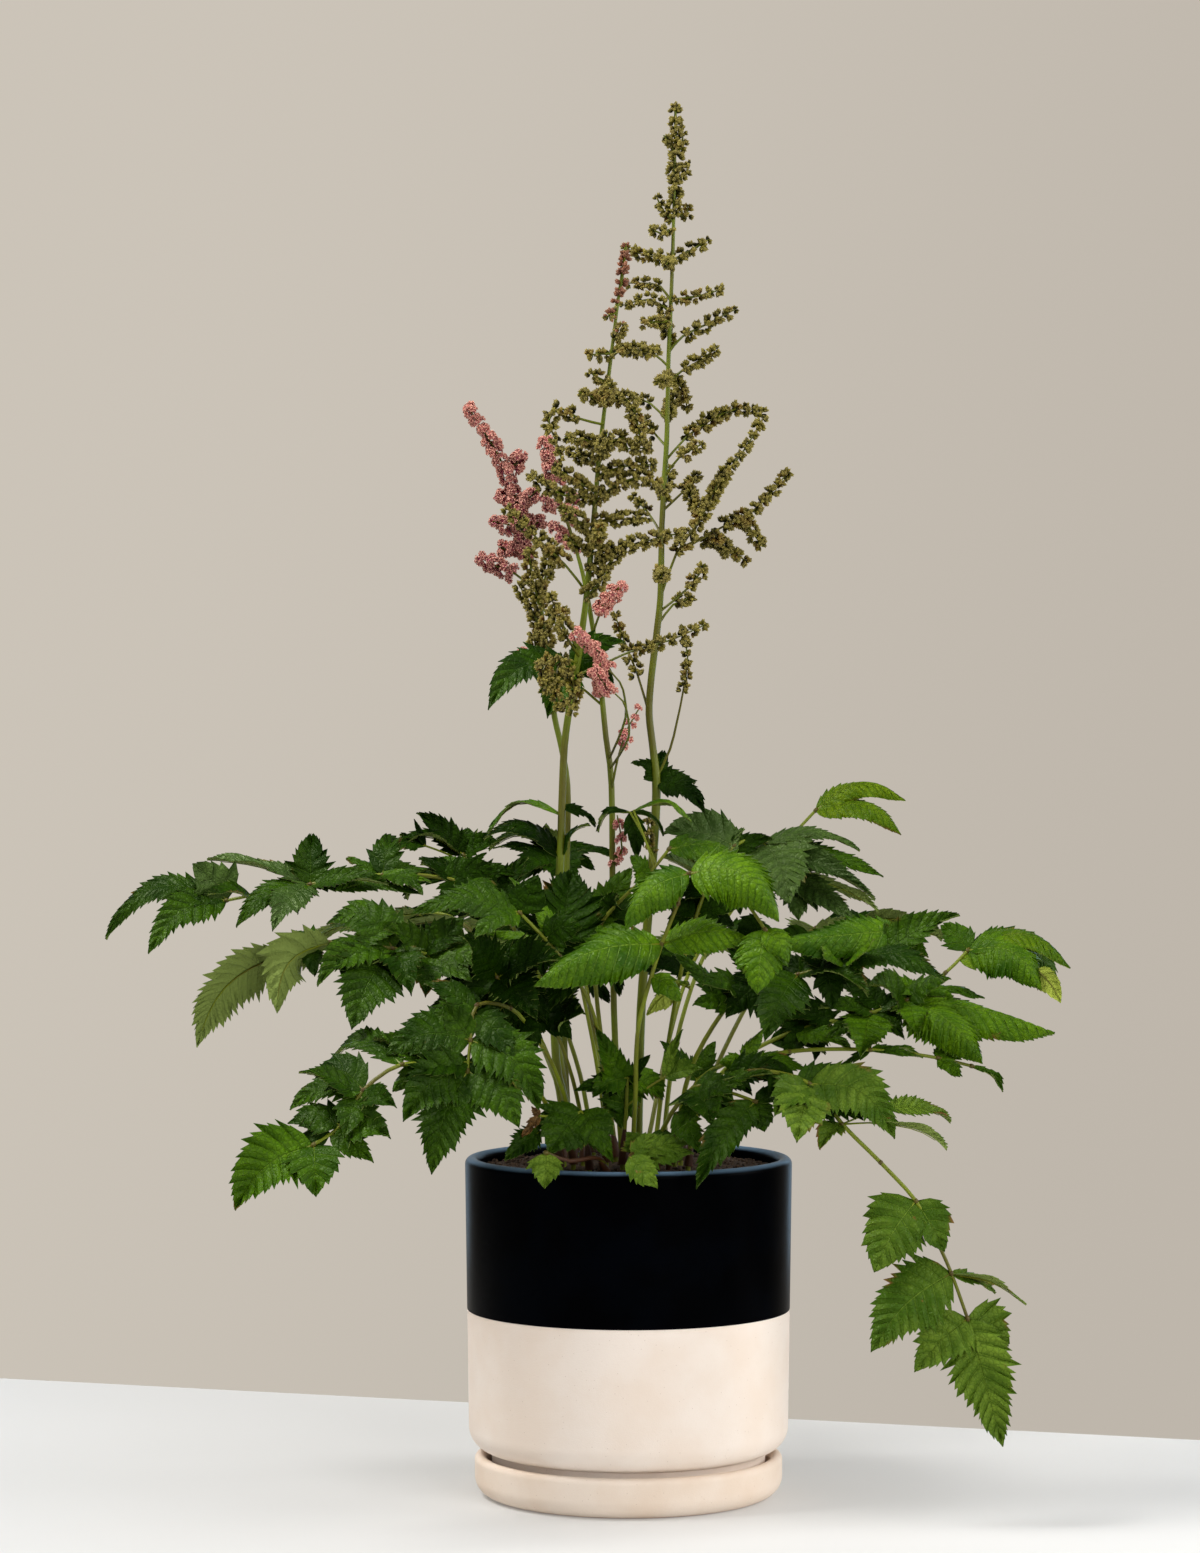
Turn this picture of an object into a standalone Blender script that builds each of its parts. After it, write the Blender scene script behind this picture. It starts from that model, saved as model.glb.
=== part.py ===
"""Astilbe plant in a two-tone stoneware pot on a saucer: construction solids.

Every frond, runner and flower stalk is one closed solid that stands in a plain
hole in the soil. Leaf and raceme positions are hand-chosen points in
millimetres: x to the right and z upwards as they look in the plane of the pot's
axis from the viewing distance, and y as the depth behind that plane. The
function seen() turns such a point into its place in space, in metres.
"""

import math
import random

import bmesh
import bpy
from mathutils import Vector
from mathutils.bvhtree import BVHTree

MM = 0.001

# Viewing distance and eye height that the layout points are read from
VIEW_DISTANCE = 2395.0
EYE_HEIGHT = 445.1

# Saucer
SAUCER_RIM_RADIUS = 95.6
SAUCER_BASE_RADIUS = 84.0
SAUCER_CORNER = 11.5
SAUCER_HEIGHT = 25.0
SAUCER_WALL = 7.5
SAUCER_FLOOR = 7.0
SAUCER_SIDES = 36

# Pot
GAP = 0.3
POT_RIM_RADIUS = 101.6
POT_RIM_TOP = 209.0
POT_WALL = 8.5
POT_FLOOR = 9.0
POT_FOOT_RADIUS = 85.0
POT_DRUM_RADIUS = 99.2
SHOULDER = 15.0
FOOT_RECESS = 2.0
DRAIN_RADIUS = 8.0
GLAZE_LINE = 115.0
POT_SIDES = 36

# Soil, and the holes that the stems stand in
SOIL_EDGE_TOP = 200.0
SOIL_MOUND = 5.0
HOLE_BOTTOM = 182.0
HOLE_SIDES = 5

# Leaflets and stems
LEAF_THICKNESS = 0.7
BASE_HALF_WIDTH = 0.7
THREE_TEETH_WIDTH = 36
TWO_TEETH_WIDTH = 26
LEAST_LEAFLET_WIDTH = 17
CLEARANCE = 0.7
PETIOLE_RADIUS = 1.7
PETIOLE_END_RADIUS = 1.0
TWIG_RADIUS = 0.9
KNOB_SWELL = 1.15
KNOB_DIP = 0.66
SHORT_STRETCH = 34

# Growths where the exact union leaves a sliver of a cavity
NEEDS_MANIFOLD = ("frond_left_dark",)

FRONT = Vector((0, -1, 0))
PLANT_COLLECTION = "astilbe_plant"
CUTTER_COLLECTION = "cutters"

# Fronds: name, foot in the soil (x, y), how much deeper the frond's end lies than its
# nodes say, path nodes (x, y, z), then leaflets as (node, tip x, tip y, tip z, width,
# facing in degrees, arch height, stalk share)
FRONDS = (
    ("frond_left_high", (-34, -8), 80,
     ((-39, -12, 250), (-50, -14, 305), (-72, -22, 352), (-103, -34, 379), (-153, -48, 384),
      (-198, -58, 378), (-250, -62, 368)),
     ((6, -330, -66, 347, 26, 35, 20, 0), (6, -299, -90, 335, 27, 50, 10, 0),
      (6, -271, -66, 391, 30, 75, 2, 0), (5, -262, -38, 394, 22, 12, 4, 0),
      (5, -246, -92, 355, 26, 30, 8, 0), (5, -222, -104, 351, 24, 45, 6, 0),
      (5, -197, -45, 410, 24, 60, 2, 0), (4, -176, -26, 386, 22, 20, 6, 0),
      (4, -143, -22, 407, 20, 15, 7, 0), (4, -128, -74, 372, 20, 20, 5, 0),
      (3, -122, -2, 392, 22, 40, 4, 0), (3, -80, -50, 372, 18, 30, 3, 0))),
    ("frond_left_top", (-22, 14), 60,
     ((-30, 14, 260), (-52, 14, 320), (-80, 14, 362), (-92, 12, 377), (-102, 10, 396)),
     ((4, -131, 6, 423, 20, 55, 2, 0), (4, -150, -10, 396, 18, 15, 13, 0),
      (4, -100, 24, 414, 26, 55, 1, 0), (4, -80, 2, 404, 20, 45, 2, 0),
      (3, -120, -6, 385, 24, 55, 3, 0), (3, -70, 2, 384, 16, 60, 6, 0),
      (2, -106, -14, 358, 20, 40, 2, 0), (2, -62, 20, 396, 18, 40, 4, 0))),
    ("frond_centre_back", (-12, 24), 70,
     ((-20, 24, 270), (-34, 26, 340), (-46, 26, 398)),
     ((2, -88, 32, 402, 16, 10, 10, 0), (2, -50, 10, 417, 16, 30, 3, 0),
      (2, -4, 22, 397, 18, 20, 3, 0), (2, -66, 40, 410, 18, 30, 2, 0),
      (2, -34, -8, 374, 28, 70, 3, 0), (2, -73, -2, 383, 20, 45, 2, 0),
      (1, -4, 6, 372, 24, 55, 3, 0))),
    ("frond_left_mid", (-40, -24), 30,
     ((-44, -28, 250), (-60, -42, 290), (-92, -60, 316), (-121, -72, 333), (-147, -80, 338),
      (-187, -86, 342), (-216, -88, 335)),
     ((6, -270, -100, 277, 36, -50, 12, 0), (5, -219, -106, 298, 32, -55, 14, 0),
      (4, -195, -104, 316, 28, 40, 8, 0), (4, -173, -120, 288, 42, 75, 6, 0),
      (4, -136, -114, 311, 26, 55, 4, 0), (4, -190, -62, 355, 32, 45, 14, 0),
      (3, -127, -102, 309, 26, 60, 3, 0), (3, -103, -74, 357, 28, 70, 2, 0),
      (3, -86, -96, 330, 22, 50, 4, 0))),
    ("frond_left_dark", (-28, -30), 0,
     ((-31, -34, 240), (-48, -54, 290), (-82, -78, 320)),
     ((2, -42, -94, 331, 30, 50, 5, 0), (2, -93, -98, 292, 28, 65, 2, 0),
      (2, -58, -108, 296, 28, 60, 3, 0), (2, -101, -84, 347, 24, 50, 3, 0),
      (1, -30, -82, 300, 28, 60, 3, 0), (1, -74, -66, 300, 24, 60, 3, 0))),
    ("frond_left_low", (-34, -40), 0,
     ((-38, -46, 236), (-50, -64, 270), (-74, -86, 301), (-95, -98, 303), (-99, -106, 281),
      (-101, -112, 262)),
     ((4, -152, -122, 273, 34, 60, 8, 0), (4, -116, -108, 304, 20, 70, 0, 0),
      (4, -56, -120, 238, 34, 55, 10, 0), (5, -141, -134, 231, 34, 60, 8, 0),
      (5, -124, -140, 198, 34, 75, 6, 0), (5, -69, -134, 228, 32, 65, 6, 0))),
    ("frond_left_drooping", (-42, -50), 0,
     ((-46, -58, 228), (-58, -76, 250), (-80, -96, 259), (-115, -120, 264), (-142, -132, 266),
      (-166, -140, 250), (-180, -146, 228), (-197, -150, 216)),
     ((7, -247, -168, 176, 38, 65, 8, 0), (7, -196, -168, 184, 32, 70, 4, 0),
      (6, -214, -140, 230, 24, 45, 6, 0), (5, -212, -128, 238, 24, 40, 8, 0),
      (5, -198, -122, 251, 28, 50, 12, 0), (6, -150, -162, 222, 28, 60, 3, 0),
      (4, -190, -108, 264, 20, 40, 16, 0), (3, -147, -108, 286, 18, 30, 3, 0))),
    ("frond_centre_curled", (-14, -36), 0,
     ((-16, -46, 260), (-24, -66, 302), (-43, -82, 333), (-68, -92, 360)),
     ((3, -137, -102, 362, 24, 50, 9, 0), (3, -97, -110, 347, 20, 45, 4, 0),
      (3, -57, -92, 384, 24, 70, 0, 0), (2, -36, -62, 390, 46, 80, 0, 0))),
    ("frond_centre_bright", (2, -52), 0,
     ((4, -62, 250), (6, -84, 292), (20, -102, 341), (30, -106, 366), (37, -108, 385),
      (64, -116, 376), (84, -122, 350)),
     ((2, -60, -132, 317, 38, 50, 8, 0), (2, 80, -114, 343, 28, 45, 7, 0),
      (4, 93, -140, 356, 38, 60, 15, 0), (4, -4, -126, 351, 28, 50, 8, 0),
      (6, 79, -138, 311, 30, 70, 2, 0), (6, 99, -134, 330, 18, 50, 3, 0))),
    ("frond_centre_small", (-8, -12), 15,
     ((-14, -16, 260), (-21, -24, 320), (-17, -36, 354), (12, -50, 384), (25, -52, 400)),
     ((4, 79, -68, 381, 26, 30, 12, 0), (4, 50, -38, 391, 22, 45, 3, 0),
      (3, 2, -62, 396, 14, 60, 0, 0), (2, 2, -24, 390, 24, 55, 2, 0),
      (2, -12, -50, 334, 22, 55, 2, 0))),
    ("frond_right_high", (16, -14), 70,
     ((22, -16, 260), (34, -26, 330), (50, -32, 378), (66, -38, 402), (84, -42, 404),
      (103, -46, 385)),
     ((3, 22, -38, 410, 32, 50, 5, 0), (3, 62, -18, 418, 14, 60, 0, 0),
      (4, 100, -86, 366, 44, 65, 8, 0), (4, 145, -50, 401, 22, 20, 8, 0),
      (4, 159, -64, 385, 20, 40, 3, 0), (4, 150, -84, 375, 18, 45, 2, 0),
      (5, 140, -92, 357, 20, 55, 0, 0), (5, 157, -36, 366, 14, -30, 2, 0),
      (2, 22, -60, 396, 18, 40, 2, 0), (5, 106, -72, 356, 20, 60, 0, 0))),
    ("frond_right_pair", (22, 10), 70,
     ((28, 12, 270), (48, 14, 335), (85, 10, 388), (117, 2, 424)),
     ((3, 174, -8, 433, 22, 35, 13, 0), (3, 171, -26, 411, 24, 35, 11, 0))),
    ("frond_right_quilted", (28, -34), 0,
     ((38, -42, 262), (70, -60, 312), (105, -72, 322), (134, -80, 329), (155, -82, 333),
      (170, -74, 350)),
     ((5, 88, -94, 343, 28, 55, 0, 0), (4, 205, -88, 360, 24, 45, 3, 0),
      (3, 151, -104, 345, 14, 40, 0, 0), (3, 120, -92, 340, 14, 40, 0, 0),
      (3, 197, -112, 321, 24, 35, 10, 0), (2, 150, -98, 312, 24, 30, 8, 0),
      (2, 84, -108, 281, 32, 65, 5, 0), (1, 112, -84, 303, 34, 50, 3, 0),
      (1, 46, -78, 318, 24, 40, 4, 0))),
    ("frond_right_far", (32, -22), 40,
     ((43, -28, 256), (72, -38, 272), (104, -46, 287), (150, -54, 298), (173, -58, 306),
      (197, -60, 323), (211, -60, 337)),
     ((6, 194, -50, 353, 22, 55, 2, 0), (6, 275, -70, 326, 28, 25, 16, 0),
      (6, 257, -96, 314, 36, 55, 12, 0), (6, 268, -50, 306, 24, 40, 22, 0),
      (4, 150, -78, 317, 24, 50, 3, 0), (4, 198, -80, 322, 20, 45, 3, 0),
      (4, 180, -94, 286, 20, 65, 1, 0), (4, 265, -80, 286, 34, 35, 4, 0),
      (4, 220, -108, 271, 36, 50, 6, 0), (3, 144, -94, 272, 28, 65, 0, 0),
      (2, 138, -78, 278, 18, 40, 2, 0), (0, 20, -30, 281, 14, 50, 1, 0),
      (0, 54, -20, 281, 16, 50, 2, 0))),
    ("frond_right_thin", (36, -48), 30,
     ((44, -56, 240), (60, -64, 263), (100, -74, 274), (150, -82, 275), (192, -86, 270),
      (213, -88, 265)),
     ((5, 233, -90, 249, 7, 30, 4, 0), (4, 207, -104, 259, 12, 45, 1, 0),
      (4, 196, -76, 282, 8, 40, 0, 0), (4, 213, -72, 274, 14, 45, 2, 0),
      (3, 182, -64, 274, 8, 30, 3, 0), (1, 111, -88, 264, 18, 45, 6, 0),
      (1, 76, -94, 262, 14, 60, 0, 0))),
    ("frond_right_drooping", (24, -48), 0,
     ((31, -56, 232), (52, -72, 254), (84, -88, 262), (112, -98, 254), (132, -104, 229),
      (156, -108, 205), (178, -112, 181), (200, -114, 136), (210, -116, 108)),
     ((3, 104, -124, 219, 34, 65, 2, 0), (3, 90, -112, 234, 24, 60, 3, 0),
      (3, 166, -120, 221, 34, 60, 12, 0), (4, 118, -116, 213, 16, 30, 3, 0),
      (4, 203, -84, 236, 16, 35, 7, 0.4), (4, 200, -122, 221, 9, -20, 4, 0.3),
      (6, 152, -130, 137, 40, 75, 3, 0), (6, 196, -122, 150, 28, 70, 1, 0),
      (7, 150, -136, 88, 40, 70, 6, 0), (7, 229, -104, 125, 14, 30, 2, 0),
      (7, 247, -114, 117, 10, -20, 5, 0), (8, 177, -128, 75, 30, 70, 2, 0),
      (8, 236, -108, 90, 32, 70, 2, 0), (8, 232, -122, 28, 36, 80, 0, 0))),
    ("frond_low_left", (-24, -62), 0,
     ((-27, -68, 224), (-30, -76, 237)),
     ((1, -50, -96, 211, 36, 70, 2, 0), (1, -16, -94, 213, 28, 65, 2, 0),
      (1, -60, -80, 226, 20, 60, 1, 0), (1, -78, -92, 207, 16, 60, 3, 0.5))),
    ("frond_low_centre", (-4, -44), 0,
     ((-2, -50, 235), (-1, -56, 258)),
     ((1, -23, -64, 246, 20, 50, 3, 0), (1, -5, -80, 226, 26, 70, 3, 0),
      (1, 22, -68, 244, 20, 55, 3, 0), (0, -20, -36, 289, 22, 55, 2, 0))),
    ("frond_low_right", (16, -62), 0,
     ((21, -68, 226), (40, -78, 252), (78, -90, 243)),
     ((1, 64, -100, 246, 22, 55, 3, 0), (1, 51, -104, 229, 34, 70, 4, 0),
      (0, 20, -94, 203, 16, 70, 2, 0), (2, 41, -116, 190, 24, 60, 4, 0),
      (2, 84, -100, 225, 20, 65, 0, 0), (2, 108, -84, 250, 14, 40, 3, 0))),
    ("runner_left", (-14, -72), 0,
     ((-20, -84, 208), (-37, -97, 206), (-52, -106, 211)),
     ((2, -53, -114, 189, 20, 75, 0, 0),)),
    ("runner_right", (6, -74), 0,
     ((4, -84, 211), (0, -100, 209)),
     ((1, 17, -112, 190, 18, 70, 0, 0), (0, -2, -84, 224, 16, 60, 1, 0),
      (0, 40, -86, 213, 24, 55, 1, 0))),
)

# Fronds on the far side, by rule: name, foot (x, y), heading in degrees, reach, height
BACK_FRONDS = (
    ("frond_back_left", (-30, 26), 142, 165, 356),
    ("frond_back_inner_left", (-12, 40), 104, 175, 346),
    ("frond_back_inner_right", (12, 38), 68, 180, 342),
    ("frond_back_right", (34, 24), 34, 175, 352),
)
BACK_LEAFLET_LENGTH = 62.0
BACK_SEED = 7

# Flower stalks: name, foot, stem points (x, y, z, radius), stem leaves as
# (stem point, tip x, y, z, width, facing, arch, stalk share), and racemes as
# (knob radius, first knobbly point, points (x, y, z) from the stem outwards)
STALKS = (
    ("stalk_tall", (6, 14),
     ((8, 16, 300, 2.9), (15, 20, 390, 2.8), (17.5, 21, 442, 2.8), (13, 22, 484, 2.3),
      (16, 22, 520, 2.2), (20, 22, 556, 2.0), (21, 22, 602, 1.8), (24, 22, 655, 1.6),
      (25, 22, 702, 1.4), (27, 22, 750, 1.2), (28.5, 22, 800, 1.0), (29.5, 22, 862, 0.9)),
     ((2, 3, 12, 455, 14, 50, 3, 0), (2, 22, 36, 461, 14, 60, 1, 0),
      (2, 43, 30, 442, 14, 40, 5, 0), (2, 48, 4, 424, 18, 55, 6, 0)),
     ((3.6, 0, ((28, 22, 742), (44, 18, 744), (60, 14, 749))),
      (3.8, 1, ((26, 22, 710), (34, 20, 719), (50, 24, 727), (67, 28, 736))),
      (4.2, 1, ((25, 22, 690), (34, 18, 698), (45, 14, 704), (55, 8, 712))),
      (4.2, 0, ((26, 22, 696), (34, 32, 686), (37, 38, 673))),
      (4.4, 1, ((22, 22, 640), (36, 24, 656), (50, 28, 666), (68, 34, 674), (85, 38, 672))),
      (4.6, 1, ((20, 22, 556), (30, 18, 584), (45, 12, 605), (56, 10, 628), (70, 8, 645),
                (84, 8, 668))),
      (4.4, 1, ((30, 18, 584), (58, 22, 600), (80, 28, 612), (100, 34, 635))),
      (4.6, 1, ((30, 18, 584), (46, 34, 594), (60, 40, 588), (75, 44, 578))),
      (4.6, 1, ((20, 22, 548), (38, 16, 563), (48, 12, 577))),
      (4.6, 1, ((21, 22, 610), (34, 32, 622), (44, 40, 633))),
      (2.6, 2, ((17.5, 21, 444), (26, 24, 462), (34, 26, 497), (37, 26, 520), (33, 24, 540))),
      (3.6, 0, ((28, 22, 786), (20, 18, 783), (13, 16, 787))),
      (3.6, 0, ((27, 22, 768), (12, 26, 769), (-5, 30, 775))),
      (3.6, 0, ((27, 22, 766), (38, 26, 772), (50, 30, 779))),
      (3.6, 0, ((27, 22, 733), (14, 20, 742), (-4, 18, 738))),
      (3.8, 1, ((25, 22, 700), (16, 24, 708), (6, 26, 710), (-8, 30, 713))),
      (4.0, 1, ((24, 22, 667), (14, 28, 677), (2, 34, 682))),
      (3.6, 1, ((20, 22, 597), (12, 34, 610), (2, 42, 620))),
      (3.6, 1, ((12.5, 22, 486), (6, 30, 508), (-1, 36, 526), (-9, 40, 548))),
      (4.4, 0, ((28.5, 22, 794), (29, 22, 812), (29.5, 22, 836), (29.5, 22, 864))),
      (4.2, 0, ((25, 22, 694), (22, 8, 692), (18, -2, 690))),
      (4.4, 0, ((20, 22, 572), (21, 8, 570), (20, -2, 569))),
      (4.4, 0, ((22, 22, 618), (24, 36, 626), (26, 52, 636))),
      (4.4, 0, ((24, 22, 668), (27, 40, 676), (30, 56, 686))),
      (4.0, 0, ((26, 22, 716), (24, 36, 724), (22, 48, 734))))),
    ("stalk_leaning", (-26, -14),
     ((-44, -18, 260, 2.6), (-46, -20, 330, 2.5), (-42.5, -22, 395, 2.5), (-40, -24, 464, 2.3),
      (-33, -32, 510, 2.2), (-27, -40, 552, 1.9), (-22, -46, 604, 1.7), (-18, -50, 650, 1.5),
      (-12, -54, 700, 1.2), (-7, -56, 740, 1.0), (-2, -58, 776, 0.8)),
     ((2, -92, -30, 411, 22, 25, 13, 0), (2, -26, -40, 418, 10, 30, 5, 0),
      (4, -88, -60, 487, 28, 50, 16, 0), (4, -51, -58, 483, 24, 65, 6, 0),
      (4, -2, -24, 530, 22, 50, 8, 0), (4, -9, -20, 503, 20, 60, 6, 0)),
     ((2.8, 0, ((-8, -56, 738), (-4, -58, 756), (-2, -60, 776))),
      (3.6, 0, ((-11, -55, 708), (-18, -58, 708), (-26, -60, 707))),
      (3.6, 0, ((-11, -55, 706), (-2, -60, 712), (10, -64, 709), (20, -66, 711))),
      (4.2, 0, ((-14, -53, 679), (-22, -58, 681), (-31, -62, 684))),
      (4.4, 0, ((-14, -53, 680), (-3, -62, 681), (4, -68, 670), (7, -72, 654))),
      (4.0, 1, ((-16, -52, 664), (-32, -58, 668), (-42, -60, 674), (-50, -62, 667),
                (-46, -64, 655), (-42, -66, 642))),
      (4.4, 0, ((-18, -50, 650), (-4, -58, 656), (-1, -62, 649), (14, -66, 650))),
      (4.6, 0, ((-19, -49, 640), (-30, -42, 644), (-38, -38, 648))),
      (4.6, 0, ((-20, -48, 632), (-4, -56, 638), (17, -62, 639))),
      (4.8, 0, ((-21, -47, 618), (-40, -52, 620), (-52, -56, 626), (-62, -60, 633))),
      (4.8, 0, ((-21, -47, 616), (-6, -56, 628), (10, -62, 630), (25, -66, 622))),
      (4.8, 0, ((-22, -46, 604), (-8, -54, 605), (11, -60, 606))),
      (4.8, 0, ((-23, -45, 596), (-34, -54, 606), (-42, -60, 612))),
      (4.2, 0, ((-24, -44, 584), (-6, -56, 587), (12, -62, 592), (34, -66, 597))),
      (4.6, 1, ((-28, -40, 562), (-40, -52, 577), (-56, -60, 592), (-76, -66, 612))),
      (4.8, 0, ((-27, -40, 556), (-18, -50, 566), (-14, -54, 572))),
      (4.0, 2, ((-32, -34, 508), (-12, -46, 517), (4, -52, 524), (26, -56, 530), (48, -58, 540))),
      (4.2, 1, ((-31, -36, 524), (-41, -46, 539), (-40, -50, 550))),
      (4.8, 0, ((-24, -44, 590), (-20, -60, 594), (-18, -76, 600))),
      (4.6, 0, ((-19, -49, 644), (-16, -64, 650), (-14, -80, 658))))),
    ("stalk_short", (-36, 6),
     ((-40, 4, 280, 2.2), (-39, 0, 370, 2.1), (-38, -2, 440, 2.0), (-46, -6, 482, 1.9),
      (-50, -8, 520, 1.6), (-56, -8, 560, 1.3)),
     (),
     ((6.0, 0, ((-46, -6, 484), (-50, -10, 500), (-54, -10, 520))),
      (5.6, 0, ((-46, -6, 486), (-40, -6, 500), (-40, -4, 520))),
      (5.0, 0, ((-50, -8, 520), (-52, -16, 535), (-48, -18, 548))),
      (4.6, 0, ((-52, -8, 532), (-60, -4, 548), (-68, 0, 565))),
      (4.6, 0, ((-54, -8, 548), (-60, -14, 568), (-62, -18, 588))),
      (4.4, 0, ((-56, -8, 558), (-50, -2, 574), (-48, 4, 590))),
      (4.8, 0, ((-47, -7, 492), (-36, -18, 496), (-31, -24, 500))))),
    ("stalk_pink", (-4, 6),
     ((-9, 8, 300, 2.1), (-10.5, 10, 440, 2.0), (-14, 12, 470, 1.9), (-17, 14, 500, 1.8),
      (-21, 16, 530, 1.6), (-28, 20, 570, 1.4), (-38, 24, 604, 1.1), (-46, 26, 630, 1.0),
      (-52, 28, 655, 0.9)),
     (),
     ((4.6, 0, ((-44, 26, 624), (-48, 27, 636), (-52, 28, 656))),
      (3.6, 0, ((-38, 24, 604), (-34, 28, 614), (-36, 30, 622))),
      (4.0, 0, ((-42, 25, 612), (-50, 20, 614), (-54, 18, 620))),
      (5.4, 3, ((-17, 14, 500), (-40, 34, 534), (-60, 46, 560), (-64, 48, 584), (-68, 50, 612),
                (-78, 50, 640), (-90, 48, 660), (-100, 46, 676))),
      (5.2, 1, ((-61, 47, 564), (-70, 42, 571), (-82, 40, 576), (-93, 38, 582))),
      (5.4, 0, ((-64, 48, 588), (-74, 54, 586), (-80, 58, 588))),
      (5.2, 0, ((-66, 49, 600), (-75, 42, 602), (-84, 38, 604))),
      (4.8, 0, ((-68, 50, 612), (-62, 44, 618), (-57, 40, 623))),
      (4.6, 0, ((-76, 50, 636), (-69, 56, 640), (-67, 60, 647))),
      (4.8, 1, ((-22, 17, 534), (-18, 4, 546), (-13, -2, 556), (-4, -6, 564))),
      (5.2, 0, ((-20, 16, 522), (-26, 6, 522), (-32, -2, 526))),
      (4.8, 0, ((-17, 14, 498), (-17, 10, 504), (-18, 4, 496))),
      (3.2, 2, ((-10.5, 10, 436), (-8, 2, 450), (-5, 0, 462), (0, -2, 476), (7, -4, 488))),
      (4.2, 2, ((-17, 14, 490), (-36, 4, 506), (-50, 0, 514), (-60, 4, 518), (-68, 6, 523))))),
)


def seen(x, y, z):
    """Place in metres of a point seen at (x, z) and lying y behind the axis."""
    reach = 1 + y / VIEW_DISTANCE
    return Vector((x * reach, y, EYE_HEIGHT + (z - EYE_HEIGHT) * reach)) * MM


def across(vector, direction):
    """The unit part of vector that is square to direction."""
    part = vector - direction * vector.dot(direction)
    if part.length < 1e-6:
        part = Vector((0, 1, 0)) - direction * direction.y
    return part.normalized()


def smooth_path(points):
    """The points with one more on a smooth curve between each pair."""
    path = [points[0]]
    for i in range(1, len(points)):
        if (points[i] - points[i - 1]).length < SHORT_STRETCH * MM:
            path.append(points[i])
            continue
        before = points[max(i - 2, 0)]
        after = points[min(i + 1, len(points) - 1)]
        middle = (points[i - 1] + points[i]) * 0.5625 - (before + after) * 0.0625
        path.append(middle)
        path.append(points[i])
    return path


class Leaflet:
    """A leaflet's midrib, width and facing, worked out from base and tip."""

    def __init__(self, base, tip, width, facing, arch, stalk, front):
        self.base = base
        self.chord = tip - base
        self.length = self.chord.length
        self.width = width * MM
        self.lift = across(Vector((0, 0, 1)), self.chord.normalized()) * arch * MM
        turn = math.radians(facing)
        self.face = Vector((0, 0, 1)) * math.cos(turn) + front * math.sin(turn)
        self.stalk = stalk

    def midrib(self, s):
        """Point on the midrib at the share s of its length."""
        return self.base + self.chord * s + self.lift * math.sin(math.pi * s)

    def frame(self, s):
        """Sideways and outward directions of the blade at s."""
        along = (self.chord + self.lift * math.pi * math.cos(math.pi * s)).normalized()
        normal = across(self.face, along)
        return along.cross(normal), normal

    def half_width(self, s):
        """Half of the blade's width at s."""
        t = (s - self.stalk) / (1 - self.stalk)
        if t <= 0:
            return BASE_HALF_WIDTH * MM
        blade = math.sin(math.pi * min(t, 1) ** 0.62) ** 0.9 * self.width / 2
        return max(blade, BASE_HALF_WIDTH * MM * (1 - t))

    def edge(self, s, side, share=1.0):
        """Point on the blade's edge at s, on side 1 or -1, at a share of its width."""
        return self.midrib(s) + self.frame(s)[0] * self.half_width(s) * share * side


def teeth_count(leaflet):
    """Teeth on each side that suit a leaflet's width."""
    if leaflet.width >= THREE_TEETH_WIDTH * MM:
        return 3
    return 2 if leaflet.width >= TWO_TEETH_WIDTH * MM else 1


def blade_mesh(leaflet):
    """Closed blade with a toothed outline and an even thickness."""
    teeth = teeth_count(leaflet)
    first = leaflet.stalk
    span = 1 - first
    rows = [(first + span * 0.16, 1.0)]
    for k in range(teeth):
        rows.append((first + span * (0.16 + 0.66 * (k + 0.75) / teeth), 1.12))
        if k < teeth - 1:
            rows.append((first + span * (0.18 + 0.66 * (k + 1) / teeth), 0.8))
    if first:
        rows.insert(0, (first, 1.0))
    outline = [leaflet.base]
    outline += [leaflet.edge(s, 1, share) for s, share in rows]
    outline.append(leaflet.midrib(1))
    outline += [leaflet.edge(s, -1, share) for s, share in reversed(rows)]
    depths = [0] + [s for s, _ in rows] + [1] + [s for s, _ in reversed(rows)]
    bm = bmesh.new()
    top = [bm.verts.new(point) for point in outline]
    low = [bm.verts.new(point - leaflet.frame(s)[1] * LEAF_THICKNESS * MM)
           for point, s in zip(outline, depths)]
    count = len(top)
    for i in range(count // 2):
        j = count - i
        corners = (i, i + 1, j - 1, j % count)
        for a, b, c in ((0, 1, 2), (0, 2, 3)):
            picked = (corners[a], corners[b], corners[c])
            if len(set(picked)) == 3:
                bm.faces.new([top[k] for k in picked])
                bm.faces.new([low[k] for k in reversed(picked)])
    for i in range(count):
        bm.faces.new((top[i], low[i], low[(i + 1) % count], top[(i + 1) % count]))
    bmesh.ops.recalc_face_normals(bm, faces=bm.faces)
    return bm


def leaf_envelope(leaflet):
    """Simple closed shell a clearance larger than the blade, for clearing."""
    pad = CLEARANCE * MM
    tops = []
    for s in (0.12, 0.3, 0.5, 0.72, 1.0):
        sideways, normal = leaflet.frame(s)
        half = leaflet.half_width(s) * 1.12 + pad
        middle = leaflet.midrib(s)
        if s == 1.0:
            middle = middle + leaflet.chord.normalized() * pad
        tops.append((middle - sideways * half, middle, middle + sideways * half, normal))
    verts = []
    for left, middle, right, normal in tops:
        for point in (left, middle, right):
            verts.append(point + normal * pad)
        for point in (right, middle, left):
            verts.append(point - normal * (pad + LEAF_THICKNESS * MM))
    return verts, ring_faces(len(tops), 6)


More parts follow.
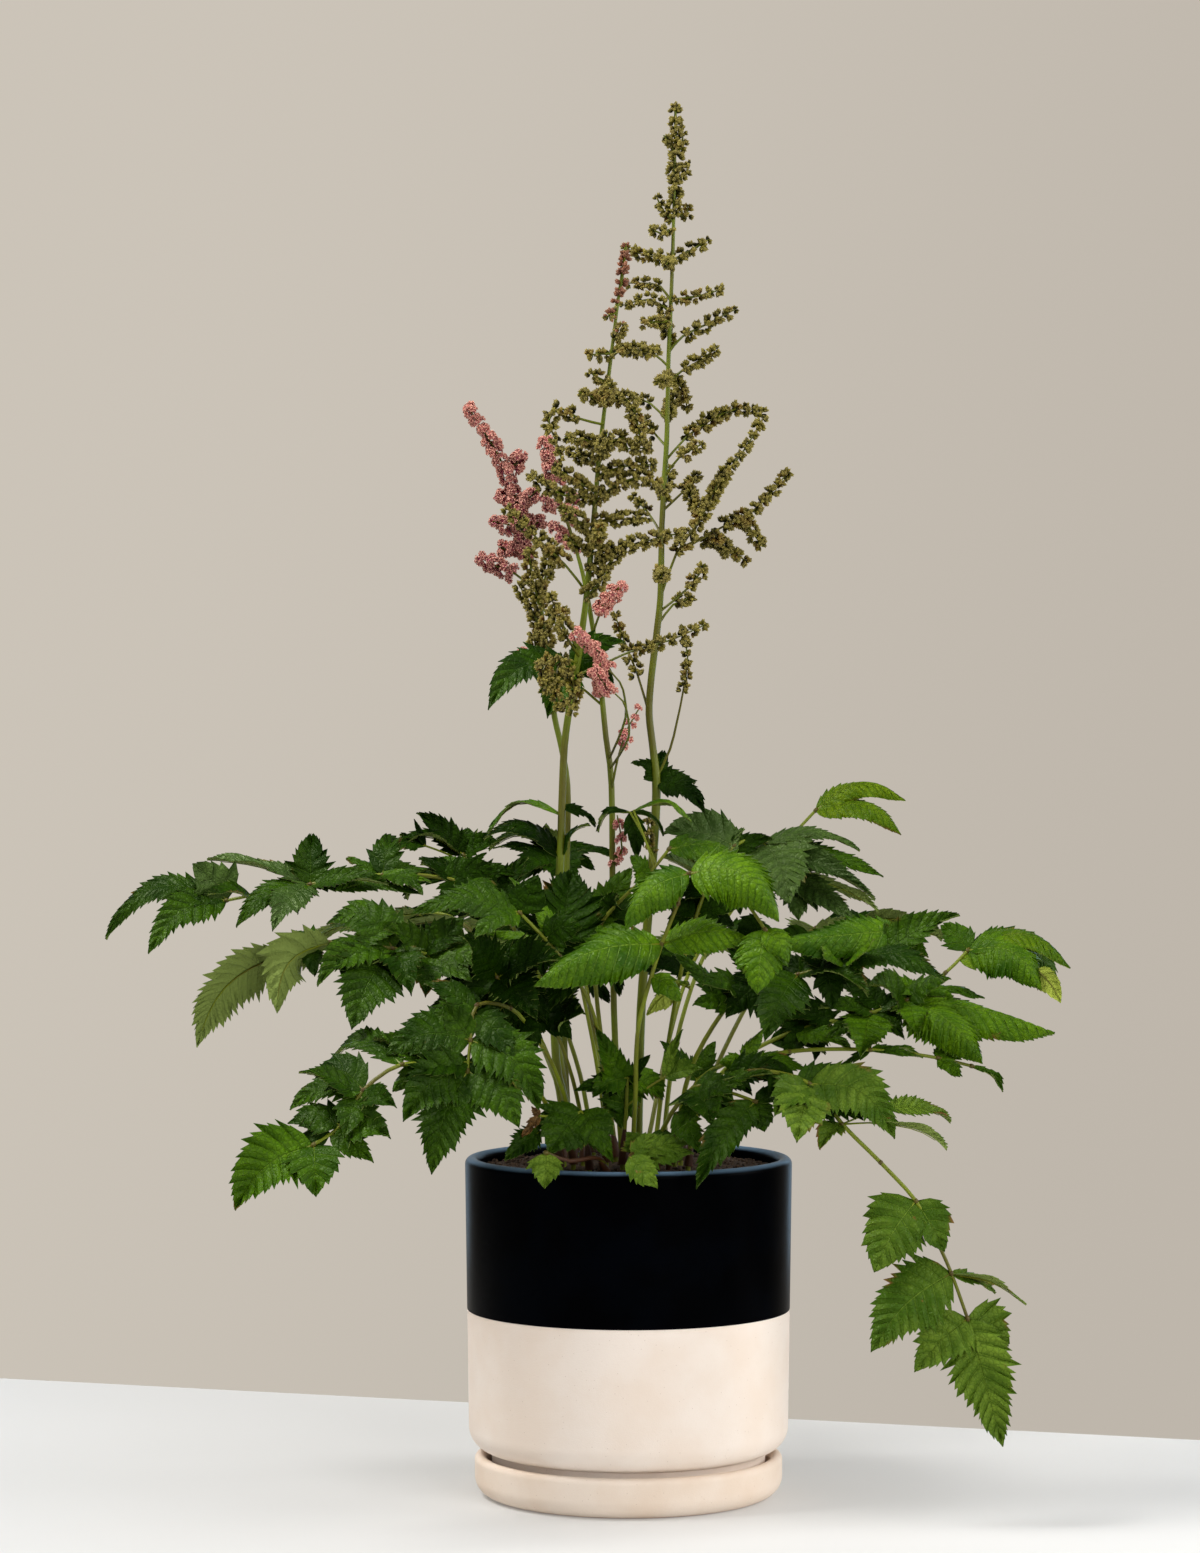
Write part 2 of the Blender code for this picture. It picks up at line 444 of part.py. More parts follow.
def ring_faces(rings, sides):
    """Faces of a tube of rings with the same number of corners, ends closed."""
    faces = []
    for i in range(rings - 1):
        for k in range(sides):
            a = i * sides + k
            b = i * sides + (k + 1) % sides
            faces.append((a, b, b + sides, a + sides))
    faces.append(tuple(range(sides)))
    faces.append(tuple(range((rings - 1) * sides, rings * sides)))
    return faces


def tube_envelope(points, radii):
    """Simple square tube round a path, a clearance larger than the stem."""
    verts = []
    for i, point in enumerate(points):
        ahead = points[min(i + 1, len(points) - 1)] - points[max(i - 1, 0)]
        along = ahead.normalized()
        up = across(Vector((0.3, 0.2, 1)), along)
        side = along.cross(up)
        reach = (radii[i] + CLEARANCE) * MM
        for right, rise in ((1, 1), (-1, 1), (-1, -1), (1, -1)):
            verts.append(point + (side * right + up * rise) * reach)
    return verts, ring_faces(len(points), 4)


class Keeper:
    """Remembers what is already placed, and says whether a new shell clears it."""

    def __init__(self):
        self.kept = []

    def clears(self, owner, shell):
        """True when the shell meets no other node's shell, nor the pot or soil."""
        verts, faces = shell
        if any(in_pottery(v) for v in verts):
            return False
        low = [min(v[i] for v in verts) for i in range(3)]
        high = [max(v[i] for v in verts) for i in range(3)]
        tree = None
        for name, other_low, other_high, other in self.kept:
            if name == owner:
                continue
            if any(low[i] > other_high[i] or high[i] < other_low[i] for i in range(3)):
                continue
            if tree is None:
                tree = BVHTree.FromPolygons(verts, faces)
            if tree.overlap(other):
                return False
        return True

    def keep(self, owner, shell):
        """Adds a placed shell."""
        verts, faces = shell
        low = [min(v[i] for v in verts) for i in range(3)]
        high = [max(v[i] for v in verts) for i in range(3)]
        self.kept.append((owner, low, high, BVHTree.FromPolygons(verts, faces)))


def in_pottery(point):
    """True inside the pot's wall or the soil, with a clearance."""
    radius = math.hypot(point.x, point.y) / MM
    height = point.z / MM
    if radius > POT_RIM_RADIUS + CLEARANCE or height > POT_RIM_TOP + CLEARANCE:
        return False
    inner = POT_RIM_RADIUS - POT_WALL - CLEARANCE
    return radius > inner or height < soil_top(radius) + CLEARANCE


def soil_top(radius):
    """Height of the soil's surface at a radius, both in millimetres."""
    share = min(radius / (POT_RIM_RADIUS - POT_WALL), 1)
    return SOIL_EDGE_TOP + SOIL_MOUND * (1 - share * share)


class Stem:
    """A stem's or twig's centre line with its radii, in millimetres."""

    def __init__(self, points, radii):
        self.points = points
        self.radii = radii

    def shell(self):
        """Envelope of the stem, without the stretch that stands in the soil."""
        above = [i for i, p in enumerate(self.points)
                 if p.z / MM > POT_RIM_TOP or not in_pottery(p)]
        first = above[0] if above else 0
        return tube_envelope(self.points[first:], self.radii[first:])


def rooted_stem(foot, nodes, shift, start_radius, end_radius):
    """Stem that stands upright in its hole and then follows its nodes."""
    x, y = foot
    ground = soil_top(math.hypot(x, y)) + 5
    bottom = Vector((x, y, HOLE_BOTTOM + GAP)) * MM
    top = Vector((x, y, ground)) * MM
    bends = [seen(nx, ny + shift * min(i + 1, 2) / 2, nz) for i, (nx, ny, nz) in enumerate(nodes)]
    points = [bottom] + smooth_path([top] + bends)
    count = len(points)
    radii = [start_radius + (end_radius - start_radius) * i / (count - 1) for i in range(count)]
    return Stem(points, radii), bends


def signed(steps):
    """0, then each step with both signs."""
    values = [0]
    for step in steps:
        values += [step, -step]
    return values


SHIFTS = signed((3, 6, 9, 12, 16, 20, 25))
TIP_MOVES = [(dy, turn, size)
             for size in (1.0, 0.8, 0.6)
             for turn in (0, 14, -14, 28)
             for dy in signed((5, 10, 16, 22, 30, 38))]
TIP_MOVES.sort(key=lambda m: abs(m[0]) + abs(m[1]) * 0.6 + (1 - m[2]) * 90)


def clear_leaflet(keeper, owner, base, spec, shift, front):
    """Leaflet bent clear of every other node, by depth, facing and then size."""
    x, y, z, width, facing, arch, stalk = spec
    first = None
    for dy, turn, size in TIP_MOVES:
        tip = base + (seen(x, y + shift + dy, z) - base) * size
        leaflet = Leaflet(base, tip, width * size, facing + turn, arch * size, stalk, front)
        first = first or leaflet
        if keeper.clears(owner, leaf_envelope(leaflet)):
            keeper.keep(owner, leaf_envelope(leaflet))
            return leaflet
    print("no clear place for a leaflet of", owner)
    return None


def back_frond(name, foot, heading, reach, height, rng):
    """A far-side frond laid out by rule, in the same form as the others."""
    turn = math.radians(heading)
    out = Vector((math.cos(turn), math.sin(turn), 0))
    side = Vector((-out.y, out.x, 0))
    start = Vector((foot[0], foot[1], 0))
    steps = ((0.12, 0.3), (0.34, 0.72), (0.6, 0.97), (0.82, 1.0), (1.0, 0.95))
    nodes = []
    for share, rise in steps:
        spot = start + out * reach * share
        nodes.append((spot.x, spot.y, POT_RIM_TOP + (height - POT_RIM_TOP) * rise))
    leaflets = []
    for node, pairs in ((2, (1, -1)), (3, (1, -1)), (4, (0, 0.8))):
        for lean in pairs:
            length = BACK_LEAFLET_LENGTH * rng.uniform(0.85, 1.1)
            way = (out * (1.2 - abs(lean) * 0.6) + side * lean).normalized()
            tip = Vector(nodes[node]) + way * length
            tip.z -= length * rng.uniform(0.15, 0.4)
            width = length * rng.uniform(0.4, 0.5)
            leaflets.append((node, *plain_point(*tip), width, rng.uniform(10, 40),
                             rng.uniform(3, 8), 0))
    return name, foot, tuple(plain_point(*node) for node in nodes), tuple(leaflets), out


def plain_point(x, y, z):
    """A point seen at the place that (x, y, z) has in space."""
    reach = 1 + y / VIEW_DISTANCE
    return x / reach, y, EYE_HEIGHT + (z - EYE_HEIGHT) / reach


def leaned(name, foot, lean, nodes, leaflets):
    """A hand-placed frond with its nodes and leaflet tips moved deeper along its length."""
    share = [(i + 1) / len(nodes) for i in range(len(nodes))]
    nodes = tuple((x, y + lean * share[i], z) for i, (x, y, z) in enumerate(nodes))
    leaflets = tuple((n, x, y + lean * share[n], *rest) for n, x, y, *rest in leaflets)
    return name, foot, nodes, leaflets, FRONT


def all_fronds():
    """Every frond as (name, foot, nodes, leaflets, front direction)."""
    rng = random.Random(BACK_SEED)
    return [leaned(*spec) for spec in FRONDS] + [back_frond(*spec, rng) for spec in BACK_FRONDS]


class Layout:
    """Places every stem, then every leaflet and raceme, clear of other nodes."""

    def __init__(self):
        self.keeper = Keeper()
        self.stems = {}
        self.leaflets = {}
        self.racemes = {}
        self.place_stalk_stems()
        self.place_frond_stems()
        self.place_racemes()
        self.place_leaflets()

    def place_stalk_stems(self):
        """The flower stalks' main stems, first because they are the stiffest."""
        for name, foot, points, _, _ in STALKS:
            stem, bends = rooted_stem(foot, [p[:3] for p in points], 0, points[0][3], 1.0)
            nearest = [min(range(len(bends)), key=lambda i: (bends[i] - p).length)
                       for p in stem.points]
            stem.radii = [points[i][3] for i in nearest]
            self.keep_stem(name, stem, bends, 0)

    def place_frond_stems(self):
        """Petioles and rachises, each shifted in depth until it is clear."""
        self.specs = all_fronds()
        for name, foot, nodes, _, _ in self.specs:
            for shift in SHIFTS:
                stem, bends = rooted_stem(foot, nodes, shift, PETIOLE_RADIUS, PETIOLE_END_RADIUS)
                if self.keeper.clears(name, stem.shell()):
                    break
            else:
                print("no clear place for the stem of", name)
            self.keep_stem(name, stem, bends, shift)

    def keep_stem(self, name, stem, bends, shift):
        """Notes a placed stem."""
        self.keeper.keep(name, stem.shell())
        self.stems[name] = (stem, bends, shift)
        self.leaflets[name] = []
        self.racemes[name] = []

    def place_racemes(self):
        """Racemes and their twigs, with tips moved in depth until clear."""
        for name, _, _, _, racemes in STALKS:
            for radius, first, points in racemes:
                for dy in signed((4, 8, 12, 17, 22, 28)):
                    count = len(points) - 1
                    moved = [seen(x, y + dy * i / count, z) for i, (x, y, z) in enumerate(points)]
                    path = smooth_path(moved)
                    knobs = [(p - moved[0]).length > radius * MM or not first for p in path]
                    radii = [radius * KNOB_SWELL if knob else TWIG_RADIUS for knob in knobs]
                    shell = tube_envelope(path, radii)
                    if self.keeper.clears(name, shell):
                        break
                else:
                    print("no clear place for a raceme of", name)
                    continue
                self.keeper.keep(name, shell)
                self.racemes[name].append((radius, first, moved))

    def place_leaflets(self):
        """All leaflets, the stalks' own first."""
        jobs = [(name, leaves, FRONT) for name, _, _, leaves, _ in STALKS]
        jobs += [(name, leaves, out) for name, _, _, leaves, out in self.specs]
        for name, leaves, out in jobs:
            _, bends, shift = self.stems[name]
            for node, *spec in leaves:
                if spec[3] < LEAST_LEAFLET_WIDTH:
                    continue
                leaflet = clear_leaflet(self.keeper, name, bends[node], spec, shift, out)
                if leaflet:
                    self.leaflets[name].append(leaflet)


def clear_scene():
    """Removes everything the scene starts with."""
    for obj in list(bpy.data.objects):
        bpy.data.objects.remove(obj)


def material(name, color, roughness, metallic=0.0):
    """Principled material of one colour."""
    mat = bpy.data.materials.new(name)
    mat.use_nodes = True
    shader = mat.node_tree.nodes["Principled BSDF"]
    shader.inputs["Base Color"].default_value = (*color, 1)
    shader.inputs["Roughness"].default_value = roughness
    shader.inputs["Metallic"].default_value = metallic
    return mat


def new_object(name, mesh, collection):
    """Object for a mesh, linked to a collection."""
    obj = bpy.data.objects.new(name, mesh)
    collection.objects.link(obj)
    return obj


def object_from_bmesh(name, bm, collection):
    """Object made from a bmesh, which is freed."""
    mesh = bpy.data.meshes.new(name)
    bm.to_mesh(mesh)
    bm.free()
    return new_object(name, mesh, collection)


def applied(obj):
    """The object with its modifiers applied, under the same name."""
    depsgraph = bpy.context.evaluated_depsgraph_get()
    mesh = bpy.data.meshes.new_from_object(obj.evaluated_get(depsgraph))
    obj.modifiers.clear()
    obj.data = mesh
    return obj


def lathe(name, profile, sides, collection):
    """Body of revolution from a closed (radius, height) outline in millimetres."""
    bm = bmesh.new()
    verts = [bm.verts.new((r * MM, 0, z * MM)) for r, z in profile]
    edges = [bm.edges.new((verts[i], verts[(i + 1) % len(verts)])) for i in range(len(verts))
             if not (profile[i][0] == 0 and profile[(i + 1) % len(verts)][0] == 0)]
    bmesh.ops.spin(bm, geom=verts + edges, cent=(0, 0, 0), axis=(0, 0, 1), angle=math.tau,
                   steps=sides, use_merge=True)
    bmesh.ops.remove_doubles(bm, verts=bm.verts, dist=0.01 * MM)
    bmesh.ops.recalc_face_normals(bm, faces=bm.faces)
    return object_from_bmesh(name, bm, collection)


def arc(radius, height, size, start, stop, steps):
    """Points of a rounding, from angle start to stop in degrees."""
    points = []
    for i in range(steps + 1):
        turn = math.radians(start + (stop - start) * i / steps)
        points.append((radius + size * math.cos(turn), height + size * math.sin(turn)))
    return points


def make_saucer(collection):
    """Round dish with a flat underside and a rounded rim."""
    inner = SAUCER_RIM_RADIUS - SAUCER_WALL
    lip = SAUCER_WALL / 2
    profile = [(0, 0)]
    profile += arc(SAUCER_BASE_RADIUS, SAUCER_CORNER, SAUCER_CORNER, -90, 0, 3)
    profile += [(SAUCER_RIM_RADIUS, SAUCER_HEIGHT - lip)]
    profile += arc(SAUCER_RIM_RADIUS - lip, SAUCER_HEIGHT - lip, lip, 45, 180, 3)
    profile += [(inner - 1.5, SAUCER_FLOOR), (0, SAUCER_FLOOR)]
    saucer = lathe("saucer", profile, SAUCER_SIDES, collection)
    saucer.data.materials.append(material("saucer_bisque", (0.78, 0.66, 0.56), 0.8))
    return saucer


def pot_outline():
    """Outline of the pot: foot ring, drum, rounded rim, inner wall, drain hole."""
    foot = SAUCER_FLOOR + GAP
    inner = POT_RIM_RADIUS - POT_WALL
    lip = POT_WALL / 2
    floor_top = foot + FOOT_RECESS + POT_FLOOR
    outer = [(POT_FOOT_RADIUS - 9, foot), (POT_FOOT_RADIUS, foot), (POT_FOOT_RADIUS, 27.5)]
    outer += arc(POT_DRUM_RADIUS - SHOULDER, 27.5 + SHOULDER, SHOULDER, -78, 0, 3)
    outer += [(100.3, GLAZE_LINE), (POT_RIM_RADIUS, POT_RIM_TOP - lip)]
    rim = arc(POT_RIM_RADIUS - lip, POT_RIM_TOP - lip, lip, 60, 180, 2)
    inside = [(inner - 2, 60), (POT_FOOT_RADIUS - 5, 30), (POT_FOOT_RADIUS - 14, floor_top),
              (DRAIN_RADIUS, floor_top), (DRAIN_RADIUS, foot + FOOT_RECESS),
              (POT_FOOT_RADIUS - 10, foot + FOOT_RECESS)]
    return outer + rim + inside


def make_pot(collection):
    """Stoneware pot in one piece, glazed above the glaze line and inside."""
    pot = lathe("pot", pot_outline(), POT_SIDES, collection)
    pot.data.materials.append(material("pot_glaze", (0.012, 0.016, 0.026), 0.28))
    pot.data.materials.append(material("pot_bisque", (0.82, 0.72, 0.62), 0.8))
    for face in pot.data.polygons:
        centre = face.center / MM
        outward = face.normal.xy.dot(face.center.xy) > 0
        on_drum = outward and math.hypot(centre.x, centre.y) > POT_FOOT_RADIUS - 12
        on_foot = centre.z < SAUCER_FLOOR + GAP + 3
        if centre.z < GLAZE_LINE and (on_drum or on_foot):
            face.material_index = 1
    return pot


def make_soil(collection, cutters, feet):
    """Soil that fills the pot, with one plain hole for each stem."""
    inner = POT_RIM_RADIUS - POT_WALL - GAP
    floor_top = SAUCER_FLOOR + 2 * GAP + FOOT_RECESS + POT_FLOOR
    profile = [(0, floor_top), (POT_FOOT_RADIUS - 14.5, floor_top),
               (POT_FOOT_RADIUS - 5.4, 30.4), (inner - 2, 60), (inner, SOIL_EDGE_TOP),
               (inner * 0.7, soil_top(inner * 0.7)), (inner * 0.35, soil_top(inner * 0.35)),
               (0, SOIL_EDGE_TOP + SOIL_MOUND)]
    soil = lathe("soil", profile, POT_SIDES, collection)
    soil.data.materials.append(material("soil", (0.075, 0.048, 0.032), 0.95))
    holes = []
    for i, (x, y, radius) in enumerate(feet):
        bm = bmesh.new()
        size = (radius + GAP) / math.cos(math.pi / HOLE_SIDES) * MM
        depth = (SOIL_EDGE_TOP + 20 - HOLE_BOTTOM) * MM
        bmesh.ops.create_cone(bm, cap_ends=True, segments=HOLE_SIDES, radius1=size, radius2=size,
                              depth=depth)
        bmesh.ops.translate(bm, verts=bm.verts, vec=(x * MM, y * MM, HOLE_BOTTOM * MM + depth / 2))
        hole = object_from_bmesh(f"stem_hole_{i}", bm, cutters)
        hole.hide_render = True
        hole.display_type = "WIRE"
        holes.append(hole)
    cut = soil.modifiers.new("stem_holes", "BOOLEAN")
    cut.operation = "DIFFERENCE"
    cut.operand_type = "COLLECTION"
    cut.collection = cutters
    cut.solver = "EXACT"
    applied(soil)
    for hole in holes:
        bpy.data.objects.remove(hole)
    return soil


def tube_object(name, points, radii, collection, sides=4):
    """Solid tube along points, from a poly curve with a bevel, as a mesh."""
    curve = bpy.data.curves.new(name, "CURVE")
    curve.dimensions = "3D"
    curve.bevel_depth = MM
    curve.bevel_resolution = (sides - 4) // 2
    curve.use_fill_caps = True
    curve.twist_mode = "MINIMUM"
    spline = curve.splines.new("POLY")
    spline.points.add(len(points) - 1)
    for i, point in enumerate(points):
        spline.points[i].co = (*point, 1)
        spline.points[i].radius = radii[i]
    source = new_object(name + "_curve", curve, collection)
    depsgraph = bpy.context.evaluated_depsgraph_get()
    mesh = bpy.data.meshes.new_from_object(source.evaluated_get(depsgraph))
    bpy.data.objects.remove(source)
    bm = bmesh.new()
    bm.from_mesh(mesh)
    bmesh.ops.remove_doubles(bm, verts=bm.verts, dist=0.001 * MM)
    bmesh.ops.recalc_face_normals(bm, faces=bm.faces)
    return object_from_bmesh(name, bm, collection)


def evenly(points, step):
    """Points along a polyline at about even steps, ends kept."""
    lengths = [(points[i + 1] - points[i]).length for i in range(len(points) - 1)]
    total = sum(lengths)
    count = max(round(total / (step * MM)), 2)
    spots = []
    for i in range(count + 1):
        left = total * i / count
        k = 0
        while k < len(lengths) - 1 and left > lengths[k]:
            left -= lengths[k]
            k += 1
        spots.append(points[k].lerp(points[k + 1], min(left / lengths[k], 1)))
    return spots


def raceme_object(name, radius, first, points, collection):
    """A thin twig that ends in a spike of knobs, as one tube."""
    spine = evenly(smooth_path(points[first:]), radius * 2.8)
    twig = points[:first]
    count = len(spine)
    radii = [TWIG_RADIUS] * len(twig)
    radii += [radius * KNOB_SWELL * (0.5 if i in (0, count - 1) else 1) for i in range(count)]
    spike = tube_object(name, twig + spine, radii, collection)
    knob_corners(spike, spine)
    return spike


def knob_corners(spike, spine):
    """Pulls every second corner of each ring in, out of step with the next ring."""
    count = len(spine)
    rings = {i: [] for i in range(count)}
    for vert in spike.data.vertices:
        near = min(range(count), key=lambda i: (spine[i] - vert.co).length_squared)
        if (spine[near] - vert.co).length > 1.2 * TWIG_RADIUS * MM:
            rings[near].append(vert)
    for i, ring in rings.items():
        if not ring:
            continue
        along = (spine[min(i + 1, count - 1)] - spine[max(i - 1, 0)]).normalized()
        right = across(Vector((0.3, 0.2, 1)), along)
        up = along.cross(right)
        ring.sort(key=lambda v: math.atan2((v.co - spine[i]).dot(up), (v.co - spine[i]).dot(right)))
        for k, vert in enumerate(ring):
            if (k + i) % 2:
                vert.co = spine[i].lerp(vert.co, KNOB_DIP)


def keep_solid(obj):
    """Drops inner shells and loose scraps left by fusing."""
    bm = bmesh.new()
    bm.from_mesh(obj.data)
    left = set(bm.verts)
    shells = []
    while left:
        shell = set()
        stack = [left.pop()]
        while stack:
            vert = stack.pop()
            shell.add(vert)
            for edge in vert.link_edges:
                other = edge.other_vert(vert)
                if other in left:
                    left.remove(other)
                    stack.append(other)
        shells.append(shell)
    shells.sort(key=len, reverse=True)
    for shell in shells[1:]:
        bmesh.ops.delete(bm, geom=list(shell), context="VERTS")
    bm.to_mesh(obj.data)
    bm.free()


def is_closed(mesh):
    """True when every edge of a mesh has exactly two faces."""
    bm = bmesh.new()
    bm.from_mesh(mesh)
    closed = all(len(edge.link_faces) == 2 for edge in bm.edges)
    bm.free()
    return closed


def fuse(base, pieces, collection):
    """One closed solid from a stem and all that grows on it."""
    plain = base.data.copy()
    solvers = ("MANIFOLD",) if base.name in NEEDS_MANIFOLD else ("EXACT", "MANIFOLD")
    for solver in solvers:
        base.data = plain.copy()
        union = base.modifiers.new("grown_together", "BOOLEAN")
        union.operation = "UNION"
        union.operand_type = "COLLECTION"
        union.collection = collection
        union.solver = solver
        applied(base)
        keep_solid(base)
        if is_closed(base.data):
            break
    for piece in pieces:
        bpy.data.objects.remove(piece)
    return base


def make_growth(layout, name, plant, repeats, mat):
    """A frond, runner or flower stalk as one solid."""
    stem, _, _ = layout.stems[name]
    base = tube_object(name, stem.points, stem.radii, plant)
    pieces = []
    for i, leaflet in enumerate(layout.leaflets[name]):
        pieces.append(object_from_bmesh(f"{name}_leaflet_{i}", blade_mesh(leaflet), repeats))
    for i, (radius, first, points) in enumerate(layout.racemes[name]):
        pieces.append(raceme_object(f"{name}_raceme_{i}", radius, first, points, repeats))
    fuse(base, pieces, repeats)
    base.data.materials.clear()
    base.data.materials.append(mat)
    return base


def stem_feet(layout):
    """Foot and hole radius of every stem in the soil."""
    feet = []
    for stem, _, _ in layout.stems.values():
        foot = stem.points[0] / MM
        feet.append((foot.x, foot.y, max(stem.radii[:2])))
    return feet


def finish_shading(collection):
    """Smooth shading that keeps sharp edges sharp."""
    for obj in collection.objects:
        obj.data.shade_smooth()
        obj.data.set_sharp_from_angle(angle=math.radians(40))


def main():
    """Builds the pottery, the soil and every growth of the plant."""
    clear_scene()
    plant = bpy.data.collections.new(PLANT_COLLECTION)
    cutters = bpy.data.collections.new(CUTTER_COLLECTION)
    bpy.context.scene.collection.children.link(plant)
    bpy.context.scene.collection.children.link(cutters)
    layout = Layout()
    make_saucer(plant)
    make_pot(plant)
    make_soil(plant, cutters, stem_feet(layout))
    leaf_green = (0.11, 0.19, 0.035)
    for name, *_ in all_fronds():
        make_growth(layout, name, plant, cutters, material(name, leaf_green, 0.5))
    seed_green = (0.22, 0.23, 0.07)
    pink = (0.55, 0.27, 0.3)
    for name, *_ in STALKS:
        color = pink if name == "stalk_pink" else seed_green
        make_growth(layout, name, plant, cutters, material(name, color, 0.6))
    finish_shading(plant)


main()
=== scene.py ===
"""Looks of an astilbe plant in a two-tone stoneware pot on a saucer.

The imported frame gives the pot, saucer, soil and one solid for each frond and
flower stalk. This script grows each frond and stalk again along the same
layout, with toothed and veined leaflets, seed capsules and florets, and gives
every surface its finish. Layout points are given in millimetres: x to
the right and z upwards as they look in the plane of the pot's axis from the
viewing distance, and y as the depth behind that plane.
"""

from __future__ import annotations

import logging
import math
import random
from collections.abc import Iterable, Sequence
from dataclasses import dataclass, field
from enum import Enum

import bmesh
import bpy
from mathutils import Matrix, Vector, noise
from mathutils.bvhtree import BVHTree


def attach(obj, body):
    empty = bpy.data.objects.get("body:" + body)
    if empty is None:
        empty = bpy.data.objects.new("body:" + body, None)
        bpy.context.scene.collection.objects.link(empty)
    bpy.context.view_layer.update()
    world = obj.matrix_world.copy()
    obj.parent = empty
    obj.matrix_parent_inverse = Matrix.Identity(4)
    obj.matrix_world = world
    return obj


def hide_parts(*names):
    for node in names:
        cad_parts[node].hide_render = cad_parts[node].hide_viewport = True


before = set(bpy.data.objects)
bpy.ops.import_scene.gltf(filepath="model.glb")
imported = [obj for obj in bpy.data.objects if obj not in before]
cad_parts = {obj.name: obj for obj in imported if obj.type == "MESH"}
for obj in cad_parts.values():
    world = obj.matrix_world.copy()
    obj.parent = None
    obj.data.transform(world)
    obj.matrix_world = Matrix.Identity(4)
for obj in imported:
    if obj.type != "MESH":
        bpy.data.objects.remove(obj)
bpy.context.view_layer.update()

log = logging.getLogger("astilbe")

Color = tuple[float, float, float]
Shell = tuple[list[Vector], list[tuple[int, ...]]]
Mesh = bpy.types.Mesh
Material = bpy.types.Material
Piece = bpy.types.Object
Socket = bpy.types.NodeSocket

MM = 0.001

# Viewing distance, sideways place and eye height that the layout is read from
VIEW_DISTANCE = 2395.0
VIEW_ASIDE = -17.7
EYE_HEIGHT = 445.1
IMAGE_HEIGHT = 1553
PIXELS_PER_MM = 1.6075
SENSOR = 36.0

# Saucer
SAUCER_RIM_RADIUS = 95.6
SAUCER_BASE_RADIUS = 84.0
SAUCER_CORNER = 11.5
SAUCER_HEIGHT = 25.0
SAUCER_WALL = 7.5
SAUCER_FLOOR = 7.0

# Pot
GAP = 0.3
POT_RIM_RADIUS = 101.6
POT_RIM_TOP = 209.0
POT_WALL = 8.5
POT_FLOOR = 9.0
POT_FOOT_RADIUS = 85.0
POT_DRUM_RADIUS = 99.2
SHOULDER = 15.0
SHOULDER_BOTTOM = 27.5
FOOT_RECESS = 2.0
DRAIN_RADIUS = 8.0
GLAZE_LINE = 115.0
LINE_RADIUS = 100.3

# Soil, and the holes that the stems stand in
SOIL_EDGE_TOP = 200.0
SOIL_MOUND = 5.0
HOLE_BOTTOM = 182.0

# Leaflets and stems, as the solids have them
LEAF_THICKNESS = 0.7
BASE_HALF_WIDTH = 0.7
LEAST_LEAFLET_WIDTH = 17
CLEARANCE = 0.7
PETIOLE_RADIUS = 1.7
PETIOLE_END_RADIUS = 1.0
TWIG_RADIUS = 0.9
KNOB_SWELL = 1.15
SHORT_STRETCH = 34
BACK_LEAFLET_LENGTH = 62.0
BACK_STEPS = ((0.12, 0.3), (0.34, 0.72), (0.6, 0.97), (0.82, 1.0), (1.0, 0.95))
BACK_SEED = 7
SHEATH_TOP = 232.0
SHEATH_RADII = (2.9, 2.5, 1.2)

FRONT = Vector((0, -1, 0))


class Tone(Enum):
    """Leaf colours that the fronds come in; SHADED is painted shade, a darker copy for leaflets
    deep inside the plant.
    """

    FRESH = "fresh"
    MIDDLING = "middling"
    DEEP = "deep"
    GREYISH = "greyish"
    SHADED = "shaded"
    SPOTTED = "spotted"
    YELLOWING = "yellowing"
    WITHERED = "withered"


class Head(Enum):
    """What a flower stalk's racemes carry."""

    CAPSULES = "capsules"
    FLORETS = "florets"


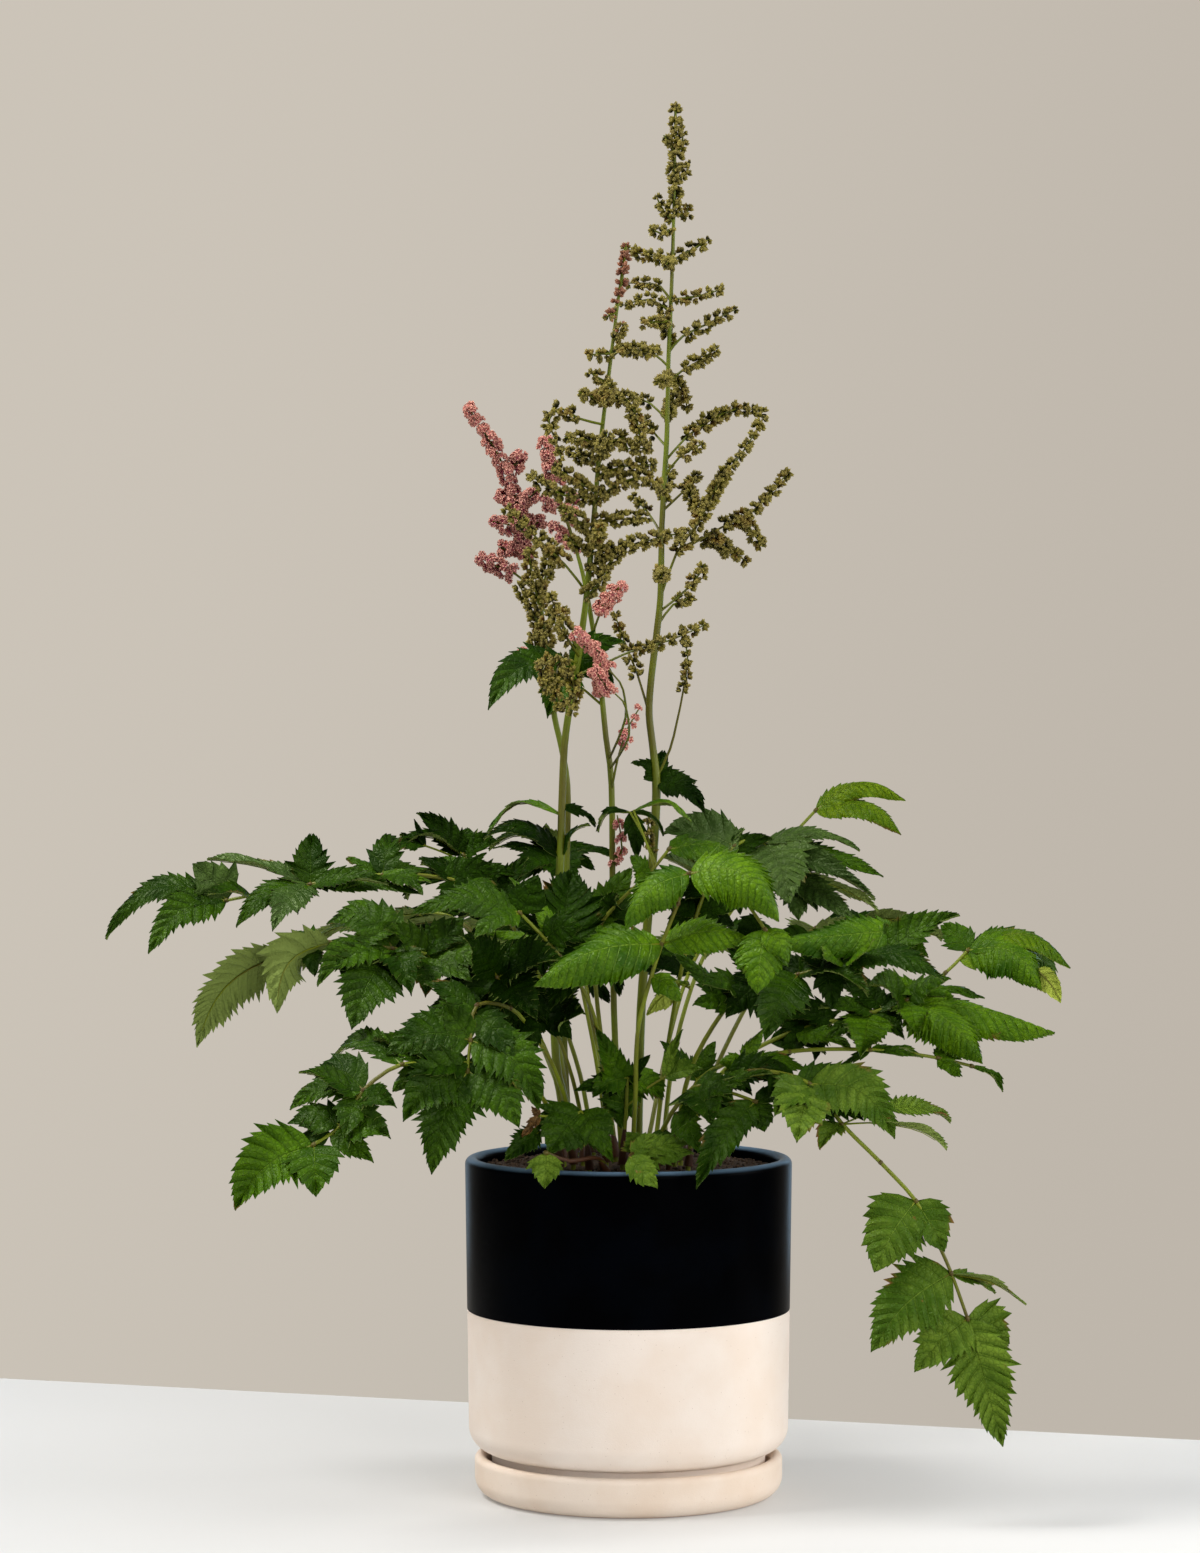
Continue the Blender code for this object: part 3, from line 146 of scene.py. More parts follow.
# Fronds: name, foot in the soil (x, y), how much deeper the frond's end lies than its
# nodes say, path nodes (x, y, z), then leaflets as (node, tip x, tip y, tip z, width,
# facing in degrees, arch height, and the bare share of its length where it has one)
FRONDS = (
    ("frond_left_high", (-34, -8), 80,
     ((-39, -12, 250), (-50, -14, 305), (-72, -22, 352), (-103, -34, 379), (-153, -48, 384),
      (-198, -58, 378), (-250, -62, 368)),
     ((6, -330, -66, 347, 26, 35, 20), (6, -299, -90, 335, 27, 50, 10),
      (6, -271, -66, 391, 30, 75, 2), (5, -262, -38, 394, 22, 12, 4),
      (5, -246, -92, 355, 26, 30, 8), (5, -222, -104, 351, 24, 45, 6),
      (5, -197, -45, 410, 24, 60, 2), (4, -176, -26, 386, 22, 20, 6),
      (4, -143, -22, 407, 20, 15, 7), (4, -128, -74, 372, 20, 20, 5),
      (3, -122, -2, 392, 22, 40, 4), (3, -80, -50, 372, 18, 30, 3))),
    ("frond_left_top", (-22, 14), 60,
     ((-30, 14, 260), (-52, 14, 320), (-80, 14, 362), (-92, 12, 377), (-102, 10, 396)),
     ((4, -131, 6, 423, 20, 55, 2), (4, -150, -10, 396, 18, 15, 13), (4, -100, 24, 414, 26, 55, 1),
      (4, -80, 2, 404, 20, 45, 2), (3, -120, -6, 385, 24, 55, 3), (3, -70, 2, 384, 16, 60, 6),
      (2, -106, -14, 358, 20, 40, 2), (2, -62, 20, 396, 18, 40, 4))),
    ("frond_centre_back", (-12, 24), 70,
     ((-20, 24, 270), (-34, 26, 340), (-46, 26, 398)),
     ((2, -88, 32, 402, 16, 10, 10), (2, -50, 10, 417, 16, 30, 3), (2, -4, 22, 397, 18, 20, 3),
      (2, -66, 40, 410, 18, 30, 2), (2, -34, -8, 374, 28, 70, 3), (2, -73, -2, 383, 20, 45, 2),
      (1, -4, 6, 372, 24, 55, 3))),
    ("frond_left_mid", (-40, -24), 30,
     ((-44, -28, 250), (-60, -42, 290), (-92, -60, 316), (-121, -72, 333), (-147, -80, 338),
      (-187, -86, 342), (-216, -88, 335)),
     ((6, -270, -100, 277, 36, -50, 12), (5, -219, -106, 298, 32, -55, 14),
      (4, -195, -104, 316, 28, 40, 8), (4, -173, -120, 288, 42, 75, 6),
      (4, -136, -114, 311, 26, 55, 4), (4, -190, -62, 355, 32, 45, 14),
      (3, -127, -102, 309, 26, 60, 3), (3, -103, -74, 357, 28, 70, 2),
      (3, -86, -96, 330, 22, 50, 4))),
    ("frond_left_dark", (-28, -30), 0,
     ((-31, -34, 240), (-48, -54, 290), (-82, -78, 320)),
     ((2, -42, -94, 331, 30, 50, 5), (2, -93, -98, 292, 28, 65, 2), (2, -58, -108, 296, 28, 60, 3),
      (2, -101, -84, 347, 24, 50, 3), (1, -30, -82, 300, 28, 60, 3),
      (1, -74, -66, 300, 24, 60, 3))),
    ("frond_left_low", (-34, -40), 0,
     ((-38, -46, 236), (-50, -64, 270), (-74, -86, 301), (-95, -98, 303), (-99, -106, 281),
      (-101, -112, 262)),
     ((4, -152, -122, 273, 34, 60, 8), (4, -116, -108, 304, 20, 70, 0),
      (4, -56, -120, 238, 34, 55, 10), (5, -141, -134, 231, 34, 60, 8),
      (5, -124, -140, 198, 34, 75, 6), (5, -69, -134, 228, 32, 65, 6))),
    ("frond_left_drooping", (-42, -50), 0,
     ((-46, -58, 228), (-58, -76, 250), (-80, -96, 259), (-115, -120, 264), (-142, -132, 266),
      (-166, -140, 250), (-180, -146, 228), (-197, -150, 216)),
     ((7, -247, -168, 176, 38, 65, 8), (7, -196, -168, 184, 32, 70, 4),
      (6, -214, -140, 230, 24, 45, 6), (5, -212, -128, 238, 24, 40, 8),
      (5, -198, -122, 251, 28, 50, 12), (6, -150, -162, 222, 28, 60, 3),
      (4, -190, -108, 264, 20, 40, 16), (3, -147, -108, 286, 18, 30, 3))),
    ("frond_centre_curled", (-14, -36), 0,
     ((-16, -46, 260), (-24, -66, 302), (-43, -82, 333), (-68, -92, 360)),
     ((3, -137, -102, 362, 24, 50, 9), (3, -97, -110, 347, 20, 45, 4),
      (3, -57, -92, 384, 24, 70, 0), (2, -36, -62, 390, 46, 80, 0))),
    ("frond_centre_bright", (2, -52), 0,
     ((4, -62, 250), (6, -84, 292), (20, -102, 341), (30, -106, 366), (37, -108, 385),
      (64, -116, 376), (84, -122, 350)),
     ((2, -60, -132, 317, 38, 50, 8), (2, 80, -114, 343, 28, 45, 7),
      (4, 93, -140, 356, 38, 60, 15), (4, -4, -126, 351, 28, 50, 8), (6, 79, -138, 311, 30, 70, 2),
      (6, 99, -134, 330, 18, 50, 3))),
    ("frond_centre_small", (-8, -12), 15,
     ((-14, -16, 260), (-21, -24, 320), (-17, -36, 354), (12, -50, 384), (25, -52, 400)),
     ((4, 79, -68, 381, 26, 30, 12), (4, 50, -38, 391, 22, 45, 3), (3, 2, -62, 396, 14, 60, 0),
      (2, 2, -24, 390, 24, 55, 2), (2, -12, -50, 334, 22, 55, 2))),
    ("frond_right_high", (16, -14), 70,
     ((22, -16, 260), (34, -26, 330), (50, -32, 378), (66, -38, 402), (84, -42, 404),
      (103, -46, 385)),
     ((3, 22, -38, 410, 32, 50, 5), (3, 62, -18, 418, 14, 60, 0), (4, 100, -86, 366, 44, 65, 8),
      (4, 145, -50, 401, 22, 20, 8), (4, 159, -64, 385, 20, 40, 3), (4, 150, -84, 375, 18, 45, 2),
      (5, 140, -92, 357, 20, 55, 0), (5, 157, -36, 366, 14, -30, 2), (2, 22, -60, 396, 18, 40, 2),
      (5, 106, -72, 356, 20, 60, 0))),
    ("frond_right_pair", (22, 10), 70,
     ((28, 12, 270), (48, 14, 335), (85, 10, 388), (117, 2, 424)),
     ((3, 174, -8, 433, 22, 35, 13), (3, 171, -26, 411, 24, 35, 11))),
    ("frond_right_quilted", (28, -34), 0,
     ((38, -42, 262), (70, -60, 312), (105, -72, 322), (134, -80, 329), (155, -82, 333),
      (170, -74, 350)),
     ((5, 88, -94, 343, 28, 55, 0), (4, 205, -88, 360, 24, 45, 3), (3, 151, -104, 345, 14, 40, 0),
      (3, 120, -92, 340, 14, 40, 0), (3, 197, -112, 321, 24, 35, 10),
      (2, 150, -98, 312, 24, 30, 8), (2, 84, -108, 281, 32, 65, 5), (1, 112, -84, 303, 34, 50, 3),
      (1, 46, -78, 318, 24, 40, 4))),
    ("frond_right_far", (32, -22), 40,
     ((43, -28, 256), (72, -38, 272), (104, -46, 287), (150, -54, 298), (173, -58, 306),
      (197, -60, 323), (211, -60, 337)),
     ((6, 194, -50, 353, 22, 55, 2), (6, 275, -70, 326, 28, 25, 16),
      (6, 257, -96, 314, 36, 55, 12), (6, 268, -50, 306, 24, 40, 22),
      (4, 150, -78, 317, 24, 50, 3), (4, 198, -80, 322, 20, 45, 3), (4, 180, -94, 286, 20, 65, 1),
      (4, 265, -80, 286, 34, 35, 4), (4, 220, -108, 271, 36, 50, 6), (3, 144, -94, 272, 28, 65, 0),
      (2, 138, -78, 278, 18, 40, 2), (0, 20, -30, 281, 14, 50, 1), (0, 54, -20, 281, 16, 50, 2))),
    ("frond_right_thin", (36, -48), 30,
     ((44, -56, 240), (60, -64, 263), (100, -74, 274), (150, -82, 275), (192, -86, 270),
      (213, -88, 265)),
     ((5, 233, -90, 249, 7, 30, 4), (4, 207, -104, 259, 12, 45, 1), (4, 196, -76, 282, 8, 40, 0),
      (4, 213, -72, 274, 14, 45, 2), (3, 182, -64, 274, 8, 30, 3), (1, 111, -88, 264, 18, 45, 6),
      (1, 76, -94, 262, 14, 60, 0))),
    ("frond_right_drooping", (24, -48), 0,
     ((31, -56, 232), (52, -72, 254), (84, -88, 262), (112, -98, 254), (132, -104, 229),
      (156, -108, 205), (178, -112, 181), (200, -114, 136), (210, -116, 108)),
     ((3, 104, -124, 219, 34, 65, 2), (3, 90, -112, 234, 24, 60, 3),
      (3, 166, -120, 221, 34, 60, 12), (4, 118, -116, 213, 16, 30, 3),
      (4, 203, -84, 236, 16, 35, 7, 0.4), (4, 200, -122, 221, 9, -20, 4, 0.3),
      (6, 152, -130, 137, 40, 75, 3), (6, 196, -122, 150, 28, 70, 1),
      (7, 150, -136, 88, 40, 70, 6), (7, 229, -104, 125, 14, 30, 2),
      (7, 247, -114, 117, 10, -20, 5), (8, 177, -128, 75, 30, 70, 2),
      (8, 236, -108, 90, 32, 70, 2), (8, 232, -122, 28, 36, 80, 0))),
    ("frond_low_left", (-24, -62), 0,
     ((-27, -68, 224), (-30, -76, 237)),
     ((1, -50, -96, 211, 36, 70, 2), (1, -16, -94, 213, 28, 65, 2), (1, -60, -80, 226, 20, 60, 1),
      (1, -78, -92, 207, 16, 60, 3, 0.5))),
    ("frond_low_centre", (-4, -44), 0,
     ((-2, -50, 235), (-1, -56, 258)),
     ((1, -23, -64, 246, 20, 50, 3), (1, -5, -80, 226, 26, 70, 3), (1, 22, -68, 244, 20, 55, 3),
      (0, -20, -36, 289, 22, 55, 2))),
    ("frond_low_right", (16, -62), 0,
     ((21, -68, 226), (40, -78, 252), (78, -90, 243)),
     ((1, 64, -100, 246, 22, 55, 3), (1, 51, -104, 229, 34, 70, 4), (0, 20, -94, 203, 16, 70, 2),
      (2, 41, -116, 190, 24, 60, 4), (2, 84, -100, 225, 20, 65, 0),
      (2, 108, -84, 250, 14, 40, 3))),
    ("runner_left", (-14, -72), 0,
     ((-20, -84, 208), (-37, -97, 206), (-52, -106, 211)),
     ((2, -53, -114, 189, 20, 75, 0),)),
    ("runner_right", (6, -74), 0,
     ((4, -84, 211), (0, -100, 209)),
     ((1, 17, -112, 190, 18, 70, 0), (0, -2, -84, 224, 16, 60, 1), (0, 40, -86, 213, 24, 55, 1))),
)

# Fronds on the far side, by rule: name, foot (x, y), heading in degrees, reach, height
BACK_FRONDS = (
    ("frond_back_left", (-30, 26), 142, 165, 356),
    ("frond_back_inner_left", (-12, 40), 104, 175, 346),
    ("frond_back_inner_right", (12, 38), 68, 180, 342),
    ("frond_back_right", (34, 24), 34, 175, 352),
)

# Flower stalks: name, foot, stem points (x, y, z, radius), stem leaves as
# (stem point, tip x, y, z, width, facing, arch), and racemes as (thickness radius,
# first flowering point, points (x, y, z) from the stem outwards)
STALKS = (
    ("stalk_tall", (6, 14),
     ((8, 16, 300, 2.9), (15, 20, 390, 2.8), (17.5, 21, 442, 2.8), (13, 22, 484, 2.3),
      (16, 22, 520, 2.2), (20, 22, 556, 2.0), (21, 22, 602, 1.8), (24, 22, 655, 1.6),
      (25, 22, 702, 1.4), (27, 22, 750, 1.2), (28.5, 22, 800, 1.0), (29.5, 22, 862, 0.9)),
     ((2, 3, 12, 455, 14, 50, 3), (2, 22, 36, 461, 14, 60, 1), (2, 43, 30, 442, 14, 40, 5),
      (2, 48, 4, 424, 18, 55, 6)),
     ((3.6, 0, ((28, 22, 742), (44, 18, 744), (60, 14, 749))),
      (3.8, 1, ((26, 22, 710), (34, 20, 719), (50, 24, 727), (67, 28, 736))),
      (4.2, 1, ((25, 22, 690), (34, 18, 698), (45, 14, 704), (55, 8, 712))),
      (4.2, 0, ((26, 22, 696), (34, 32, 686), (37, 38, 673))),
      (4.4, 1, ((22, 22, 640), (36, 24, 656), (50, 28, 666), (68, 34, 674), (85, 38, 672))),
      (4.6, 1, ((20, 22, 556), (30, 18, 584), (45, 12, 605), (56, 10, 628), (70, 8, 645),
                (84, 8, 668))),
      (4.4, 1, ((30, 18, 584), (58, 22, 600), (80, 28, 612), (100, 34, 635))),
      (4.6, 1, ((30, 18, 584), (46, 34, 594), (60, 40, 588), (75, 44, 578))),
      (4.6, 1, ((20, 22, 548), (38, 16, 563), (48, 12, 577))),
      (4.6, 1, ((21, 22, 610), (34, 32, 622), (44, 40, 633))),
      (2.6, 2, ((17.5, 21, 444), (26, 24, 462), (34, 26, 497), (37, 26, 520), (33, 24, 540))),
      (3.6, 0, ((28, 22, 786), (20, 18, 783), (13, 16, 787))),
      (3.6, 0, ((27, 22, 768), (12, 26, 769), (-5, 30, 775))),
      (3.6, 0, ((27, 22, 766), (38, 26, 772), (50, 30, 779))),
      (3.6, 0, ((27, 22, 733), (14, 20, 742), (-4, 18, 738))),
      (3.8, 1, ((25, 22, 700), (16, 24, 708), (6, 26, 710), (-8, 30, 713))),
      (4.0, 1, ((24, 22, 667), (14, 28, 677), (2, 34, 682))),
      (3.6, 1, ((20, 22, 597), (12, 34, 610), (2, 42, 620))),
      (3.6, 1, ((12.5, 22, 486), (6, 30, 508), (-1, 36, 526), (-9, 40, 548))),
      (4.4, 0, ((28.5, 22, 794), (29, 22, 812), (29.5, 22, 836), (29.5, 22, 864))),
      (4.2, 0, ((25, 22, 694), (22, 8, 692), (18, -2, 690))),
      (4.4, 0, ((20, 22, 572), (21, 8, 570), (20, -2, 569))),
      (4.4, 0, ((22, 22, 618), (24, 36, 626), (26, 52, 636))),
      (4.4, 0, ((24, 22, 668), (27, 40, 676), (30, 56, 686))),
      (4.0, 0, ((26, 22, 716), (24, 36, 724), (22, 48, 734))))),
    ("stalk_leaning", (-26, -14),
     ((-44, -18, 260, 2.6), (-46, -20, 330, 2.5), (-42.5, -22, 395, 2.5), (-40, -24, 464, 2.3),
      (-33, -32, 510, 2.2), (-27, -40, 552, 1.9), (-22, -46, 604, 1.7), (-18, -50, 650, 1.5),
      (-12, -54, 700, 1.2), (-7, -56, 740, 1.0), (-2, -58, 776, 0.8)),
     ((2, -92, -30, 411, 22, 25, 13), (2, -26, -40, 418, 10, 30, 5),
      (4, -88, -60, 487, 28, 50, 16), (4, -51, -58, 483, 24, 65, 6), (4, -2, -24, 530, 22, 50, 8),
      (4, -9, -20, 503, 20, 60, 6)),
     ((2.8, 0, ((-8, -56, 738), (-4, -58, 756), (-2, -60, 776))),
      (3.6, 0, ((-11, -55, 708), (-18, -58, 708), (-26, -60, 707))),
      (3.6, 0, ((-11, -55, 706), (-2, -60, 712), (10, -64, 709), (20, -66, 711))),
      (4.2, 0, ((-14, -53, 679), (-22, -58, 681), (-31, -62, 684))),
      (4.4, 0, ((-14, -53, 680), (-3, -62, 681), (4, -68, 670), (7, -72, 654))),
      (4.0, 1, ((-16, -52, 664), (-32, -58, 668), (-42, -60, 674), (-50, -62, 667),
                (-46, -64, 655), (-42, -66, 642))),
      (4.4, 0, ((-18, -50, 650), (-4, -58, 656), (-1, -62, 649), (14, -66, 650))),
      (4.6, 0, ((-19, -49, 640), (-30, -42, 644), (-38, -38, 648))),
      (4.6, 0, ((-20, -48, 632), (-4, -56, 638), (17, -62, 639))),
      (4.8, 0, ((-21, -47, 618), (-40, -52, 620), (-52, -56, 626), (-62, -60, 633))),
      (4.8, 0, ((-21, -47, 616), (-6, -56, 628), (10, -62, 630), (25, -66, 622))),
      (4.8, 0, ((-22, -46, 604), (-8, -54, 605), (11, -60, 606))),
      (4.8, 0, ((-23, -45, 596), (-34, -54, 606), (-42, -60, 612))),
      (4.2, 0, ((-24, -44, 584), (-6, -56, 587), (12, -62, 592), (34, -66, 597))),
      (4.6, 1, ((-28, -40, 562), (-40, -52, 577), (-56, -60, 592), (-76, -66, 612))),
      (4.8, 0, ((-27, -40, 556), (-18, -50, 566), (-14, -54, 572))),
      (4.0, 2, ((-32, -34, 508), (-12, -46, 517), (4, -52, 524), (26, -56, 530), (48, -58, 540))),
      (4.2, 1, ((-31, -36, 524), (-41, -46, 539), (-40, -50, 550))),
      (4.8, 0, ((-24, -44, 590), (-20, -60, 594), (-18, -76, 600))),
      (4.6, 0, ((-19, -49, 644), (-16, -64, 650), (-14, -80, 658))))),
    ("stalk_short", (-36, 6),
     ((-40, 4, 280, 2.2), (-39, 0, 370, 2.1), (-38, -2, 440, 2.0), (-46, -6, 482, 1.9),
      (-50, -8, 520, 1.6), (-56, -8, 560, 1.3)),
     (),
     ((6.0, 0, ((-46, -6, 484), (-50, -10, 500), (-54, -10, 520))),
      (5.6, 0, ((-46, -6, 486), (-40, -6, 500), (-40, -4, 520))),
      (5.0, 0, ((-50, -8, 520), (-52, -16, 535), (-48, -18, 548))),
      (4.6, 0, ((-52, -8, 532), (-60, -4, 548), (-68, 0, 565))),
      (4.6, 0, ((-54, -8, 548), (-60, -14, 568), (-62, -18, 588))),
      (4.4, 0, ((-56, -8, 558), (-50, -2, 574), (-48, 4, 590))),
      (4.8, 0, ((-47, -7, 492), (-36, -18, 496), (-31, -24, 500))))),
    ("stalk_pink", (-4, 6),
     ((-9, 8, 300, 2.1), (-10.5, 10, 440, 2.0), (-14, 12, 470, 1.9), (-17, 14, 500, 1.8),
      (-21, 16, 530, 1.6), (-28, 20, 570, 1.4), (-38, 24, 604, 1.1), (-46, 26, 630, 1.0),
      (-52, 28, 655, 0.9)),
     (),
     ((4.6, 0, ((-44, 26, 624), (-48, 27, 636), (-52, 28, 656))),
      (3.6, 0, ((-38, 24, 604), (-34, 28, 614), (-36, 30, 622))),
      (4.0, 0, ((-42, 25, 612), (-50, 20, 614), (-54, 18, 620))),
      (5.4, 3, ((-17, 14, 500), (-40, 34, 534), (-60, 46, 560), (-64, 48, 584), (-68, 50, 612),
                (-78, 50, 640), (-90, 48, 660), (-100, 46, 676))),
      (5.2, 1, ((-61, 47, 564), (-70, 42, 571), (-82, 40, 576), (-93, 38, 582))),
      (5.4, 0, ((-64, 48, 588), (-74, 54, 586), (-80, 58, 588))),
      (5.2, 0, ((-66, 49, 600), (-75, 42, 602), (-84, 38, 604))),
      (4.8, 0, ((-68, 50, 612), (-62, 44, 618), (-57, 40, 623))),
      (4.6, 0, ((-76, 50, 636), (-69, 56, 640), (-67, 60, 647))),
      (4.8, 1, ((-22, 17, 534), (-18, 4, 546), (-13, -2, 556), (-4, -6, 564))),
      (5.2, 0, ((-20, 16, 522), (-26, 6, 522), (-32, -2, 526))),
      (4.8, 0, ((-17, 14, 498), (-17, 10, 504), (-18, 4, 496))),
      (3.2, 2, ((-10.5, 10, 436), (-8, 2, 450), (-5, 0, 462), (0, -2, 476), (7, -4, 488))),
      (4.2, 2, ((-17, 14, 490), (-36, 4, 506), (-50, 0, 514), (-60, 4, 518), (-68, 6, 523))))),
)

# Short racemes that the solids leave out, by stalk, in the same form
SHORT_RACEMES = {
    "stalk_tall": (
        (4.4, 1, ((23, 22, 632), (32, 10, 644), (46, 2, 652))),
        (4.4, 1, ((19, 22, 540), (28, 30, 552), (40, 36, 556))),
        (3.6, 0, ((28, 22, 790), (22, 26, 797), (18, 28, 805))),
        (3.6, 1, ((27, 22, 740), (20, 26, 750), (10, 30, 752), (0, 34, 752))),
        (3.8, 0, ((26, 22, 728), (17, 12, 728), (8, 6, 727))),
        (4.0, 1, ((24, 22, 650), (17, 34, 658), (10, 42, 668))),
        (3.2, 0, ((29, 22, 797), (36, 26, 793), (37, 28, 801))),
        (3.0, 0, ((29, 22, 816), (36, 20, 820), (37, 18, 827))),
        (3.2, 0, ((29, 22, 832), (34, 24, 838), (33, 25, 849))),
        (2.8, 0, ((29, 22, 834), (25, 20, 840), (22, 18, 844))),
        (4.2, 0, ((27, 22, 764), (25, 10, 765), (24, 2, 764))),
        (3.2, 0, ((15, 20, 398), (12, 12, 408), (13, 12, 419))),
        (4.4, 0, ((52, 20, 599), (60, 24, 588), (70, 28, 582))),
        (4.4, 0, ((62, 10, 634), (54, 18, 622), (50, 26, 612))),
        (4.4, 0, ((46, 12, 606), (40, 24, 618), (38, 32, 626))),
        (4.4, 0, ((70, 26, 608), (78, 22, 596), (84, 18, 588)))),
    "stalk_leaning": (
        (3.4, 0, ((-8, -56, 734), (-14, -62, 731))),
        (3.6, 0, ((-10, -55, 716), (-5, -62, 722), (-4, -66, 727))),
        (3.4, 0, ((-13, -54, 690), (-19, -56, 693), (-25, -58, 697))),
        (4.4, 0, ((-18, -50, 652), (-30, -60, 655), (-40, -66, 656))),
        (4.6, 0, ((-21, -47, 622), (-34, -56, 630), (-48, -62, 638))),
        (4.8, 0, ((-26, -42, 574), (-14, -50, 576), (-8, -56, 584))),
        (4.8, 0, ((-25, -43, 586), (-34, -50, 590), (-38, -56, 594))),
        (4.2, 0, ((-15, -53, 676), (-14, -66, 682), (-12, -78, 690))),
        (5.2, 1, ((-34, -31, 512), (-42, -64, 518), (-46, -72, 504), (-43, -74, 488))),
        (5.2, 1, ((-36, -29, 506), (-36, -66, 510), (-34, -74, 496), (-36, -75, 484))),
        (4.8, 1, ((-32, -33, 516), (-48, -64, 518), (-54, -72, 510), (-50, -74, 497))),
        (4.6, 1, ((-31, -35, 520), (-38, -62, 530), (-44, -70, 544), (-50, -74, 560)))),
    "stalk_short": (
        (5.0, 0, ((-50, -8, 512), (-58, -14, 526), (-58, -16, 536))),),
    "stalk_pink": (
        (4.0, 0, ((-32, 22, 586), (-42, 30, 596), (-47, 34, 602))),
        (4.8, 0, ((-69, 50, 614), (-76, 56, 618), (-80, 60, 622))),
        (4.8, 0, ((-67, 50, 604), (-58, 56, 603), (-53, 60, 604))),
        (2.4, 0, ((-10, 10, 389), (-4, 2, 400), (-7, 0, 421))),
        (5.0, 3, ((-12, 11, 456), (-2, -36, 482), (-6, -66, 504), (-16, -72, 515), (-24, -74, 526),
                  (-33, -76, 534))),
        (4.8, 3, ((-11.5, 10.5, 450), (0, -34, 470), (-4, -66, 492), (-13, -74, 500),
                  (-23, -78, 512))),
        (4.6, 1, ((-20, 16, 524), (-26, -46, 538), (-36, -62, 540))),
        (4.6, 3, ((-14, 12, 466), (-36, -24, 464), (-58, -74, 486), (-62, -82, 504),
                  (-66, -86, 514), (-71, -88, 525)))),
}

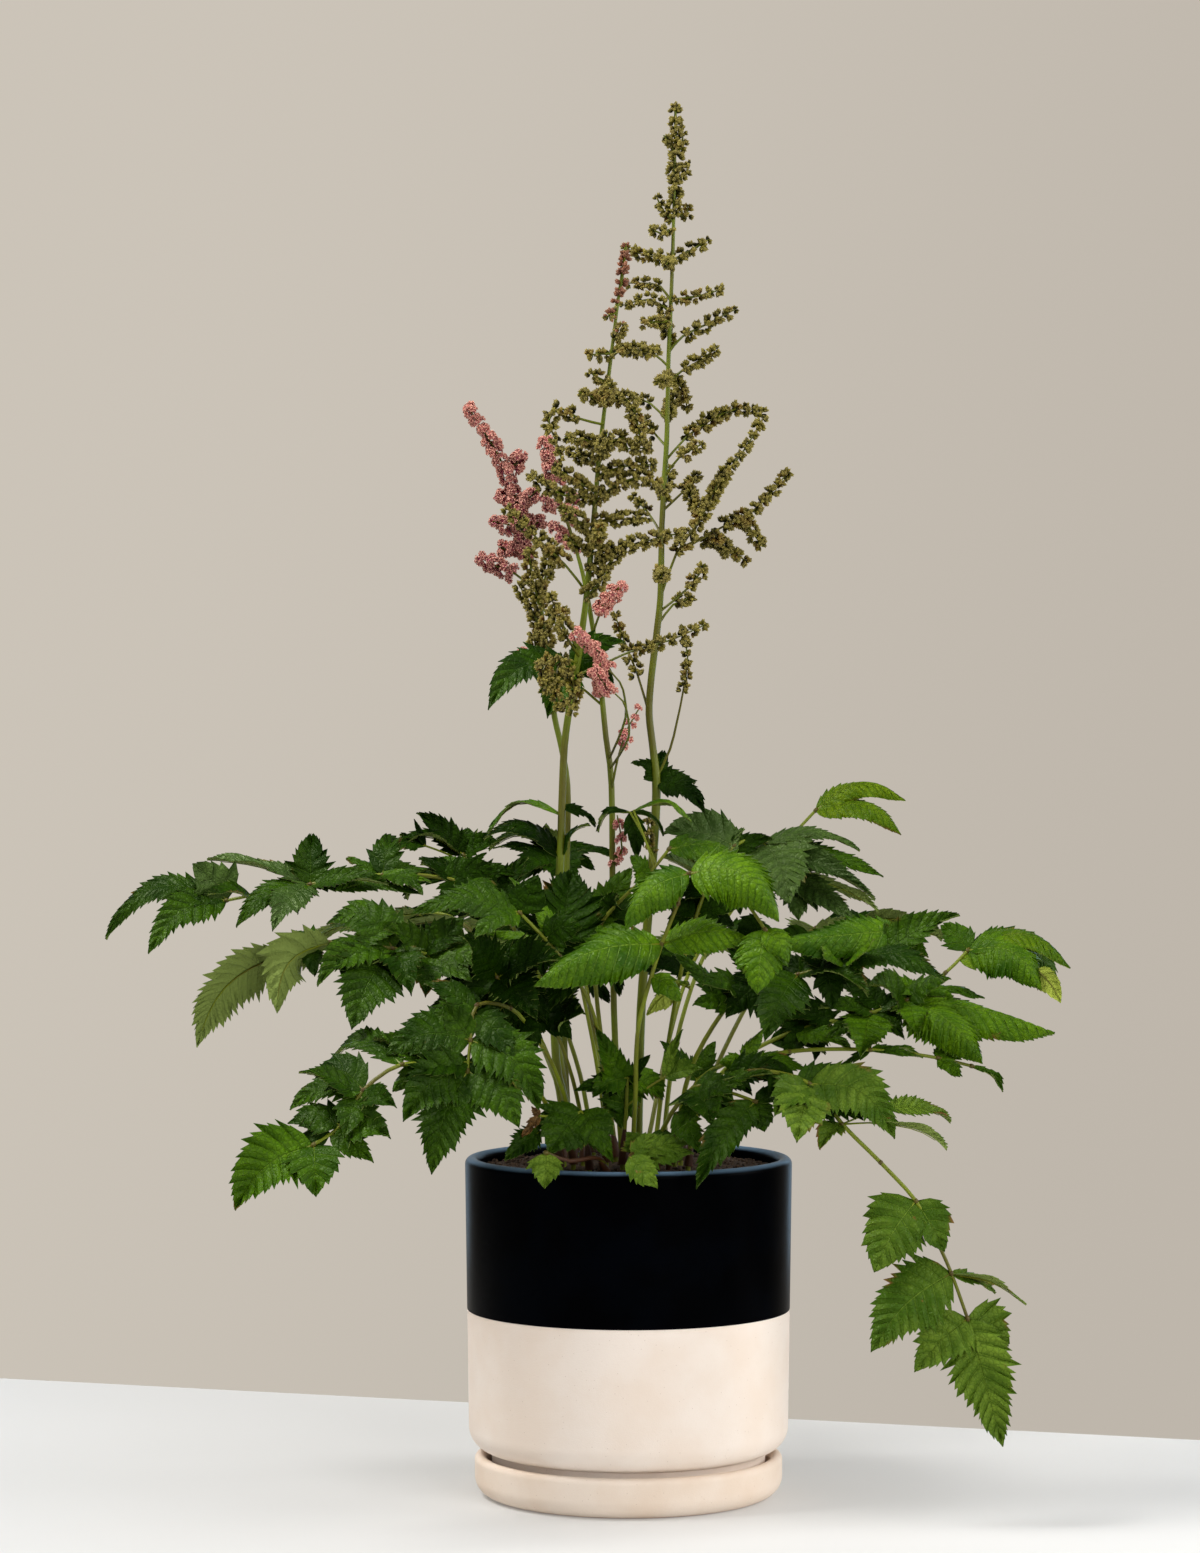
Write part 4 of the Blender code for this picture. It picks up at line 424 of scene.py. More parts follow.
# Sprigs that only the scene has, by frond or stalk: (place along the stem's nodes,
# leaflets (tip x, depth behind the base, z, width, facing, arch), tone unless it is the
# frond's own, end of the twig (x, depth behind the stem, z) where it has one)
SPRIGS = {
    "frond_left_high": (
        (5.0, ((-128, -22, 373, 16, 35, 3), (-150, -30, 380, 17, 40, 3),
               (-206, -18, 361, 14, 60, 2))),
        (4.1, ((-121, 8, 389, 12, 40, 2), (-123, -16, 381, 11, 45, 1), (-183, -12, 376, 14, 35, 2),
               (-176, 14, 396, 12, 30, 3)), Tone.MIDDLING),
        (5.7, ((-262, -24, 372, 17, 35, 3), (-205, -30, 366, 15, 45, 2))),
        (3.1, ((-130, 6, 396, 13, 30, 2), (-112, -30, 360, 17, 55, 2), (-88, 16, 398, 14, 40, 3)),
         Tone.SHADED),
        (2.2, ((-108, -12, 372, 15, 45, 2), (-60, -12, 372, 14, 50, 2)), Tone.SHADED)),
    "frond_left_top": (
        (3.6, ((-146, -10, 398, 13, 20, 4), (-133, 2, 419, 5, 70, 0), (-142, 6, 409, 7, 40, 1)),
         None, (-126, -12, 402)),
        (2.6, ((-128, 8, 395, 12, 35, 2), (-116, -14, 376, 15, 60, 2), (-66, -8, 386, 15, 55, 2))),
        (1.7, ((-104, -14, 362, 16, 55, 2), (-58, 6, 378, 16, 50, 2)), Tone.SHADED)),
    "frond_centre_back": (
        (2.0, ((-20, 8, 403, 9, 40, 2), (-64, -6, 414, 8, 35, 1), (-84, 4, 402, 9, 30, 3),
               (-20, -10, 388, 15, 50, 3), (-72, -12, 376, 15, 60, 2)), Tone.SHADED),
        (1.2, ((-62, -14, 350, 20, 60, 2), (-10, -8, 352, 18, 60, 2)), Tone.SHADED)),
    "stalk_leaning": (
        (2.38, ((-91, 6, 410, 17, 5, 14),), Tone.FRESH),
        (2.45, ((-20, 2, 414, 9, 40, 4),), Tone.SHADED)),
    "frond_left_mid": (
        (3.2, ((-152, -14, 351, 20, 55, 3), (-148, -26, 322, 17, 60, 2),
               (-98, -22, 318, 18, 60, 2))),
        (4.6, ((-178, -22, 318, 17, 60, 2), (-140, 6, 352, 16, 50, 2))),
        (5.4, ((-212, 8, 346, 16, 30, 6), (-196, -18, 322, 15, 60, 2))),
        (2.2, ((-118, -10, 300, 20, 65, 2), (-70, -14, 338, 18, 55, 3)), Tone.SHADED)),
    "frond_left_dark": (
        (2.0, ((-72, -22, 286, 22, 70, 2), (-66, 6, 345, 20, 55, 3), (-108, -14, 312, 20, 65, 2),
               (-52, -12, 312, 18, 65, 2)), Tone.SHADED),
        (1.3, ((-86, -18, 276, 20, 65, 2), (-36, -14, 283, 20, 65, 2), (-26, -8, 318, 18, 60, 3)),
         Tone.SHADED)),
    "frond_left_low": (
        (3.2, ((-128, 6, 318, 18, 45, 3), (-134, -10, 290, 20, 60, 3),
               (-72, -14, 270, 22, 65, 2))),
        (4.7, ((-140, 4, 258, 20, 60, 3), (-78, -6, 258, 20, 65, 2)), Tone.SHADED)),
    "frond_left_drooping": (
        (5.2, ((-206, -6, 262, 16, 35, 4), (-178, -20, 222, 20, 65, 2),
               (-146, -22, 240, 18, 60, 2)), Tone.DEEP),
        (3.4, ((-160, 6, 284, 16, 35, 3), (-112, -16, 244, 17, 60, 2),
               (-148, -14, 250, 16, 60, 2)), Tone.DEEP),
        (6.4, ((-214, 4, 212, 17, 55, 2), (-160, -12, 206, 17, 65, 2)), Tone.DEEP)),
    "frond_centre_curled": (
        (2.0, ((-74, 12, 384, 15, 15, 8), (-94, 8, 350, 12, 30, 5)), Tone.FRESH),
        (2.4, ((-30, -8, 352, 22, 70, 3), (-58, 14, 346, 20, 60, 3)), Tone.SHADED)),
    "frond_centre_small": (
        (3.3, ((41, 6, 419, 12, 0, 10),), Tone.FRESH, (3, 22, 424)),
        (3.4, ((5, -6, 393, 13, 80, 3), (-21, 4, 411, 6, 20, 7), (22, 8, 408, 6, 30, 6)),
         Tone.SHADED, (1, 30, 423)),
        (2.2, ((-26, 10, 366, 18, 60, 2), (30, 8, 366, 18, 60, 3), (-8, -10, 372, 14, 55, 2)),
         Tone.SHADED),
        (3.2, ((5, -14, 374, 13, 70, 2),))),
    "frond_centre_bright": (
        (1.6, ((32, -10, 306, 15, 60, 2),), Tone.FRESH),
        (5.9, ((68, 16, 340, 20, 70, 2),), Tone.SHADED)),
    "frond_right_high": (
        (2.5, ((72, 10, 414, 12, 25, 3), (40, 12, 398, 16, 40, 3), (74, -12, 378, 20, 60, 3))),
        (4.6, ((136, -8, 386, 16, 40, 3), (118, -14, 362, 20, 60, 2), (156, 4, 372, 10, 20, 4))),
        (1.6, ((66, 6, 352, 22, 60, 3), (24, 4, 348, 20, 60, 2), (72, -8, 366, 18, 60, 2)),
         Tone.SHADED),
        (0.8, ((10, -8, 297, 17, -50, 2), (38, -10, 318, 12, -40, 1)), Tone.YELLOWING)),
    "frond_right_quilted": (
        (4.4, ((150, 10, 352, 14, 45, 2), (186, -12, 333, 16, 40, 3)), Tone.MIDDLING),
        (2.6, ((150, 6, 330, 16, 45, 2), (104, 12, 342, 18, 45, 2), (126, -6, 300, 18, 60, 2)),
         Tone.SHADED),
        (1.4, ((100, 8, 330, 18, 50, 2), (60, 10, 340, 20, 60, 2), (60, -12, 296, 22, 65, 2),
               (96, -4, 290, 20, 60, 2)), Tone.SHADED),
        (0.8, ((26, 4, 338, 13, 50, 2), (40, -10, 304, 16, 60, 2), (80, 6, 318, 16, 50, 2)),
         Tone.DEEP)),
    "frond_right_far": (
        (3.1, ((118, -8, 302, 15, 45, 2), (172, -12, 283, 12, 45, 2), (122, -16, 282, 14, 55, 2),
               (178, 8, 310, 14, 35, 3)), Tone.DEEP),
        (4.3, ((206, -6, 294, 17, 45, 3), (222, 10, 308, 15, 25, 4), (154, 6, 320, 15, 40, 2))),
        (2.2, ((132, 4, 300, 15, 40, 2), (96, -10, 268, 14, 55, 2), (78, 6, 300, 16, 50, 2)),
         Tone.SHADED),
        (5.6, ((234, -8, 326, 15, 45, 4),), Tone.YELLOWING),
        (6.0, ((269, -8, 304, 15, -65, 2),), Tone.YELLOWING, (254, -20, 325))),
    "frond_right_thin": (
        (3.0, ((183, -6, 272, 7, 30, 1), (135, -4, 286, 10, 40, 1), (127, 6, 262, 8, 40, 1)),
         Tone.DEEP),
        (1.3, ((84, 6, 290, 10, 40, 2), (56, -6, 268, 12, 55, 2)), Tone.FRESH)),
    "frond_right_drooping": (
        (2.7, ((150, 6, 252, 20, 45, 4), (128, -14, 230, 17, 60, 2), (92, -8, 246, 18, 55, 2)),
         Tone.DEEP),
        (3.5, ((168, -6, 230, 17, 60, 3), (148, 8, 244, 16, 50, 3), (106, -6, 226, 15, 60, 2)),
         Tone.DEEP)),
    "frond_low_left": (
        (0.6, ((-40, -14, 214, 18, 65, 2), (-10, -12, 206, 15, 60, 1)), Tone.MIDDLING),
        (0.3, ((-67, -4, 221, 7, 50, 0), (-61, 2, 240, 5, 70, 0)),
         Tone.WITHERED, (-56, -14, 234))),
    "frond_low_centre": (
        (0.8, ((12, -10, 272, 10, 55, 1), (-34, -8, 250, 15, 60, 2)), Tone.SHADED),
        (0.2, ((46, -6, 263, 14, 55, 2), (33, 0, 288, 8, 60, 1)), Tone.SPOTTED, (22, 4, 258))),
    "frond_low_right": (
        (1.3, ((60, -12, 232, 18, 65, 2), (30, -14, 226, 16, 65, 2), (88, 10, 262, 12, 45, 2))),
        (0.4, ((44, -14, 212, 18, 60, 2),), Tone.MIDDLING)),
    "runner_right": (
        (0.6, ((17, 6, 223, 12, 60, 1), (42, 10, 219, 14, 60, 2)), Tone.SPOTTED),),
}

# Filling leaflets by rule, in the painted-shade tone: frond, first and last place along its nodes,
# how many
FILLED = (("frond_left_dark", 1.2, 2.0, 7), ("frond_left_mid", 1.4, 3.4, 6),
          ("frond_left_high", 1.6, 3.6, 6), ("frond_centre_curled", 1.0, 2.6, 5),
          ("frond_centre_back", 0.8, 1.8, 5), ("frond_centre_small", 0.8, 2.4, 5),
          ("frond_right_high", 0.8, 2.8, 7), ("frond_right_quilted", 0.8, 3.0, 7),
          ("frond_right_far", 1.0, 3.4, 7), ("frond_left_low", 1.4, 3.4, 5),
          ("frond_right_drooping", 1.0, 2.8, 4), ("frond_left_drooping", 1.6, 3.6, 4),
          ("frond_back_left", 1.0, 4.0, 6), ("frond_back_right", 1.0, 4.0, 6),
          ("frond_back_inner_left", 1.0, 4.0, 6), ("frond_back_inner_right", 1.0, 4.0, 6))
FILL_SEED = 23

# Stems that are dark brown near the soil: how dark, and the height where it ends
DARK_STEMS = {
    "stalk_tall": (1.0, 440.0),
    "frond_left_low": (1.0, 262.0),
    "frond_left_dark": (0.8, 270.0),
    "frond_left_drooping": (0.9, 256.0),
    "frond_right_far": (0.9, 285.0),
    "frond_right_drooping": (0.8, 258.0),
    "frond_left_high": (0.5, 300.0),
}

# Leaflets that differ in tone from their frond, by number, and fronds that aren't deep
# green
LEAFLET_TONES = {
    "frond_right_quilted": {0: Tone.FRESH, 2: Tone.FRESH, 3: Tone.FRESH, 7: Tone.SHADED},
    "stalk_leaning": {2: Tone.DEEP, 3: Tone.MIDDLING},
    "frond_left_drooping": {0: Tone.MIDDLING, 1: Tone.MIDDLING},
    "frond_right_high": {4: Tone.MIDDLING, 7: Tone.MIDDLING},
    "frond_right_far": {1: Tone.YELLOWING, 2: Tone.FRESH, 4: Tone.DEEP, 5: Tone.DEEP,
                        7: Tone.FRESH, 8: Tone.FRESH},
    "frond_left_high": {2: Tone.GREYISH, 3: Tone.GREYISH, 5: Tone.GREYISH},
    "frond_centre_curled": {0: Tone.DEEP, 1: Tone.DEEP},
    "frond_centre_small": {0: Tone.FRESH},
}
FROND_TONES = {
    "frond_left_top": Tone.SHADED,
    "frond_centre_back": Tone.SHADED,
    "frond_left_dark": Tone.SHADED,
    "frond_centre_curled": Tone.SHADED,
    "frond_centre_bright": Tone.FRESH,
    "frond_centre_small": Tone.MIDDLING,
    "frond_right_far": Tone.MIDDLING,
    "frond_right_thin": Tone.MIDDLING,
    "frond_low_centre": Tone.MIDDLING,
    "frond_right_high": Tone.GREYISH,
    "frond_right_pair": Tone.YELLOWING,
    "frond_right_drooping": Tone.SPOTTED,
    "runner_left": Tone.SPOTTED,
    "runner_right": Tone.SPOTTED,
}


def seen(x: float, y: float, z: float) -> Vector:
    """Turns a layout point, as seen in the axis plane, into its place in metres."""
    reach = 1 + y / VIEW_DISTANCE
    return Vector((x * reach, y, EYE_HEIGHT + (z - EYE_HEIGHT) * reach)) * MM


def plain_point(x: float, y: float, z: float) -> tuple[float, float, float]:
    """Turns a place in space, in millimetres, into a layout point."""
    reach = 1 + y / VIEW_DISTANCE
    return x / reach, y, EYE_HEIGHT + (z - EYE_HEIGHT) / reach


def across(vector: Vector, direction: Vector) -> Vector:
    """Gives the unit part of a vector that is square to a direction.

    Args:
        vector: Any vector.
        direction: A unit vector.

    Returns:
        A unit vector square to direction.
    """
    part = vector - direction * vector.dot(direction)
    if part.length < 1e-6:
        part = Vector((0, 1, 0)) - direction * direction.y
    return part.normalized()


def smooth_path(points: Sequence[Vector]) -> list[Vector]:
    """Adds a point on a smooth curve between each pair of far points.

    Args:
        points: The path's points.

    Returns:
        The path with the points between.
    """
    path = [points[0]]
    for i in range(1, len(points)):
        if (points[i] - points[i - 1]).length < SHORT_STRETCH * MM:
            path.append(points[i])
            continue
        before = points[max(i - 2, 0)]
        after = points[min(i + 1, len(points) - 1)]
        path.append((points[i - 1] + points[i]) * 0.5625 - (before + after) * 0.0625)
        path.append(points[i])
    return path


def rounded_path(points: Sequence[Vector], steps: int) -> list[Vector]:
    """Rounds a path off with a curve through all of its points.

    Args:
        points: The path's points.
        steps: Stretches between each pair of points.

    Returns:
        The finer path, ends kept.
    """
    path = [points[0]]
    for i in range(len(points) - 1):
        a = points[max(i - 1, 0)]
        b, c = points[i], points[i + 1]
        d = points[min(i + 2, len(points) - 1)]
        for k in range(1, steps + 1):
            t = k / steps
            path.append(0.5 * (2 * b + (c - a) * t + (2 * a - 5 * b + 4 * c - d) * t * t
                               + (3 * b - a - 3 * c + d) * t ** 3))
    return path


def spread(values: Sequence[float], steps: int) -> list[float]:
    """Fills in values at even steps between each pair, to go with rounded_path."""
    filled = [values[0]]
    for a, b in zip(values, values[1:]):
        filled += [a + (b - a) * k / steps for k in range(1, steps + 1)]
    return filled


@dataclass
class Leaflet:
    """A leaflet's midrib, width and facing, worked out from base and tip."""

    base: Vector
    tip: Vector
    width: float
    facing: float
    arch: float
    front: Vector
    tone: Tone | None = None
    bare: float = 0.0
    chord: Vector = field(init=False)
    lift: Vector = field(init=False)
    face: Vector = field(init=False)

    def __post_init__(self) -> None:
        """Works out the chord, the arch's direction and the upper side's direction."""
        self.chord = self.tip - self.base
        self.lift = across(Vector((0, 0, 1)), self.chord.normalized()) * self.arch * MM
        turn = math.radians(self.facing)
        self.face = Vector((0, 0, 1)) * math.cos(turn) + self.front * math.sin(turn)

    @property
    def length(self) -> float:
        """Length from base to tip, in metres."""
        return self.chord.length

    def midrib(self, s: float) -> Vector:
        """Point on the midrib at the share s of its length."""
        return self.base + self.chord * s + self.lift * math.sin(math.pi * s)

    def frame_at(self, s: float) -> tuple[Vector, Vector]:
        """Sideways and outward directions of the blade at the share s."""
        along = (self.chord + self.lift * math.pi * math.cos(math.pi * s)).normalized()
        normal = across(self.face, along)
        return along.cross(normal), normal

    def half_width(self, s: float) -> float:
        """Half of the blade's width at the share s, in metres.

        Args:
            s: Share of the leaflet's length.

        Returns:
            The half width, smallest at the base.
        """
        t = (s - self.bare) / (1 - self.bare)
        if t <= 0:
            return BASE_HALF_WIDTH * MM
        blade = math.sin(math.pi * min(t, 1) ** 0.62) ** 0.9 * self.width * MM / 2
        return max(blade, BASE_HALF_WIDTH * MM * (1 - t))


@dataclass
class Stem:
    """A stem's centre line with its radii in millimetres, and its nodes."""

    points: list[Vector]
    radii: list[float]
    bends: list[Vector]
    shift: float = 0.0
    twigs: list[list[Vector]] = field(default_factory=list)

    def place_at(self, node: float) -> Vector:
        """Point of the centre line next to a place between two of its nodes.

        Args:
            node: Number of a node, with the share of the way to the next.

        Returns:
            The point in metres.
        """
        i = min(int(node), len(self.bends) - 2)
        aim = self.bends[i].lerp(self.bends[i + 1], node - i)
        best = self.points[0]
        for a, b in zip(self.points, self.points[1:]):
            share = (aim - a).dot(b - a) / (b - a).length_squared
            spot = a.lerp(b, min(max(share, 0), 1))
            if (spot - aim).length < (best - aim).length:
                best = spot
        return best

    def shell(self) -> Shell:
        """Envelope of the stem, without the stretch that stands in the soil."""
        above = [i for i, p in enumerate(self.points)
                 if p.z / MM > POT_RIM_TOP or not in_pottery(p)]
        first = above[0] if above else 0
        return tube_envelope(self.points[first:], self.radii[first:])


@dataclass
class Raceme:
    """A side branch of a flower stalk."""

    radius: float
    first: int
    points: list[Vector]


def ring_faces(rings: int, sides: int) -> list[tuple[int, ...]]:
    """Faces of a tube of rings with the same number of corners, ends closed.

    Args:
        rings: How many rings.
        sides: Corners of each ring.

    Returns:
        The faces as corner numbers.
    """
    faces: list[tuple[int, ...]] = []
    for i in range(rings - 1):
        for k in range(sides):
            a = i * sides + k
            b = i * sides + (k + 1) % sides
            faces.append((a, b, b + sides, a + sides))
    faces.append(tuple(range(sides)))
    faces.append(tuple(range((rings - 1) * sides, rings * sides)))
    return faces


def leaf_envelope(leaflet: Leaflet) -> Shell:
    """Simple closed shell a clearance larger than a blade, for clearing.

    Args:
        leaflet: The blade's layout.

    Returns:
        The shell's corners and faces.
    """
    pad = CLEARANCE * MM
    tops = []
    for s in (0.12, 0.3, 0.5, 0.72, 1.0):
        sideways, normal = leaflet.frame_at(s)
        half = leaflet.half_width(s) * 1.12 + pad
        middle = leaflet.midrib(s)
        if s == 1.0:
            middle = middle + leaflet.chord.normalized() * pad
        tops.append((middle - sideways * half, middle, middle + sideways * half, normal))
    verts = []
    for left, middle, right, normal in tops:
        for point in (left, middle, right):
            verts.append(point + normal * pad)
        for point in (right, middle, left):
            verts.append(point - normal * (pad + LEAF_THICKNESS * MM))
    return verts, ring_faces(len(tops), 6)


def tube_envelope(points: Sequence[Vector], radii: Sequence[float]) -> Shell:
    """Simple square tube round a path, a clearance larger than the stem.

    Args:
        points: The path.
        radii: The stem's radii in millimetres.

    Returns:
        The shell's corners and faces.
    """
    verts = []
    for i, point in enumerate(points):
        ahead = points[min(i + 1, len(points) - 1)] - points[max(i - 1, 0)]
        along = ahead.normalized()
        up = across(Vector((0.3, 0.2, 1)), along)
        side = along.cross(up)
        reach = (radii[i] + CLEARANCE) * MM
        for right, rise in ((1, 1), (-1, 1), (-1, -1), (1, -1)):
            verts.append(point + (side * right + up * rise) * reach)
    return verts, ring_faces(len(points), 4)


def mesh_from(bm: bmesh.types.BMesh, name: str) -> Mesh:
    """Turns a bmesh into a mesh and frees it."""
    mesh = bpy.data.meshes.new(name)
    bm.to_mesh(mesh)
    bm.free()
    return mesh


def soil_top(radius: float) -> float:
    """Height of the soil's surface at a radius, both in millimetres."""
    share = min(radius / (POT_RIM_RADIUS - POT_WALL), 1)
    return SOIL_EDGE_TOP + SOIL_MOUND * (1 - share * share)


def in_pottery(point: Vector) -> bool:
    """True inside the pot's wall or the soil, with a clearance.

    Args:
        point: Any place, in metres.

    Returns:
        Whether it lies inside.
    """
    radius = math.hypot(point.x, point.y) / MM
    height = point.z / MM
    if radius > POT_RIM_RADIUS + CLEARANCE or height > POT_RIM_TOP + CLEARANCE:
        return False
    inner = POT_RIM_RADIUS - POT_WALL - CLEARANCE
    return radius > inner or height < soil_top(radius) + CLEARANCE


def box_of(points: Sequence[Vector]) -> tuple[list[float], list[float]]:
    """Lowest and highest corner of a box round points."""
    return ([min(p[i] for p in points) for i in range(3)],
            [max(p[i] for p in points) for i in range(3)])


@dataclass
class Keeper:
    """Remembers what is already placed, and says whether a new shell clears it."""

    kept: list[tuple[str, list[float], list[float], BVHTree]] = field(default_factory=list)

    def clears(self, owner: str, shell: Shell) -> bool:
        """Tests a shell against all other nodes, the pot and the soil.

        Args:
            owner: Node that the shell belongs to.
            shell: Corners and faces of the envelope.

        Returns:
            True when it meets nothing that isn't its own node's.
        """
        if any(in_pottery(v) for v in shell[0]):
            return False
        low, high = box_of(shell[0])
        tree = None
        for name, other_low, other_high, other in self.kept:
            apart = any(low[i] > other_high[i] or high[i] < other_low[i] for i in range(3))
            if name == owner or apart:
                continue
            tree = tree or BVHTree.FromPolygons(*shell)
            if tree.overlap(other):
                return False
        return True

    def keep(self, owner: str, shell: Shell) -> None:
        """Adds a placed shell to what others have to clear."""
        self.kept.append((owner, *box_of(shell[0]), BVHTree.FromPolygons(*shell)))


def signed(steps: Iterable[float]) -> list[float]:
    """Gives 0, then each step with both signs."""
    values: list[float] = [0]
    for step in steps:
        values += [step, -step]
    return values


SHIFTS = signed((3, 6, 9, 12, 16, 20, 25))
TIP_MOVES = [(dy, turn, size)
             for size in (1.0, 0.8, 0.6)
             for turn in (0, 14, -14, 28)
             for dy in signed((5, 10, 16, 22, 30, 38))]
TIP_MOVES.sort(key=lambda m: abs(m[0]) + abs(m[1]) * 0.6 + (1 - m[2]) * 90)


def leaned(name: str, foot: tuple, lean: float, nodes: tuple, leaflets: tuple) -> tuple:
    """Moves a frond's nodes and leaflet tips deeper along its length.

    Args:
        name: Node name.
        foot: Place in the soil.
        lean: How much deeper its end lies.
        nodes: Layout points of its stem.
        leaflets: Its leaflets as the table has them.

    Returns:
        The frond, with the direction that its leaflets face.
    """
    share = [(i + 1) / len(nodes) for i in range(len(nodes))]
    nodes = tuple((x, y + lean * share[i], z) for i, (x, y, z) in enumerate(nodes))
    leaflets = tuple((n, x, y + lean * share[n], *rest) for n, x, y, *rest in leaflets)
    return name, foot, nodes, leaflets, FRONT


def back_frond(name: str, foot: tuple, heading: float, reach: float, height: float,
               rng: random.Random) -> tuple:
    """Lays a far-side frond out by rule.

    Args:
        name: Node name.
        foot: Place in the soil.
        heading: Direction from the pot's axis, in degrees.
        reach: How far the frond goes outwards.
        height: Its highest point.
        rng: Seeded draws.

    Returns:
        The frond in the same form as the listed ones.
    """
    turn = math.radians(heading)
    out = Vector((math.cos(turn), math.sin(turn), 0))
    side = Vector((-out.y, out.x, 0))
    start = Vector((*foot, 0))
    nodes = []
    for share, rise in BACK_STEPS:
        spot = start + out * reach * share
        nodes.append((spot.x, spot.y, POT_RIM_TOP + (height - POT_RIM_TOP) * rise))
    leaflets = []
    for node, pairs in ((2, (1, -1)), (3, (1, -1)), (4, (0, 0.8))):
        for lean in pairs:
            length = BACK_LEAFLET_LENGTH * rng.uniform(0.85, 1.1)
            way = (out * (1.2 - abs(lean) * 0.6) + side * lean).normalized()
            tip = Vector(nodes[node]) + way * length
            tip.z -= length * rng.uniform(0.15, 0.4)
            width = length * rng.uniform(0.4, 0.5)
            leaflets.append((node, *plain_point(*tip), width, rng.uniform(10, 40),
                             rng.uniform(3, 8)))
    return name, foot, tuple(plain_point(*node) for node in nodes), tuple(leaflets), out


def all_fronds() -> list[tuple]:
    """Every frond as (name, foot, nodes, leaflets, front direction)."""
    rng = random.Random(BACK_SEED)
    return [leaned(*spec) for spec in FRONDS] + [back_frond(*spec, rng) for spec in BACK_FRONDS]


